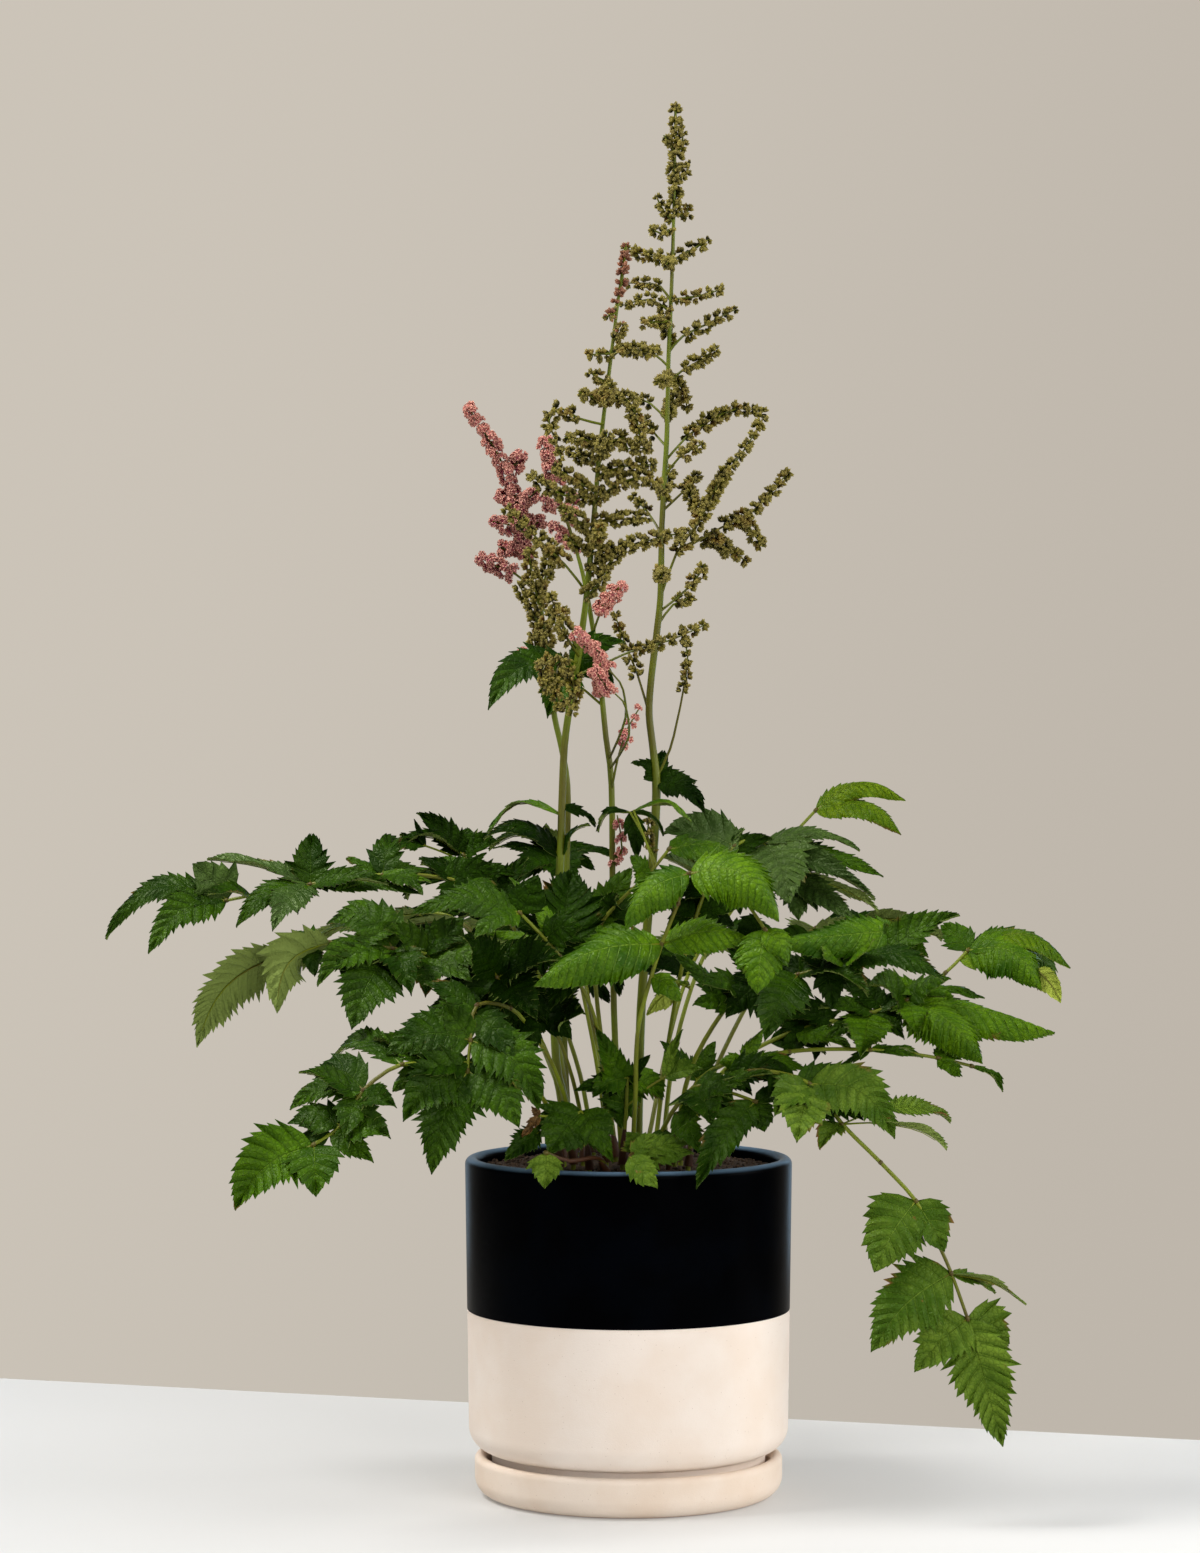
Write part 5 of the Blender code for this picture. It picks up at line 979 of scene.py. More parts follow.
class Layout:
    """Places every stem, leaflet and raceme clear of other nodes, as the solids are."""

    def __init__(self) -> None:
        """Places everything in the solids' order, then what only the scene has."""
        self.keeper = Keeper()
        self.stems: dict[str, Stem] = {}
        self.leaflets: dict[str, list[Leaflet]] = {}
        self.racemes: dict[str, list[Raceme]] = {}
        self.fronds = all_fronds()
        self.place_stalk_stems()
        self.place_frond_stems()
        for name, _, _, _, racemes in STALKS:
            self.place_racemes(name, racemes)
        self.place_leaflets(small=False)
        self.place_leaflets(small=True)
        for name, racemes in SHORT_RACEMES.items():
            self.place_racemes(name, racemes)
        for name, sprigs in SPRIGS.items():
            for sprig in sprigs:
                self.place_sprig(name, *sprig)
        rng = random.Random(FILL_SEED)
        for name, first, last, count in FILLED:
            for _ in range(count):
                self.place_filling(name, rng.uniform(first, last), rng)

    def keep_stem(self, name: str, stem: Stem) -> None:
        """Notes a placed stem."""
        self.keeper.keep(name, stem.shell())
        self.stems[name] = stem
        self.leaflets[name] = []
        self.racemes[name] = []

    @staticmethod
    def rooted_stem(foot: tuple, nodes: Sequence[tuple], shift: float) -> Stem:
        """Makes a stem that stands upright in its hole and then follows its nodes.

        Args:
            foot: Place in the soil.
            nodes: Layout points.
            shift: How far the frond is moved back, past its second node.

        Returns:
            The stem, with radii of a petiole.
        """
        bottom = Vector((*foot, HOLE_BOTTOM + GAP)) * MM
        top = Vector((*foot, soil_top(math.hypot(*foot)) + 5)) * MM
        bends = [seen(nx, ny + shift * min(i + 1, 2) / 2, nz)
                 for i, (nx, ny, nz) in enumerate(nodes)]
        points = [bottom] + smooth_path([top] + bends)
        last = len(points) - 1
        radii = [PETIOLE_RADIUS + (PETIOLE_END_RADIUS - PETIOLE_RADIUS) * i / last
                 for i in range(last + 1)]
        return Stem(points, radii, bends, shift)

    def place_stalk_stems(self) -> None:
        """Places the flower stalks' main stems, first because they are the stiffest."""
        for name, foot, points, _, _ in STALKS:
            stem = self.rooted_stem(foot, [p[:3] for p in points], 0)
            nearest = [min(range(len(points)), key=lambda i: (stem.bends[i] - p).length)
                       for p in stem.points]
            stem.radii = [points[i][3] for i in nearest]
            self.keep_stem(name, stem)

    def place_frond_stems(self) -> None:
        """Places petioles and rachises, each shifted in depth until it is clear."""
        for name, foot, nodes, _, _ in self.fronds:
            for shift in SHIFTS:
                stem = self.rooted_stem(foot, nodes, shift)
                if self.keeper.clears(name, stem.shell()):
                    break
            self.keep_stem(name, stem)

    def place_racemes(self, name: str, racemes: Sequence[tuple]) -> None:
        """Places a stalk's racemes, with tips moved in depth until clear.

        Args:
            name: The stalk.
            racemes: Its racemes as the table has them.
        """
        for radius, first, points in racemes:
            for dy in signed((4, 8, 12, 17, 22, 28)):
                last = len(points) - 1
                moved = [seen(x, y + dy * i / last, z) for i, (x, y, z) in enumerate(points)]
                path = smooth_path(moved)
                knobs = [(p - moved[0]).length > radius * MM or not first for p in path]
                radii = [radius * KNOB_SWELL if knob else TWIG_RADIUS for knob in knobs]
                shell = tube_envelope(path, radii)
                if self.keeper.clears(name, shell):
                    self.keeper.keep(name, shell)
                    self.racemes[name].append(Raceme(radius, first, moved))
                    break

    def place_leaflets(self, small: bool) -> None:
        """Places all leaflets above or below the least width, the stalks' own first.

        Args:
            small: Whether it is the narrow leaflets' turn.
        """
        jobs = [(name, leaves, FRONT) for name, _, _, leaves, _ in STALKS]
        jobs += [(name, leaves, out) for name, _, _, leaves, out in self.fronds]
        for name, leaves, out in jobs:
            stem = self.stems[name]
            for i, (node, *spec) in enumerate(leaves):
                if (spec[3] < LEAST_LEAFLET_WIDTH) == small:
                    self.place_leaflet(name, stem.bends[node], spec, stem.shift, out,
                                       LEAFLET_TONES.get(name, {}).get(i))

    def place_leaflet(self, name: str, base: Vector, spec: Sequence[float], shift: float,
                      out: Vector, tone: Tone | None = None) -> None:
        """Places a leaflet, bent clear by depth, facing and then size.

        Args:
            name: The frond or stalk.
            base: Where it leaves the stem.
            spec: Tip x, y and z, width, facing, arch and perhaps its bare share.
            shift: How far its frond was moved back.
            out: Direction that it faces.
            tone: Leaf colour, or None for the frond's own.
        """
        x, y, z, width, facing, arch, *bare = spec
        for dy, turn, size in TIP_MOVES:
            tip = base + (seen(x, y + shift + dy, z) - base) * size
            leaflet = Leaflet(base, tip, width * size, facing + turn, arch * size, out, tone,
                              *bare)
            shell = leaf_envelope(leaflet)
            if self.keeper.clears(name, shell):
                self.keeper.keep(name, shell)
                self.leaflets[name].append(leaflet)
                return

    def place_sprig(self, name: str, node: float, leaves: Sequence[tuple],
                    tone: Tone | None = None, end: tuple | None = None) -> None:
        """Places a sprig: its twig, if it has one, and its leaflets.

        Args:
            name: The frond or stalk that it grows from.
            node: Place along that one's nodes.
            leaves: Its leaflets.
            tone: Leaf colour, or None for the frond's own.
            end: The twig's end, or None when the leaflets leave the stem itself.
        """
        base = self.stems[name].place_at(node)
        if end is not None:
            tip = seen(end[0], base.y / MM + end[1], end[2])
            middle = base.lerp(tip, 0.5) + Vector((0, 0, 1.5)) * MM
            twig = [base, middle, tip]
            shell = tube_envelope(twig, [TWIG_RADIUS] * 3)
            if not self.keeper.clears(name, shell):
                return
            self.keeper.keep(name, shell)
            self.stems[name].twigs.append(twig)
            base = tip
        for x, depth, z, width, facing, arch in leaves:
            spec = (x, base.y / MM + depth, z, width, facing, arch)
            self.place_leaflet(name, base, spec, 0, FRONT, tone)

    def place_filling(self, name: str, node: float, rng: random.Random) -> None:
        """Places a leaflet in the painted-shade tone that fills the frond's inside.

        Args:
            name: The frond.
            node: Place along its nodes.
            rng: Seeded draws.
        """
        base = self.stems[name].place_at(node)
        turn = math.radians(rng.uniform(-215, 35))
        length = rng.uniform(24, 40)
        x, _, z = plain_point(*(base / MM))
        spec = (x + math.cos(turn) * length, base.y / MM + rng.uniform(-8, 26),
                z + math.sin(turn) * length * 0.8, length * rng.uniform(0.42, 0.55),
                rng.uniform(30, 75), rng.uniform(2, 6))
        self.place_leaflet(name, base, spec, 0, FRONT, Tone.SHADED)


class NodeKit:
    """Short calls that build a material's nodes round its Principled shader."""

    def __init__(self, name: str) -> None:
        """Starts a material of the name."""
        self.material = bpy.data.materials.new(name)
        self.material.use_nodes = True
        self.tree = self.material.node_tree
        self.shader = self.tree.nodes["Principled BSDF"]

    def node(self, kind: str, **settings: object) -> bpy.types.Node:
        """Adds a node and sets its properties."""
        made = self.tree.nodes.new(kind)
        for key, value in settings.items():
            setattr(made, key, value)
        return made

    def put(self, socket: Socket, value: object) -> None:
        """Links a socket to another, or sets its number or colour."""
        if isinstance(value, Socket):
            self.tree.links.new(value, socket)
        else:
            socket.default_value = (*value, 1.0) if isinstance(value, tuple) else value

    def math(self, operation: str, a: object, b: object = 0.0, clamp: bool = False) -> Socket:
        """Adds a Math node and gives its output."""
        made = self.node("ShaderNodeMath", operation=operation, use_clamp=clamp)
        self.put(made.inputs[0], a)
        self.put(made.inputs[1], b)
        return made.outputs[0]

    def times(self, a: object, b: object) -> Socket:
        """Product of two values."""
        return self.math("MULTIPLY", a, b)

    def plus(self, a: object, b: object, clamp: bool = False) -> Socket:
        """Sum of two values."""
        return self.math("ADD", a, b, clamp)

    def mix(self, a: object, b: object, share: object) -> Socket:
        """Mixes two colours by a share and gives the result."""
        made = self.node("ShaderNodeMix", data_type="RGBA")
        for index, value in ((0, share), (6, a), (7, b)):
            self.put(made.inputs[index], value)
        return made.outputs[2]

    def attribute(self, name: str) -> Socket:
        """Reads a number from the piece's own attribute."""
        return self.node("ShaderNodeAttribute", attribute_name=name).outputs["Fac"]

    def place(self) -> Socket:
        """Object coordinates."""
        return self.node("ShaderNodeTexCoord").outputs["Object"]

    def xyz(self) -> Sequence[Socket]:
        """The three object coordinates, each on its own."""
        split = self.node("ShaderNodeSeparateXYZ")
        self.put(split.inputs[0], self.place())
        return split.outputs

    def noise(self, scale: float, detail: float = 3.0, rough: float = 0.5) -> Socket:
        """Noise at a scale in features per metre.

        Args:
            scale: Features per metre.
            detail: Finer layers.
            rough: Weight of the finer layers.

        Returns:
            The noise, about 0.5.
        """
        made = self.node("ShaderNodeTexNoise")
        self.put(made.inputs["Vector"], self.place())
        self.put(made.inputs["Scale"], scale)
        self.put(made.inputs["Detail"], detail)
        self.put(made.inputs["Roughness"], rough)
        return made.outputs["Fac"]

    def cells(self, scale: float, feature: str = "F1") -> Socket:
        """Distances in a cell pattern at a scale in cells per metre."""
        made = self.node("ShaderNodeTexVoronoi", feature=feature)
        self.put(made.inputs["Vector"], self.place())
        self.put(made.inputs["Scale"], scale)
        return made.outputs["Distance"]

    def ramp(self, value: object, low: float, high: float, start: float = 0.0,
             end: float = 1.0) -> Socket:
        """Maps a value from low..high to start..end, smoothly and clamped.

        Args:
            value: The value.
            low: Value that gives start.
            high: Value that gives end.
            start: Result at low.
            end: Result at high.

        Returns:
            The result.
        """
        made = self.node("ShaderNodeMapRange", interpolation_type="SMOOTHSTEP")
        for index, number in enumerate((value, low, high, start, end)):
            self.put(made.inputs[index], number)
        return made.outputs[0]

    def bump(self, height: object, distance: float, strength: float = 1.0,
             under: object = None) -> Socket:
        """Adds relief of a height in metres, on top of other relief if given.

        Args:
            height: What stands out, from 0 to 1.
            distance: Its height in metres.
            strength: Share of it that shows.
            under: Other relief.

        Returns:
            The surface's direction.
        """
        made = self.node("ShaderNodeBump")
        self.put(made.inputs["Height"], height)
        self.put(made.inputs["Distance"], distance)
        self.put(made.inputs["Strength"], strength)
        if under is not None:
            self.put(made.inputs["Normal"], under)
        return made.outputs[0]

    def glow(self, color: object) -> None:
        """Lets the surface shine by itself."""
        self.put(self.shader.inputs["Emission Color"], color)
        self.shader.inputs["Emission Strength"].default_value = 1.0

    def finish(self, color: object, roughness: object, normal: object = None,
               specular: float = 0.5) -> Material:
        """Connects the shader and gives the material.

        Args:
            color: Base colour.
            roughness: Roughness.
            normal: Relief, or None.
            specular: Strength of the mirror-like part.

        Returns:
            The material.
        """
        self.put(self.shader.inputs["Base Color"], color)
        self.put(self.shader.inputs["Roughness"], roughness)
        self.shader.inputs["Specular IOR Level"].default_value = specular
        if normal is not None:
            self.put(self.shader.inputs["Normal"], normal)
        return self.material


@dataclass(frozen=True)
class LeafFinish:
    """Green of a leaf's upper side, with veins, painted shade in the furrows beside them, paler
    underside and blemishes.
    """

    name: str
    dark: Color
    light: Color
    vein: Color
    underside: Color = (0.15, 0.2, 0.045)
    blemish: Color = (0.16, 0.075, 0.02)
    spots: float = 0.12
    roughness: float = 0.44
    gloss: float = 0.14

    def make(self) -> Material:
        """Builds the leaf material, which reads the blade's own attributes."""
        kit = NodeKit(f"leaf_{self.name}")
        # Patchy green, then midrib, side veins, painted shade in the furrows beside them, and net
        # of small veins
        side = kit.math("ABSOLUTE", kit.attribute("leaf_across"))
        under = kit.attribute("leaf_under")
        patches = kit.times(kit.math("SUBTRACT", kit.noise(55, 4), 0.43), 2.2)
        share = kit.plus(kit.times(kit.attribute("leaf_tint"), 0.75), patches, clamp=True)
        green = kit.mix(self.dark, self.light, share)
        off_vein = kit.math("PINGPONG", kit.attribute("leaf_phase"), 0.5)
        side_vein = kit.times(kit.ramp(off_vein, 0.02, 0.075, 1.0, 0.0),
                              kit.ramp(side, 0.6, 0.95, 1.0, 0.1))
        midrib = kit.ramp(side, 0.012, 0.04, 1.0, 0.0)
        veins = kit.math("MAXIMUM", kit.times(midrib, 0.8), kit.times(side_vein, 0.42))
        green = kit.mix(green, self.vein, veins)
        # Painted shade: darker in the furrows beside the side veins, not on the veins themselves
        furrow_shade = kit.ramp(off_vein, 0.07, 0.24, 0.6, 0.0)
        green = kit.mix(green, self.dark,
                        kit.times(furrow_shade, kit.math("SUBTRACT", 1.0, side_vein)))
        small_veins = kit.cells(330, "DISTANCE_TO_EDGE")
        green = kit.mix(green, self.dark, kit.ramp(small_veins, 0.0, 0.14, 0.45, 0.0))
        # Paler underside, blots, and worn margins
        pale = kit.mix(self.underside, self.dark, kit.times(veins, 0.5))
        green = kit.mix(green, pale, under)
        blots = kit.ramp(kit.noise(75, 5, 0.62), 0.74 - self.spots * 0.7, 0.8 - self.spots * 0.6)
        edge_blots = kit.ramp(kit.noise(40, 3), 0.66 - self.spots, 0.78 - self.spots)
        worn = kit.math("MAXIMUM", blots, kit.times(kit.ramp(side, 0.8, 1.0), edge_blots))
        green = kit.mix(green, self.blemish, worn)
        # Sunken veins on a quilted surface
        relief = kit.plus(kit.times(veins, -0.7), kit.ramp(small_veins, 0.0, 0.3, 0.0, 0.25))
        relief = kit.plus(relief, kit.times(kit.noise(80, 2), 1.7))
        rough = kit.plus(kit.times(kit.noise(260, 2), 0.16), self.roughness - 0.08)
        rough = kit.plus(rough, kit.times(under, 0.18))
        kit.shader.inputs["Specular Tint"].default_value = (0.8, 1.0, 0.45, 1.0)
        return kit.finish(green, rough, kit.bump(relief, 0.0013, 0.85), self.gloss)


@dataclass(frozen=True)
class StemFinish:
    """Skin of petioles and stalks, green with browner joints and streaks."""

    name: str
    green: Color
    joint: Color
    roughness: float = 0.45

    def make(self) -> Material:
        """Builds the stem material, whose joints take the attribute leaf_tint."""
        kit = NodeKit(f"stem_{self.name}")
        flecks = kit.ramp(kit.noise(420, 4), 0.5, 0.75)
        lengths = kit.ramp(kit.noise(18, 2), 0.42, 0.66)
        color = kit.mix(self.green, self.joint, kit.times(lengths, 0.6))
        color = kit.mix(color, self.joint, kit.times(flecks, 0.2))
        color = kit.mix(color, self.joint, kit.attribute("leaf_tint"))
        normal = kit.bump(kit.noise(700, 3), 0.0002, 0.7)
        return kit.finish(color, self.roughness, normal, 0.25)


@dataclass(frozen=True)
class SeedFinish:
    """Capsules or florets, each a little different, with darker or paler ends."""

    name: str
    dark: Color
    light: Color
    end: Color
    blush: Color
    roughness: float = 0.5

    def make(self) -> Material:
        """Builds a material that reads leaf_tint for the body, leaf_under for the ends."""
        kit = NodeKit(f"seed_{self.name}")
        color = kit.mix(self.dark, self.light, kit.attribute("leaf_tint"))
        mottle = kit.ramp(kit.noise(900, 3), 0.4, 0.75)
        color = kit.mix(color, self.dark, kit.times(mottle, 0.3))
        blush = kit.ramp(kit.noise(90, 3), 0.52, 0.72, 0.0, 0.5)
        color = kit.mix(color, self.blush, blush)
        color = kit.mix(color, self.end, kit.attribute("leaf_under"))
        normal = kit.bump(kit.noise(1600, 2), 0.0002, 0.6)
        return kit.finish(color, self.roughness, normal, 0.1)


@dataclass(frozen=True)
class GlazeFinish:
    """Navy-black satin glaze, bluer over the rim where it runs thin, with a painted highlight on
    the lip.
    """

    color: Color = (0.0002, 0.0003, 0.0006)
    cloud: Color = (0.0004, 0.0008, 0.0017)
    # Rim colour: the thin glaze's own blue, lightened partly as a painted highlight of the lit lip
    rim: Color = (0.09, 0.15, 0.22)

    def make(self) -> Material:
        """Builds the material with faint flow marks and pinholes."""
        kit = NodeKit("glaze_navy_black")
        flow = kit.noise(26, 4)
        color = kit.mix(self.color, self.cloud, kit.ramp(flow, 0.4, 0.7))
        # Painted highlight, partly the thin glaze's own blue: the colour lightens towards the top
        # of the lip
        height = kit.plus(kit.xyz()[2], kit.times(flow, 0.0012))
        top = kit.ramp(height, (POT_RIM_TOP - 2.2) * MM, (POT_RIM_TOP + 0.4) * MM)
        color = kit.mix(color, self.rim, top)
        fine = kit.noise(900, 2)
        rough = kit.plus(kit.times(fine, 0.08), 0.27)
        normal = kit.bump(kit.noise(60, 2), 0.0004, 0.35)
        normal = kit.bump(fine, 0.00006, 0.6, normal)
        return kit.finish(color, rough, normal, 0.009)


@dataclass(frozen=True)
class BisqueFinish:
    """Bare cream stoneware with a fine speckle, and painted shade where the pot stands in the
    saucer.
    """

    name: str
    clay: Color
    warm: Color
    gap_shade: Color = (0.4, 0.17, 0.06)
    speck: Color = (0.42, 0.3, 0.22)

    def make(self) -> Material:
        """Builds the material with grain, speckle, soft clouding and painted shade low down within
        the saucer's rim.
        """
        kit = NodeKit(f"bisque_{self.name}")
        color = kit.mix(self.clay, self.warm, kit.ramp(kit.noise(22, 4), 0.35, 0.7))
        grain = kit.noise(1500, 3)
        color = kit.mix(color, self.warm, kit.ramp(grain, 0.55, 0.8, 0.0, 0.5))
        speck = kit.ramp(kit.cells(260), 0.05, 0.09, 1.0, 0.0)
        color = kit.mix(color, self.speck, kit.times(speck, 0.45))
        # Painted shade: orange-brown darkening low down within the saucer's rim, in the gap where
        # the pot stands
        x, y, z = kit.xyz()
        aside = kit.math("SQRT", kit.plus(kit.times(x, x), kit.times(y, y)))
        within = kit.ramp(aside, 0.0872, 0.089, 1.0, 0.0)
        gap_shade = kit.times(within, kit.ramp(z, 0.012, 0.0235, 0.9, 0.0))
        color = kit.mix(color, self.gap_shade, gap_shade)
        normal = kit.bump(grain, 0.00012, 0.8)
        normal = kit.bump(kit.noise(320, 4), 0.0002, 0.4, normal)
        return kit.finish(color, 0.72, normal, 0.3)


@dataclass(frozen=True)
class SoilFinish:
    """Dark damp potting soil with fibres."""

    name: str
    dark: Color = (0.018, 0.011, 0.007)
    light: Color = (0.085, 0.052, 0.032)
    fibre: Color = (0.16, 0.1, 0.06)

    def make(self) -> Material:
        """Builds the material with clods and grain."""
        kit = NodeKit(f"soil_{self.name}")
        clods = kit.noise(240, 8, 0.7)
        color = kit.mix(self.dark, self.light, kit.ramp(clods, 0.35, 0.72))
        bits = kit.ramp(kit.cells(420), 0.08, 0.16, 1.0, 0.0)
        color = kit.mix(color, self.fibre, kit.times(bits, 0.5))
        normal = kit.bump(clods, 0.0015, 0.9)
        return kit.finish(color, 0.92, normal, 0.2)


LEAF_FINISHES = {
    Tone.FRESH: LeafFinish("fresh", (0.016, 0.058, 0.0006), (0.1, 0.2, 0.003),
                           (0.14, 0.24, 0.02), spots=0.04, gloss=0.18),
    Tone.MIDDLING: LeafFinish("middling", (0.014, 0.046, 0.0006), (0.062, 0.138, 0.002),
                              (0.085, 0.16, 0.008), spots=0.05),
    Tone.DEEP: LeafFinish("deep", (0.006, 0.023, 0.0005), (0.035, 0.085, 0.0015),
                          (0.042, 0.09, 0.006), spots=0.04),
    Tone.GREYISH: LeafFinish("greyish", (0.02, 0.046, 0.006), (0.06, 0.11, 0.018),
                             (0.08, 0.13, 0.03), spots=0.03, gloss=0.3),
    # SHADED is painted shade: a darker copy of the leaf green for leaflets inside the plant
    Tone.SHADED: LeafFinish("shaded", (0.002, 0.009, 0.0003), (0.015, 0.042, 0.001),
                            (0.018, 0.042, 0.003), spots=0.03, gloss=0.05),
    Tone.SPOTTED: LeafFinish("spotted", (0.032, 0.075, 0.003), (0.125, 0.2, 0.018),
                             (0.11, 0.18, 0.015), spots=0.1),
    Tone.YELLOWING: LeafFinish("yellowing", (0.026, 0.075, 0.001), (0.125, 0.2, 0.004),
                               (0.19, 0.26, 0.02), underside=(0.3, 0.36, 0.05), spots=0.06),
    Tone.WITHERED: LeafFinish("withered", (0.05, 0.022, 0.008), (0.16, 0.085, 0.03),
                              (0.2, 0.12, 0.05), underside=(0.12, 0.07, 0.03), spots=0.3),
}
PETIOLE_FINISH = StemFinish("petiole", (0.16, 0.2, 0.008), (0.05, 0.018, 0.006))
SEED_STALK_FINISH = StemFinish("seed_stalk", (0.12, 0.155, 0.006), (0.065, 0.035, 0.006))
CAPSULE_FINISH = SeedFinish("capsule", (0.005, 0.006, 0.0003), (0.115, 0.1, 0.004),
                            (0.52, 0.43, 0.12), (0.15, 0.05, 0.008))
DRY_CAPSULE_FINISH = SeedFinish("dry_capsule", (0.07, 0.02, 0.012), (0.27, 0.1, 0.05),
                                (0.42, 0.22, 0.13), (0.16, 0.05, 0.02))
FLORET_FINISH = SeedFinish("floret", (0.21, 0.025, 0.065), (0.61, 0.19, 0.175),
                           (0.79, 0.47, 0.32), (0.34, 0.065, 0.13))


LAYER_NAMES = ("leaf_across", "leaf_phase", "leaf_tint", "leaf_under")


def leaf_layers(bm: bmesh.types.BMesh) -> list[bmesh.types.BMLayerItem]:
    """Makes or finds the attributes that every leafy piece carries, in order."""
    layers = bm.verts.layers.float
    return [layers.get(name) or layers.new(name) for name in LAYER_NAMES]


class Growth:
    """One node's mesh as it grows: tubes, blades and small repeats in one bmesh."""

    def __init__(self, name: str, materials: Sequence[Material]) -> None:
        """Starts an empty growth.

        Args:
            name: The piece's name.
            materials: Its finishes, in slot order.
        """
        self.name = name
        self.materials = materials
        self.bm = bmesh.new()
        leaf_layers(self.bm)

    def add_mesh(self, mesh: Mesh, slot: int, values: Sequence[float] | None = None,
                 matrix: Matrix | None = None) -> list[bmesh.types.BMVert]:
        """Adds a mesh's shape.

        Args:
            mesh: What to add; it is kept.
            slot: Finish of its faces.
            values: Attribute values for all of its points, or None to keep its own.
            matrix: Where it goes, or None to leave it.

        Returns:
            The added points.
        """
        first_vert, first_face = len(self.bm.verts), len(self.bm.faces)
        self.bm.from_mesh(mesh)
        self.bm.verts.ensure_lookup_table()
        self.bm.faces.ensure_lookup_table()
        added = self.bm.verts[first_vert:]
        for face in self.bm.faces[first_face:]:
            face.material_index = slot
        if matrix is not None:
            bmesh.ops.transform(self.bm, matrix=matrix, verts=added)
        if values is not None:
            layers = leaf_layers(self.bm)
            for vert in added:
                for layer, value in zip(layers, values):
                    vert[layer] = value
        return added

    def add_tube(self, points: Sequence[Vector], radii: Sequence[float], slot: int,
                 tint: float = 0.0, sides: int = 8) -> list[bmesh.types.BMVert]:
        """Adds a round tube along points.

        Args:
            points: Centre line.
            radii: Radius at each point, in millimetres.
            slot: Finish.
            tint: Value of leaf_tint along it.
            sides: Faces round the tube, 4, 6 or 8.

        Returns:
            The added points.
        """
        curve = bpy.data.curves.new(self.name, "CURVE")
        curve.dimensions = "3D"
        curve.bevel_depth = MM
        curve.bevel_resolution = (sides - 4) // 2
        curve.use_fill_caps = True
        curve.twist_mode = "MINIMUM"
        spline = curve.splines.new("POLY")
        spline.points.add(len(points) - 1)
        for i, point in enumerate(points):
            spline.points[i].co = (*point, 1)
            spline.points[i].radius = radii[i]
        source = linked(self.name + "_tube", curve)
        mesh = bpy.data.meshes.new_from_object(
            source.evaluated_get(bpy.context.evaluated_depsgraph_get()))
        bpy.data.objects.remove(source)
        bpy.data.curves.remove(curve)
        added = self.add_mesh(mesh, slot, (0.0, 0.0, tint, 0.0))
        bpy.data.meshes.remove(mesh)
        return added

    def take(self, part: Growth) -> None:
        """Takes over what has grown in another growth with the same finishes."""
        mesh = mesh_from(part.bm, part.name)
        self.bm.from_mesh(mesh)
        bpy.data.meshes.remove(mesh)

    def done(self, replaces: Sequence[str]) -> Piece:
        """Makes the piece's object, smooth shaded, riding on the part.

        Args:
            replaces: CAD nodes that it stands for.

        Returns:
            The object.
        """
        bmesh.ops.remove_doubles(self.bm, verts=self.bm.verts, dist=0.0002 * MM)
        return finished(mesh_from(self.bm, self.name), self.materials, replaces, 50)


def linked(name: str, data: bpy.types.ID) -> Piece:
    """Makes an object of its data and puts it in the scene."""
    made = bpy.data.objects.new(name, data)
    bpy.context.scene.collection.objects.link(made)
    return made


def finished(mesh: Mesh, materials: Sequence[Material], replaces: Sequence[str],
             angle: float) -> Piece:
    """Turns a mesh into a piece of the object with the mesh's name.

    Args:
        mesh: Its mesh, in place.
        materials: Its finishes, in slot order.
        replaces: CAD nodes that it stands for, which may be none.
        angle: Edges sharper than this many degrees stay sharp.

    Returns:
        The object, which rides on the root body.
    """
    for material in materials:
        mesh.materials.append(material)
    mesh.shade_smooth()
    mesh.set_sharp_from_angle(angle=math.radians(angle))
    piece = linked(mesh.name, mesh)
    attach(piece, "root")
    if replaces:
        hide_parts(*replaces)
    log.info("%s: %d faces", piece.name, len(mesh.polygons))
    return piece


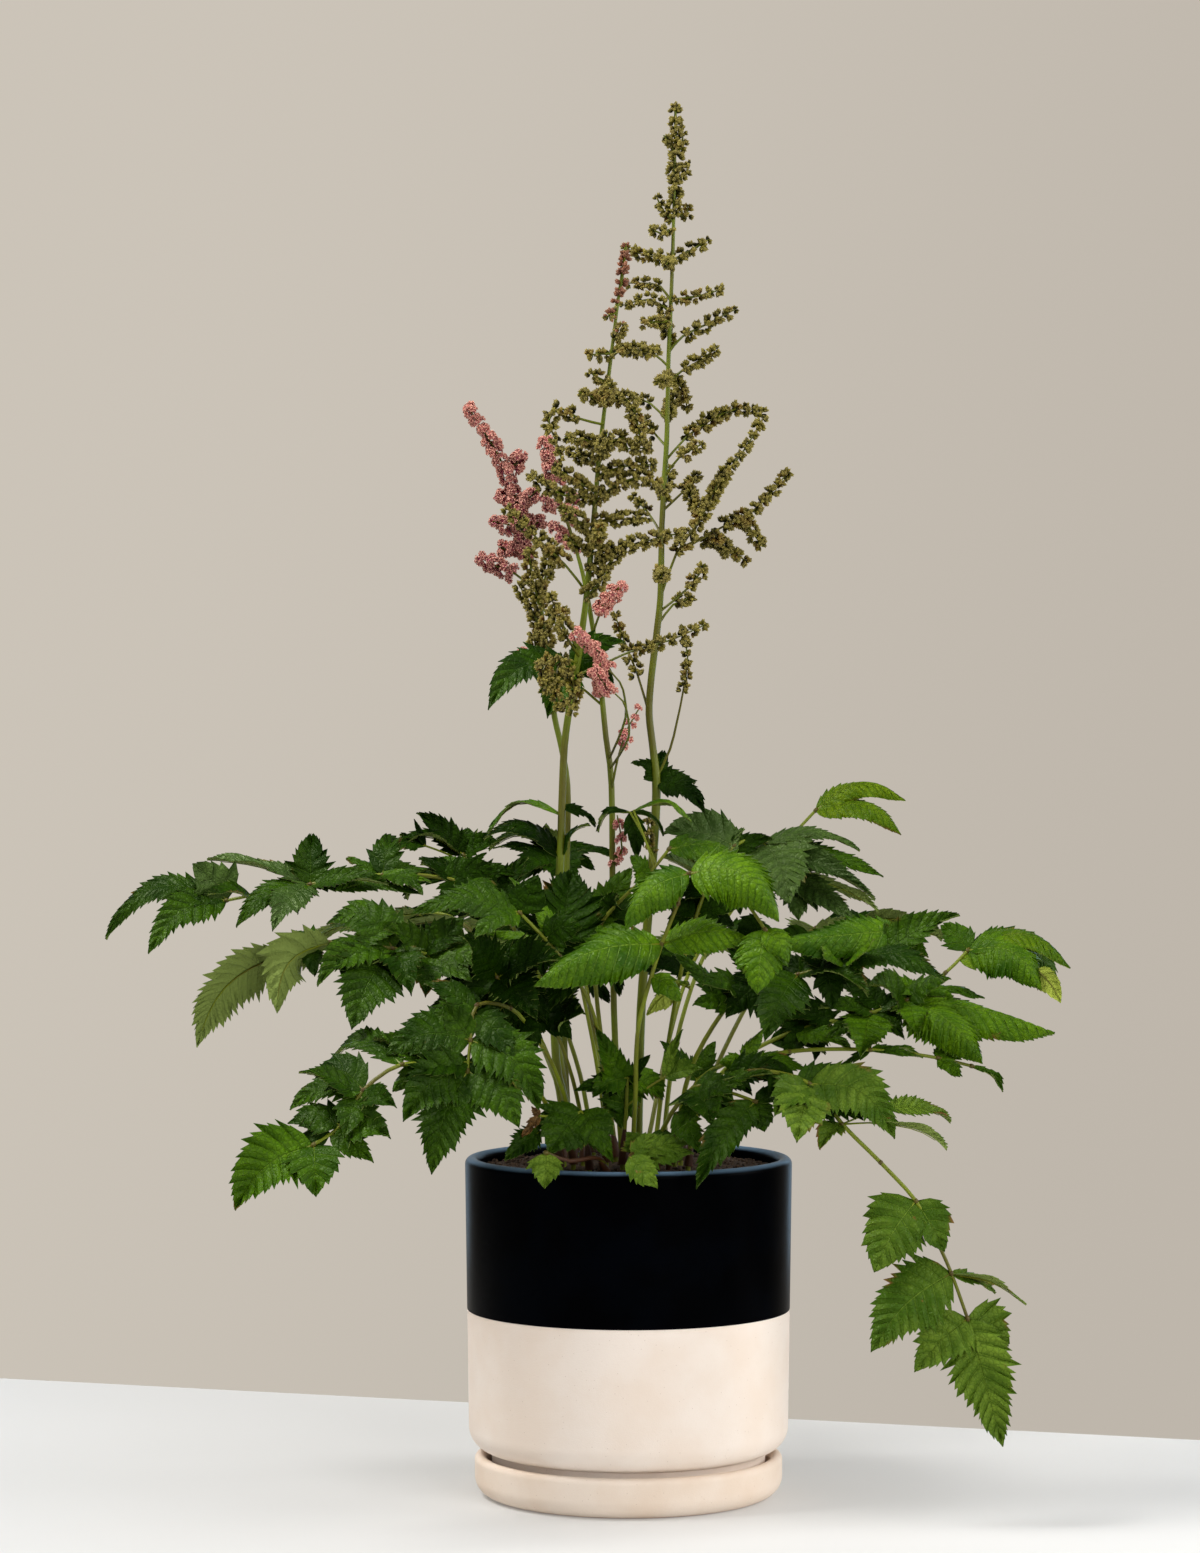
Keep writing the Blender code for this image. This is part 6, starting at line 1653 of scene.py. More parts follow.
@dataclass
class Blade:
    """Mesh of a leaflet: sheared rows that follow the side veins into the teeth."""

    leaflet: Leaflet
    rng: random.Random
    thickness: float = 0.45
    columns: int = 6
    rows_per_tooth: int = 4
    tooth_pitch: float = 7.0
    shear: float = 0.14
    tooth_shares: tuple[float, ...] = (1.2, 0.87, 1.07, 0.93)
    tooth_leans: tuple[float, ...] = (0.5, 0.02, 0.42, 0.05)
    pleat: float = 0.85
    broad: float = 34.0
    groove: float = 0.5
    soft: bool = False

    def __post_init__(self) -> None:
        """Draws this leaflet's own small differences."""
        length = self.leaflet.length / MM
        pitch = self.tooth_pitch * (0.78 if self.soft else 1)
        self.teeth = max(4, min(13, round(length / pitch)))
        self.rows = self.teeth * self.rows_per_tooth
        depth = 0.6 if self.soft else 1.0
        self.bite = [[self.rng.uniform(0.6, 1.75) * depth for _ in range(self.teeth + 1)]
                     for _ in range(2)]
        self.tint = self.rng.random()
        self.cup = self.rng.uniform(-0.38, -0.12) if self.soft else self.rng.uniform(-0.14, 0.2)
        self.wave = self.rng.uniform(0.6, 2.0)
        self.wave_start = self.rng.uniform(0, math.tau)
        self.droop = self.rng.uniform(0.0, 0.13)
        self.lobe = [(self.rng.uniform(0.03, 0.11), self.rng.uniform(0, math.tau))
                     for _ in range(2)]

    def outline_share(self, row: int, side: int) -> tuple[float, float]:
        """Tooth size and forward lean of a row's end on side 1 or -1.

        Args:
            row: Row from the base.
            side: Side of the midrib.

        Returns:
            The share of the half width, and the lean as a share of the length.
        """
        if row in (0, self.rows):
            return 1.0, 0.0
        tooth, k = divmod(row, self.rows_per_tooth)
        bite = self.bite[(side + 1) // 2][tooth]
        size, start = self.lobe[(side + 1) // 2]
        lobe = 1 + size * math.sin(row / self.rows * 14 + start)
        return (1 + (self.tooth_shares[k] - 1) * bite) * lobe, self.tooth_leans[k] / self.teeth

    def point(self, row: int, u: float) -> tuple[Vector, Vector]:
        """Works out a point of the blade's upper side.

        Args:
            row: Row from the base, 0, to the tip.
            u: Place across, from -1 to 1.

        Returns:
            The point and the blade's outward direction there.
        """
        leaf = self.leaflet
        start = leaf.bare
        t = row / self.rows
        side = 1 if u > 0 else -1
        share, lean = self.outline_share(row, side)
        s = start + (1 - start) * t
        bow = math.sin(math.pi * t ** 0.85)
        out_t = min(t + self.shear * bow + lean, 1.0)
        s_out = start + (1 - start) * out_t
        reach = abs(u)
        share = 1 + (share - 1) * reach ** 3 if 0.04 < out_t < 0.985 else 1.0
        half = max(leaf.half_width(s_out) * share, 0.25 * MM)
        at = s + (s_out - s) * reach ** 1.25
        sideways, normal = leaf.frame_at(at)
        point = leaf.midrib(at) + sideways * half * reach * side
        size = leaf.width * MM
        phase = row / self.rows_per_tooth
        # Pleats between the side veins, the midrib's groove, then cup, waves and droop
        pleat = self.pleat * (0.5 if self.soft else 1.0) * MM
        pleat *= min(size / (self.broad * MM), 1.2)
        rise = -math.cos(math.tau * phase) * pleat * math.sin(math.pi * reach)
        rise -= self.groove * MM * math.exp(-(reach * 5) ** 2)
        rise += size * self.cup * reach ** 2 * bow
        rise += math.sin(t * 9 + self.wave_start + side) * self.wave * MM * reach ** 2 * bow
        rise -= leaf.length * self.droop * t ** 4
        return point + normal * rise, normal

    def mesh(self) -> Mesh:
        """Builds the closed blade.

        Returns:
            A mesh with the leaf attributes on its points.
        """
        bm = bmesh.new()
        layers = leaf_layers(bm)
        bmesh.ops.create_grid(bm, x_segments=self.columns, y_segments=self.rows, size=1)
        normals = {}
        for vert in bm.verts:
            u = vert.co.x
            row = round((vert.co.y + 1) / 2 * self.rows)
            place, normal = self.point(row, u)
            values = (u, row / self.rows_per_tooth, self.tint, 0.0)
            for layer, value in zip(layers, values):
                vert[layer] = value
            vert.co = place
            normals[(round(u * self.columns), row)] = normal
        made = bmesh.ops.extrude_face_region(bm, geom=bm.faces[:], use_keep_orig=True)
        for vert in made["geom"]:
            if isinstance(vert, bmesh.types.BMVert):
                key = (round(vert[layers[0]] * self.columns),
                       round(vert[layers[1]] * self.rows_per_tooth))
                vert.co -= normals[key] * self.thickness * MM
                vert[layers[3]] = 1.0
        bmesh.ops.recalc_face_normals(bm, faces=bm.faces)
        return mesh_from(bm, "blade")


def add_leaflet(growth: Growth, leaflet: Leaflet, rng: random.Random, blade_slot: int,
                soft: bool = False) -> None:
    """Adds a blade with its petiolule and the midrib that stands out below it.

    Args:
        growth: Where it grows.
        leaflet: Its layout.
        rng: Seeded draws.
        blade_slot: Finish of the blade.
        soft: Whether it is a young leaflet with fine teeth and margins that curl down.
    """
    blade = Blade(leaflet, rng, soft=soft)
    mesh = blade.mesh()
    growth.add_mesh(mesh, blade_slot)
    bpy.data.meshes.remove(mesh)
    stations = [i / 8 for i in range(8)]
    line = []
    for s in stations:
        t = max(s - leaflet.bare, 0) / (1 - leaflet.bare)
        below = (1.3 if t > 0.05 else 0.3) * MM + leaflet.length * blade.droop * t ** 4
        line.append(leaflet.midrib(s) - leaflet.frame_at(s)[1] * below)
    growth.add_tube(line, [0.6 - 0.45 * s for s in stations], 0, 0.0, 4)


def add_joint(growth: Growth, place: Vector, along: Vector, radius: float, slot: int) -> None:
    """Adds the swollen joint where leaflets leave the rachis.

    Args:
        growth: Where it is.
        place: Its middle.
        along: Direction of the stem.
        radius: The stem's radius, in millimetres.
        slot: Finish.
    """
    ball = bmesh.new()
    bmesh.ops.create_uvsphere(ball, u_segments=8, v_segments=6, radius=radius * 1.35 * MM)
    bmesh.ops.scale(ball, vec=(1, 1, 1.5), verts=ball.verts)
    mesh = mesh_from(ball, "joint")
    turn = along.to_track_quat("Z", "Y").to_matrix().to_4x4()
    growth.add_mesh(mesh, slot, (0.0, 0.0, 0.7, 0.0), Matrix.Translation(place) @ turn)
    bpy.data.meshes.remove(mesh)


def add_stem(growth: Growth, stem: Stem, joints: bool) -> None:
    """Adds a growth's main stem, and its joints.

    Args:
        growth: Where it grows.
        stem: Its layout.
        joints: Whether its nodes are swollen.
    """
    steps = 3
    added = growth.add_tube(rounded_path(stem.points, steps), spread(stem.radii, steps), 0)
    dark, end = DARK_STEMS.get(growth.name.removesuffix("_looks"), (0.0, 250.0))
    layer = leaf_layers(growth.bm)[2]
    top = 0.0
    for vert in added:
        height = vert.co.z / MM
        top = max(top, height)
        if height > top - 8:
            sheath = min(max((SHEATH_TOP - height) / 14, 0), 1)
            vert[layer] = max(sheath, dark * min(max((end - height) / 25, 0), 1))
    for twig in stem.twigs:
        growth.add_tube(rounded_path(twig, 4), [TWIG_RADIUS * 0.8] * 9, 0, 0.1, 6)
    if not joints:
        return
    foot = next(i for i, p in enumerate(stem.points) if p.z / MM > SOIL_EDGE_TOP - 4)
    low, high = stem.points[foot:foot + 2]
    growth.add_tube([low.lerp(high, share) for share in (0, 0.35, 0.7)], SHEATH_RADII, 0, 1.0)
    for i, bend in enumerate(stem.bends[2:], start=2):
        ahead = stem.bends[min(i + 1, len(stem.bends) - 1)] - stem.bends[i - 1]
        add_joint(growth, bend, ahead.normalized(), PETIOLE_END_RADIUS * 1.1, 0)


def leaflet_tones(leaflets: Sequence[Leaflet], own: Tone) -> list[Tone]:
    """Leaf colours that a piece needs, its own first."""
    others = {leaflet.tone for leaflet in leaflets} - {None, own}
    return [own] + sorted(others, key=lambda tone: tone.value)


@dataclass
class Frond:
    """A compound leaf: petiole, rachis, joints and toothed leaflets."""

    name: str
    stem: Stem
    leaflets: list[Leaflet]
    tone: Tone

    def build(self, finishes: Finishes) -> Piece:
        """Builds the frond's piece.

        Args:
            finishes: The plant's materials.

        Returns:
            The object.
        """
        rng = random.Random(self.name)
        tones = leaflet_tones(self.leaflets, self.tone)
        growth = Growth(self.name + "_looks",
                        [finishes.petiole] + [finishes.leaves[tone] for tone in tones])
        add_stem(growth, self.stem, True)
        for leaflet in self.leaflets:
            tone = leaflet.tone or self.tone
            add_leaflet(growth, leaflet, rng, 1 + tones.index(tone),
                        tone in (Tone.FRESH, Tone.YELLOWING))
        return growth.done((self.name,))


def capsule_mesh() -> Mesh:
    """Builds a seed capsule with two beaks, 3 mm long, pointing along Z."""
    bm = bmesh.new()
    layers = leaf_layers(bm)
    bmesh.ops.create_uvsphere(bm, u_segments=5, v_segments=4, radius=1.0)
    bmesh.ops.scale(bm, vec=(1.05, 0.95, 1.35), verts=bm.verts)
    for vert in bm.verts:
        vert[layers[3]] = max(0.0, vert.co.z) * 0.28
    for side in (1, -1):
        beak = bmesh.ops.create_cone(bm, cap_ends=True, segments=3, radius1=0.5, radius2=0.0,
                                     depth=1.0)
        turn = Matrix.Translation((0.4 * side, 0, 1.3)) @ Matrix.Rotation(0.35 * side, 4, "Y")
        bmesh.ops.transform(bm, matrix=turn, verts=beak["verts"])
        for vert in beak["verts"]:
            vert[layers[3]] = 0.9 if vert.co.z > 1.5 else 0.1
    return mesh_from(bm, "capsule")


def floret_mesh() -> Mesh:
    """Builds a floret with five blunt petals, 3 mm across, opening along Z."""
    bm = bmesh.new()
    layers = leaf_layers(bm)
    bmesh.ops.create_cone(bm, cap_ends=True, segments=5, radius1=0.4, radius2=0.8, depth=1.4)
    for k in range(5):
        petal = bmesh.ops.create_cone(bm, cap_ends=True, segments=4, radius1=0.3, radius2=0.62,
                                      depth=1.5)
        turn = Matrix.Rotation(math.tau * k / 5, 4, "Z") @ Matrix.Rotation(0.75, 4, "Y")
        bmesh.ops.scale(bm, vec=(0.6, 1, 1), verts=petal["verts"])
        bmesh.ops.translate(bm, vec=(0, 0, 1.1), verts=petal["verts"])
        bmesh.ops.transform(bm, matrix=turn, verts=petal["verts"])
        for vert in petal["verts"]:
            vert[layers[3]] = 0.5 if vert.co.z > 1.1 else 0.0
    return mesh_from(bm, "floret")


@dataclass
class FlowerStalk:
    """A stalk with racemes of capsules or florets in clusters, and its stem leaves."""

    name: str
    stem: Stem
    leaflets: list[Leaflet]
    racemes: list[Raceme]
    head: Head
    size: float = 1.5
    whorl_pitch: float = 0.0074
    whorl_pull: float = 0.35
    thin_radius: float = 3.4
    dense_radius: float = 4.0
    dry_height: float = 725.0
    pale_aside: float = -42.0
    pale_height: float = 625.0

    def build(self, finishes: Finishes) -> Piece:
        """Builds the stalk's piece.

        Args:
            finishes: The plant's materials.

        Returns:
            The object.
        """
        rng = random.Random(self.name)
        pink = self.head is Head.FLORETS
        grain = finishes.floret if pink else finishes.capsule
        tones = leaflet_tones(self.leaflets, Tone.SHADED)
        growth = Growth(self.name + "_looks",
                        [finishes.seed_stalk, grain, finishes.dry_capsule]
                        + [finishes.leaves[tone] for tone in tones])
        add_stem(growth, self.stem, False)
        repeat = floret_mesh() if pink else capsule_mesh()
        for raceme in self.racemes:
            part = Growth(self.name + "_raceme", ())
            self.add_raceme(part, raceme, repeat, rng)
            growth.take(part)
        bpy.data.meshes.remove(repeat)
        for leaflet in self.leaflets:
            add_leaflet(growth, leaflet, rng, 3 + tones.index(leaflet.tone or Tone.SHADED))
        return growth.done((self.name,))

    def add_raceme(self, growth: Growth, raceme: Raceme, repeat: Mesh,
                   rng: random.Random) -> None:
        """Adds a twig and what crowds round it.

        Args:
            growth: Where it grows.
            raceme: Its layout.
            repeat: Capsule or floret, in millimetres.
            rng: Seeded draws.
        """
        path = rounded_path(smooth_path(raceme.points), 2)
        last = len(path) - 1
        growth.add_tube(path, [TWIG_RADIUS * (1 - 0.5 * i / last) for i in range(last + 1)], 0,
                        0.2, 6)
        lengths = [(path[i + 1] - path[i]).length for i in range(last)]
        total = sum(lengths)
        bare = (raceme.points[raceme.first] - raceme.points[0]).length
        start = max(bare, 1.5 * MM)
        thin = raceme.radius < self.thin_radius
        pitch = (5.0 if thin and self.head is Head.FLORETS else 2.5) * MM
        count = max(round((total - start) / pitch), 2)
        angle = rng.uniform(0, math.tau)
        for k in range(count):
            left = start + (total - start) * (k + rng.uniform(0.3, 0.7)) / count
            whorl = round(left / self.whorl_pitch)
            left += (whorl * self.whorl_pitch - left) * self.whorl_pull
            left = min(max(left, start), total)
            share = left / total
            i = 0
            while i < last - 1 and left > lengths[i]:
                left -= lengths[i]
                i += 1
            spot = path[i].lerp(path[i + 1], min(left / lengths[i], 1))
            along = (path[i + 1] - path[i]).normalized()
            up = across(Vector((0.2, 0.1, 1)), along)
            # Whorls differ in size, in an order that looks random
            taper = (1 - 0.5 * share ** 3) * (0.82 + 0.36 * ((whorl * 7919) % 13) / 12)
            for _ in range(3 if raceme.radius > self.dense_radius else 2):
                angle += 2.2 + rng.uniform(-0.4, 0.4)
                out = up * math.cos(angle) + along.cross(up) * math.sin(angle)
                away = raceme.radius * taper * rng.uniform(0.25, 0.9)
                self.add_cluster(growth, repeat, spot + out * away * MM, out + along * 0.5,
                                 min(taper, 1.0) * (0.7 if thin else 1.0), rng)

    def add_cluster(self, growth: Growth, repeat: Mesh, middle: Vector, way: Vector,
                    taper: float, rng: random.Random) -> None:
        """Adds a knot of capsules or florets that point away from its middle.

        Args:
            growth: Where it grows.
            repeat: Capsule or floret, in millimetres.
            middle: The knot's middle.
            way: Direction that it faces.
            taper: Size share, smaller towards the raceme's end.
            rng: Seeded draws.
        """
        way = way.normalized()
        side = across(Vector((0.3, 0.5, 1)), way)
        turn = rng.uniform(0, math.tau)
        for k in range(rng.choice((3, 4, 4, 4))):
            turn += math.tau / 3.6
            spread_out = side * math.cos(turn) + way.cross(side) * math.sin(turn)
            tip = (way * rng.uniform(0.4, 1.2) + spread_out * (0.9 if k else 0.1)).normalized()
            size = self.size * rng.uniform(0.75, 1.15) * (0.55 + 0.45 * taper)
            place = Matrix.Translation(middle + tip * size * 0.95 * MM)
            place = place @ tip.to_track_quat("Z", "Y").to_matrix().to_4x4()
            place = place @ Matrix.Rotation(rng.uniform(0, math.tau), 4, "Z")
            self.add_repeat(growth, repeat, place @ Matrix.Scale(size * MM, 4), rng)

    def add_repeat(self, growth: Growth, repeat: Mesh, place: Matrix,
                   rng: random.Random) -> None:
        """Adds one capsule or floret with its own tint.

        Args:
            growth: Where it grows.
            repeat: Capsule or floret.
            place: Its place and size.
            rng: Seeded draws.
        """
        height = place.translation.z / MM
        dry = (self.name == "stalk_leaning"
               and height > self.dry_height + rng.uniform(-12, 12))
        added = growth.add_mesh(repeat, 2 if dry else 1, None, place)
        tint_layer = leaf_layers(growth.bm)[2]
        tint = rng.random() ** 1.6
        if self.head is Head.FLORETS:
            aside = place.translation.x / MM
            top = min(max((height - self.pale_height) / 40, 0), 1)
            tint = tint * 0.45 + 0.45 * (aside > self.pale_aside) + 0.4 * top
        for vert in added:
            vert[tint_layer] = tint


def lathe(name: str, profile: Sequence[tuple[float, float]], sides: int = 128) -> Mesh:
    """Turns an outline round the Z axis.

    Args:
        name: The mesh's name.
        profile: Closed outline as (radius, height) in millimetres.
        sides: Faces round it.

    Returns:
        A closed mesh.
    """
    bm = bmesh.new()
    verts = [bm.verts.new((r * MM, 0, z * MM)) for r, z in profile]
    edges = []
    for i, vert in enumerate(verts):
        after = (i + 1) % len(verts)
        if profile[i][0] or profile[after][0]:
            edges.append(bm.edges.new((vert, verts[after])))
    bmesh.ops.spin(bm, geom=verts + edges, cent=(0, 0, 0), axis=(0, 0, 1), angle=math.tau,
                   steps=sides, use_merge=True)
    bmesh.ops.remove_doubles(bm, verts=bm.verts, dist=0.005 * MM)
    bmesh.ops.recalc_face_normals(bm, faces=bm.faces)
    return mesh_from(bm, name)


def arc(radius: float, height: float, size: float, start: float, stop: float,
        steps: int) -> list[tuple[float, float]]:
    """Points of a rounding.

    Args:
        radius: Radius of its centre from the axis.
        height: Height of its centre.
        size: Its own radius.
        start: First angle in degrees.
        stop: Last angle in degrees.
        steps: Stretches.

    Returns:
        The points as (radius, height).
    """
    points = []
    for i in range(steps + 1):
        turn = math.radians(start + (stop - start) * i / steps)
        points.append((radius + size * math.cos(turn), height + size * math.sin(turn)))
    return points


@dataclass
class Saucer:
    """Round stoneware dish, a little more tan than the pot."""

    clay: Color = (0.84, 0.725, 0.62)
    warm: Color = (0.78, 0.635, 0.51)

    def build(self) -> Piece:
        """Builds the saucer with rounded rim and base edges."""
        inner = SAUCER_RIM_RADIUS - SAUCER_WALL
        lip = SAUCER_WALL / 2
        profile = [(0, 0)]
        profile += arc(SAUCER_BASE_RADIUS, SAUCER_CORNER, SAUCER_CORNER, -90, -2, 9)
        profile += arc(SAUCER_RIM_RADIUS - lip, SAUCER_HEIGHT - lip, lip, -8, 188, 14)
        profile += arc(inner - 6.5, SAUCER_FLOOR + 4.5, 4.5, -12, -90, 5)
        profile += [(0, SAUCER_FLOOR)]
        finish = BisqueFinish("saucer", self.clay, self.warm).make()
        return finished(lathe("saucer_looks", profile), (finish,), ("saucer",), 60)


@dataclass
class Pot:
    """Stoneware pot: bare body below, dark glaze above and inside."""

    glaze_depth: float = 0.35
    clay: Color = (0.86, 0.765, 0.685)
    warm: Color = (0.82, 0.7, 0.6)

    def body(self) -> Piece:
        """Builds the bare stoneware body."""
        skin = self.glaze_depth
        foot = SAUCER_FLOOR + GAP
        inner = POT_RIM_RADIUS - POT_WALL + skin
        lip = POT_WALL / 2
        floor_top = foot + FOOT_RECESS + POT_FLOOR
        profile = [(POT_FOOT_RADIUS - 9, foot), (POT_FOOT_RADIUS - 1, foot),
                   (POT_FOOT_RADIUS, foot + 1), (POT_FOOT_RADIUS, SHOULDER_BOTTOM - 0.6)]
        profile += arc(POT_DRUM_RADIUS - SHOULDER, SHOULDER_BOTTOM + SHOULDER, SHOULDER,
                       -80, 0, 14)
        profile += [(LINE_RADIUS - 0.15, GLAZE_LINE - 5), (LINE_RADIUS - skin, GLAZE_LINE),
                    (POT_RIM_RADIUS - skin, POT_RIM_TOP - lip)]
        profile += arc(POT_RIM_RADIUS - lip, POT_RIM_TOP - lip, lip - skin, 10, 180, 12)
        profile += [(inner - 2, 60), (POT_FOOT_RADIUS - 5, 30), (POT_FOOT_RADIUS - 14, floor_top),
                    (DRAIN_RADIUS, floor_top), (DRAIN_RADIUS, foot + FOOT_RECESS),
                    (POT_FOOT_RADIUS - 10, foot + FOOT_RECESS)]
        finish = BisqueFinish("pot", self.clay, self.warm).make()
        return finished(lathe("pot_body_looks", profile), (finish,), ("pot",), 60)

    def glaze(self) -> Piece:
        """Builds the coat of glaze over the upper body, rim and inside."""
        skin = self.glaze_depth
        lip = POT_WALL / 2
        inner = POT_RIM_RADIUS - POT_WALL
        low_inside = SOIL_EDGE_TOP - 12
        outside = [(LINE_RADIUS - skin, GLAZE_LINE), (LINE_RADIUS - 0.08, GLAZE_LINE - 0.05),
                   (LINE_RADIUS + 0.02, GLAZE_LINE + 0.6), (POT_RIM_RADIUS, POT_RIM_TOP - lip)]
        rim = arc(POT_RIM_RADIUS - lip, POT_RIM_TOP - lip, lip, 12, 180, 14)
        back = [(inner, low_inside), (inner + skin, low_inside), (inner + skin, POT_RIM_TOP - lip)]
        under = arc(POT_RIM_RADIUS - lip, POT_RIM_TOP - lip, lip - skin, 10, 170, 12)[::-1]
        profile = outside + rim + back + under + [(POT_RIM_RADIUS - skin, POT_RIM_TOP - lip)]
        mesh = lathe("pot_glaze_looks", profile)
        return finished(mesh, (GlazeFinish().make(),), (), 60)

    def build(self) -> None:
        """Builds body and glaze."""
        self.body()
        self.glaze()


@dataclass
class Soil:
    """Potting soil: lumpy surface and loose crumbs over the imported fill."""

    cells: int = 72
    lump: float = 1.6
    crumbs: int = 620
    seed: int = 11

    def surface(self, x: float, y: float) -> float:
        """Height of the lumpy surface at a place, all in millimetres."""
        radius = math.hypot(x, y)
        rough = noise.noise(Vector((x, y, 0)) * 0.11) + 0.5 * noise.noise(Vector((x, y, 9)) * 0.33)
        return soil_top(radius) + 0.8 + self.lump * (0.4 + rough)

    def build(self, finish: Material) -> None:
        """Builds the crust and the crumbs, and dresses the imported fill.

        Args:
            finish: Soil material.
        """
        radius = POT_RIM_RADIUS - POT_WALL - GAP
        bm = bmesh.new()
        bmesh.ops.create_grid(bm, x_segments=self.cells, y_segments=self.cells, size=1)
        for vert in bm.verts:
            u, v = vert.co.x, vert.co.y
            x = u * math.sqrt(1 - v * v / 2) * radius
            y = v * math.sqrt(1 - u * u / 2) * radius
            vert.co = Vector((x, y, self.surface(x, y))) * MM
        made = bmesh.ops.extrude_face_region(bm, geom=bm.faces[:], use_keep_orig=True)
        for vert in made["geom"]:
            if isinstance(vert, bmesh.types.BMVert):
                vert.co.z = (SOIL_EDGE_TOP - 1) * MM
        bmesh.ops.recalc_face_normals(bm, faces=bm.faces)
        finished(mesh_from(bm, "soil_crust"), (finish,), (), 80)
        self.scatter(radius, finish)
        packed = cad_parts["soil"]
        packed.data.materials.clear()
        packed.data.materials.append(finish)

    def scatter(self, radius: float, finish: Material) -> None:
        """Scatters loose crumbs, more of them near the rim.

        Args:
            radius: Inside radius of the pot, in millimetres.
            finish: Soil material.
        """
        rng = random.Random(self.seed)
        ball = bmesh.new()
        leaf_layers(ball)
        bmesh.ops.create_icosphere(ball, subdivisions=1, radius=1)
        crumb = mesh_from(ball, "crumb")
        growth = Growth("soil_crumbs", (finish,))
        for _ in range(self.crumbs):
            size = rng.uniform(0.5, 1.9)
            away = (radius - size - 0.5) * rng.random() ** 0.4
            turn = rng.uniform(0, math.tau)
            x, y = away * math.cos(turn), away * math.sin(turn)
            place = Matrix.Translation(Vector((x, y, self.surface(x, y) + size * 0.3)) * MM)
            place = place @ Matrix.Rotation(rng.uniform(0, math.tau), 4, Vector((0.4, 1, 0.3)))
            scale = [size * rng.uniform(0.6, 1.2) * MM for _ in range(3)]
            growth.add_mesh(crumb, 0, None, place @ Matrix.Diagonal((*scale, 1)))
        bpy.data.meshes.remove(crumb)
        growth.done(())


@dataclass
class Finishes:
    """The plant's materials, made once."""

    leaves: dict[Tone, Material]
    petiole: Material
    seed_stalk: Material
    capsule: Material
    dry_capsule: Material
    floret: Material

    @classmethod
    def make(cls) -> Finishes:
        """Makes all of the plant's materials."""
        leaves = {tone: finish.make() for tone, finish in LEAF_FINISHES.items()}
        return cls(leaves, PETIOLE_FINISH.make(), SEED_STALK_FINISH.make(), CAPSULE_FINISH.make(),
                   DRY_CAPSULE_FINISH.make(), FLORET_FINISH.make())


@dataclass
class Plant:
    """All fronds and flower stalks of a layout."""

    layout: Layout

    def build(self) -> None:
        """Builds every frond and stalk."""
        finishes = Finishes.make()
        for name, *_ in self.layout.fronds:
            tone = FROND_TONES.get(name, Tone.DEEP)
            Frond(name, self.layout.stems[name], self.layout.leaflets[name], tone).build(finishes)
        for name, *_ in STALKS:
            head = Head.FLORETS if name == "stalk_pink" else Head.CAPSULES
            FlowerStalk(name, self.layout.stems[name], self.layout.leaflets[name],
                        self.layout.racemes[name], head).build(finishes)


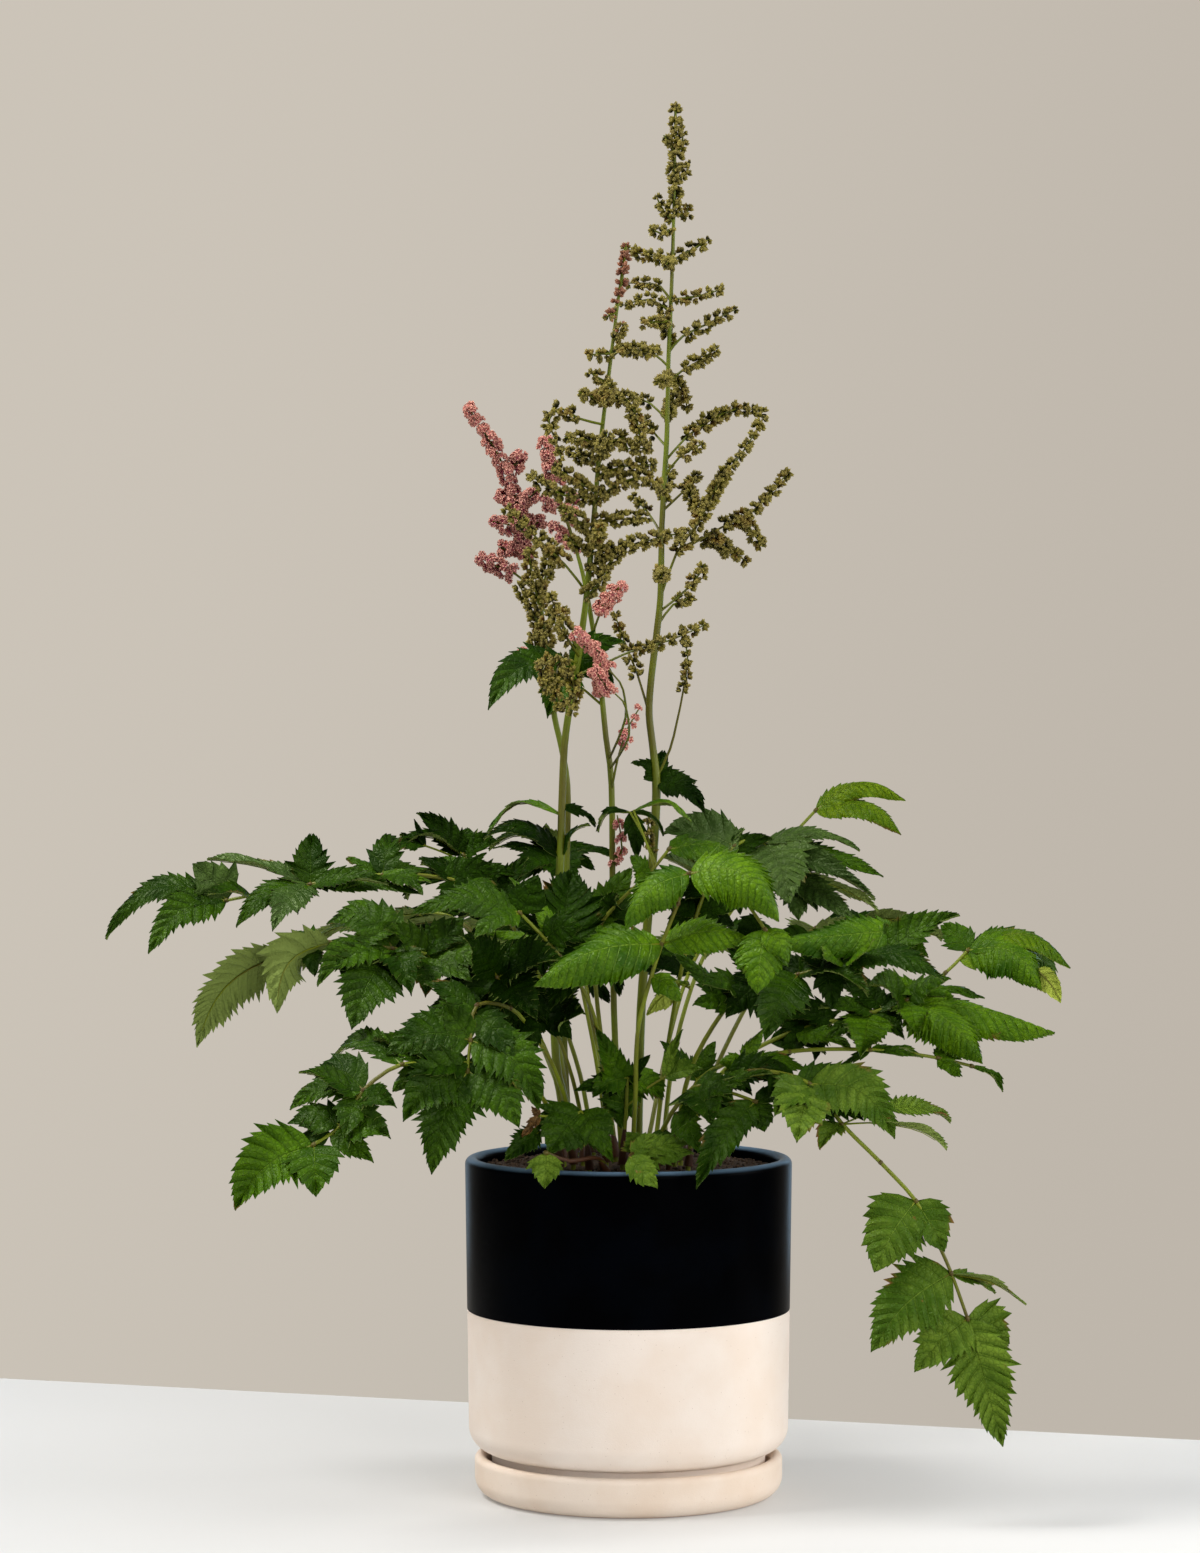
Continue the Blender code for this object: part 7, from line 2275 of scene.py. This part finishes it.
@dataclass
class Studio:
    """Tabletop, backdrop, lights and camera."""

    # Painted light: the backdrop's glow at its left, its right and far out to the sides
    backdrop_left: Color = (0.6, 0.55, 0.48)
    backdrop_right: Color = (0.515, 0.468, 0.407)
    backdrop_far: Color = (0.05, 0.047, 0.042)
    table: Color = (0.47, 0.465, 0.457)
    # Painted light: the tabletop's glow at its left and right
    table_glow_left: Color = (0.17, 0.168, 0.161)
    table_glow_right: Color = (0.31, 0.308, 0.297)
    table_edge: tuple[tuple[float, float], ...] = ((-465, 454), (383, 188))
    table_size: tuple[float, float] = (6000, 4200)
    table_thickness: float = 30

    def build(self) -> None:
        """Sets up the stage, light and camera."""
        self.floor()
        self.wall()
        self.world()
        self.lights()
        self.camera()

    def floor(self) -> None:
        """Builds the tabletop, whose back edge runs at a slant behind the pot, and whose top glows
        as painted light, more to the right.
        """
        (x0, y0), (x1, y1) = self.table_edge
        way = Vector((x1 - x0, y1 - y0, 0)).normalized()
        toward = Vector((way.y, -way.x, 0))
        back = Vector((x0, y0, 0))
        bm = bmesh.new()
        bmesh.ops.create_cube(bm, size=1)
        for vert in bm.verts:
            along = vert.co.x * self.table_size[0]
            depth = (vert.co.y + 0.5) * self.table_size[1]
            below = Vector((0, 0, vert.co.z - 0.5)) * self.table_thickness
            vert.co = (back + way * along + toward * depth + below) * MM
        bmesh.ops.recalc_face_normals(bm, faces=bm.faces)
        mesh = mesh_from(bm, "tabletop")
        # Painted light: the top glows, more to the right, lifting the plant's shadow there
        kit = NodeKit("tabletop_white")
        kit.glow(kit.mix(self.table_glow_left, self.table_glow_right,
                         kit.ramp(kit.xyz()[0], -0.12, 0.33)))
        mesh.materials.append(kit.finish(self.table, 0.6, None, 0.2))
        linked("tabletop", mesh)

    def wall(self) -> None:
        """Builds the far backdrop, which glows as painted light: brighter to the left and upwards,
        dimmer far out to the sides.
        """
        bm = bmesh.new()
        bmesh.ops.create_grid(bm, x_segments=1, y_segments=1, size=4.5)
        bmesh.ops.rotate(bm, cent=(0, 0, 0), matrix=Matrix.Rotation(math.pi / 2, 3, "X"),
                         verts=bm.verts)
        bmesh.ops.scale(bm, vec=(2.3, 1, 1), verts=bm.verts)
        bmesh.ops.translate(bm, vec=(0, 6.5, 0.4), verts=bm.verts)
        mesh = mesh_from(bm, "backdrop")
        kit = NodeKit("backdrop_warm_grey")
        kit.finish((0.0, 0.0, 0.0), 1.0, None, 0.0)
        # Painted light: the glow slants from brighter left to darker right and fades far out to
        # the sides
        x, _, z = kit.xyz()
        slant = kit.math("SUBTRACT", x, kit.times(z, 0.35))
        shade = kit.mix(self.backdrop_left, self.backdrop_right, kit.ramp(slant, -1.9, 1.7))
        far = kit.ramp(kit.math("ABSOLUTE", x), 3.0, 8.0, 0.0, 0.55)
        kit.glow(kit.mix(shade, self.backdrop_far, far))
        mesh.materials.append(kit.material)
        linked("backdrop", mesh)

    def world(self) -> None:
        """Sets the soft light from all round."""
        world = bpy.data.worlds.new("studio")
        world.use_nodes = True
        background = world.node_tree.nodes["Background"]
        background.inputs["Color"].default_value = (0.62, 0.6, 0.57, 1)
        background.inputs["Strength"].default_value = 0.1
        bpy.context.scene.world = world

    def lights(self) -> None:
        """Places the soft boxes."""
        boxes = (("front_left", (-2.6, -1.8, 1.4), 2.2, 2.0, 18, (1.0, 0.99, 0.975)),
                 ("front_right", (1.6, -2.7, 1.5), 2.0, 2.0, 57, (1.0, 0.995, 0.99)),
                 ("side_right", (2.9, -0.2, 1.3), 1.6, 1.6, 50, (1.0, 0.995, 0.99)),
                 ("top_left", (-1.3, -0.35, 2.4), 0.8, 0.8, 68, (1.0, 0.99, 0.97)),
                 ("rim_left", (-1.0, 2.4, 0.5), 0.4, 1.4, 4.0, (0.4, 0.7, 1.0)),
                 ("rim_right", (1.0, 2.4, 0.5), 0.4, 1.4, 5.0, (0.4, 0.7, 1.0)),
                 ("top", (0.2, -0.6, 2.7), 1.4, 1.2, 14, (1.0, 1.0, 1.0)))
        aim = Vector((0, 0, 0.35))
        for name, place, width, height, watts, color in boxes:
            data = bpy.data.lights.new(name, "AREA")
            data.shape = "RECTANGLE"
            data.size, data.size_y = width, height
            data.energy = watts
            data.color = color
            lamp = linked(name, data)
            lamp.location = place
            lamp.rotation_euler = (aim - Vector(place)).to_track_quat("-Z", "Y").to_euler()

    def camera(self) -> None:
        """Places the camera at the photograph's view."""
        data = bpy.data.cameras.new("photo_view")
        data.sensor_width = SENSOR
        data.lens = VIEW_DISTANCE * PIXELS_PER_MM / IMAGE_HEIGHT * SENSOR
        camera = linked("photo_view", data)
        camera.location = Vector((VIEW_ASIDE, -VIEW_DISTANCE, EYE_HEIGHT)) * MM
        camera.rotation_euler = (math.pi / 2, 0, 0)
        bpy.context.scene.camera = camera
        bpy.context.scene.view_settings.view_transform = "Standard"


def main() -> None:
    """Builds the studio, the pottery and the plant, and notes the sizes."""
    logging.basicConfig(level=logging.INFO, format="%(name)s: %(message)s")
    Studio().build()
    Saucer().build()
    Pot().build()
    Soil().build(SoilFinish("potting").make())
    Plant(Layout()).build()


if __name__ == "__main__":
    main()
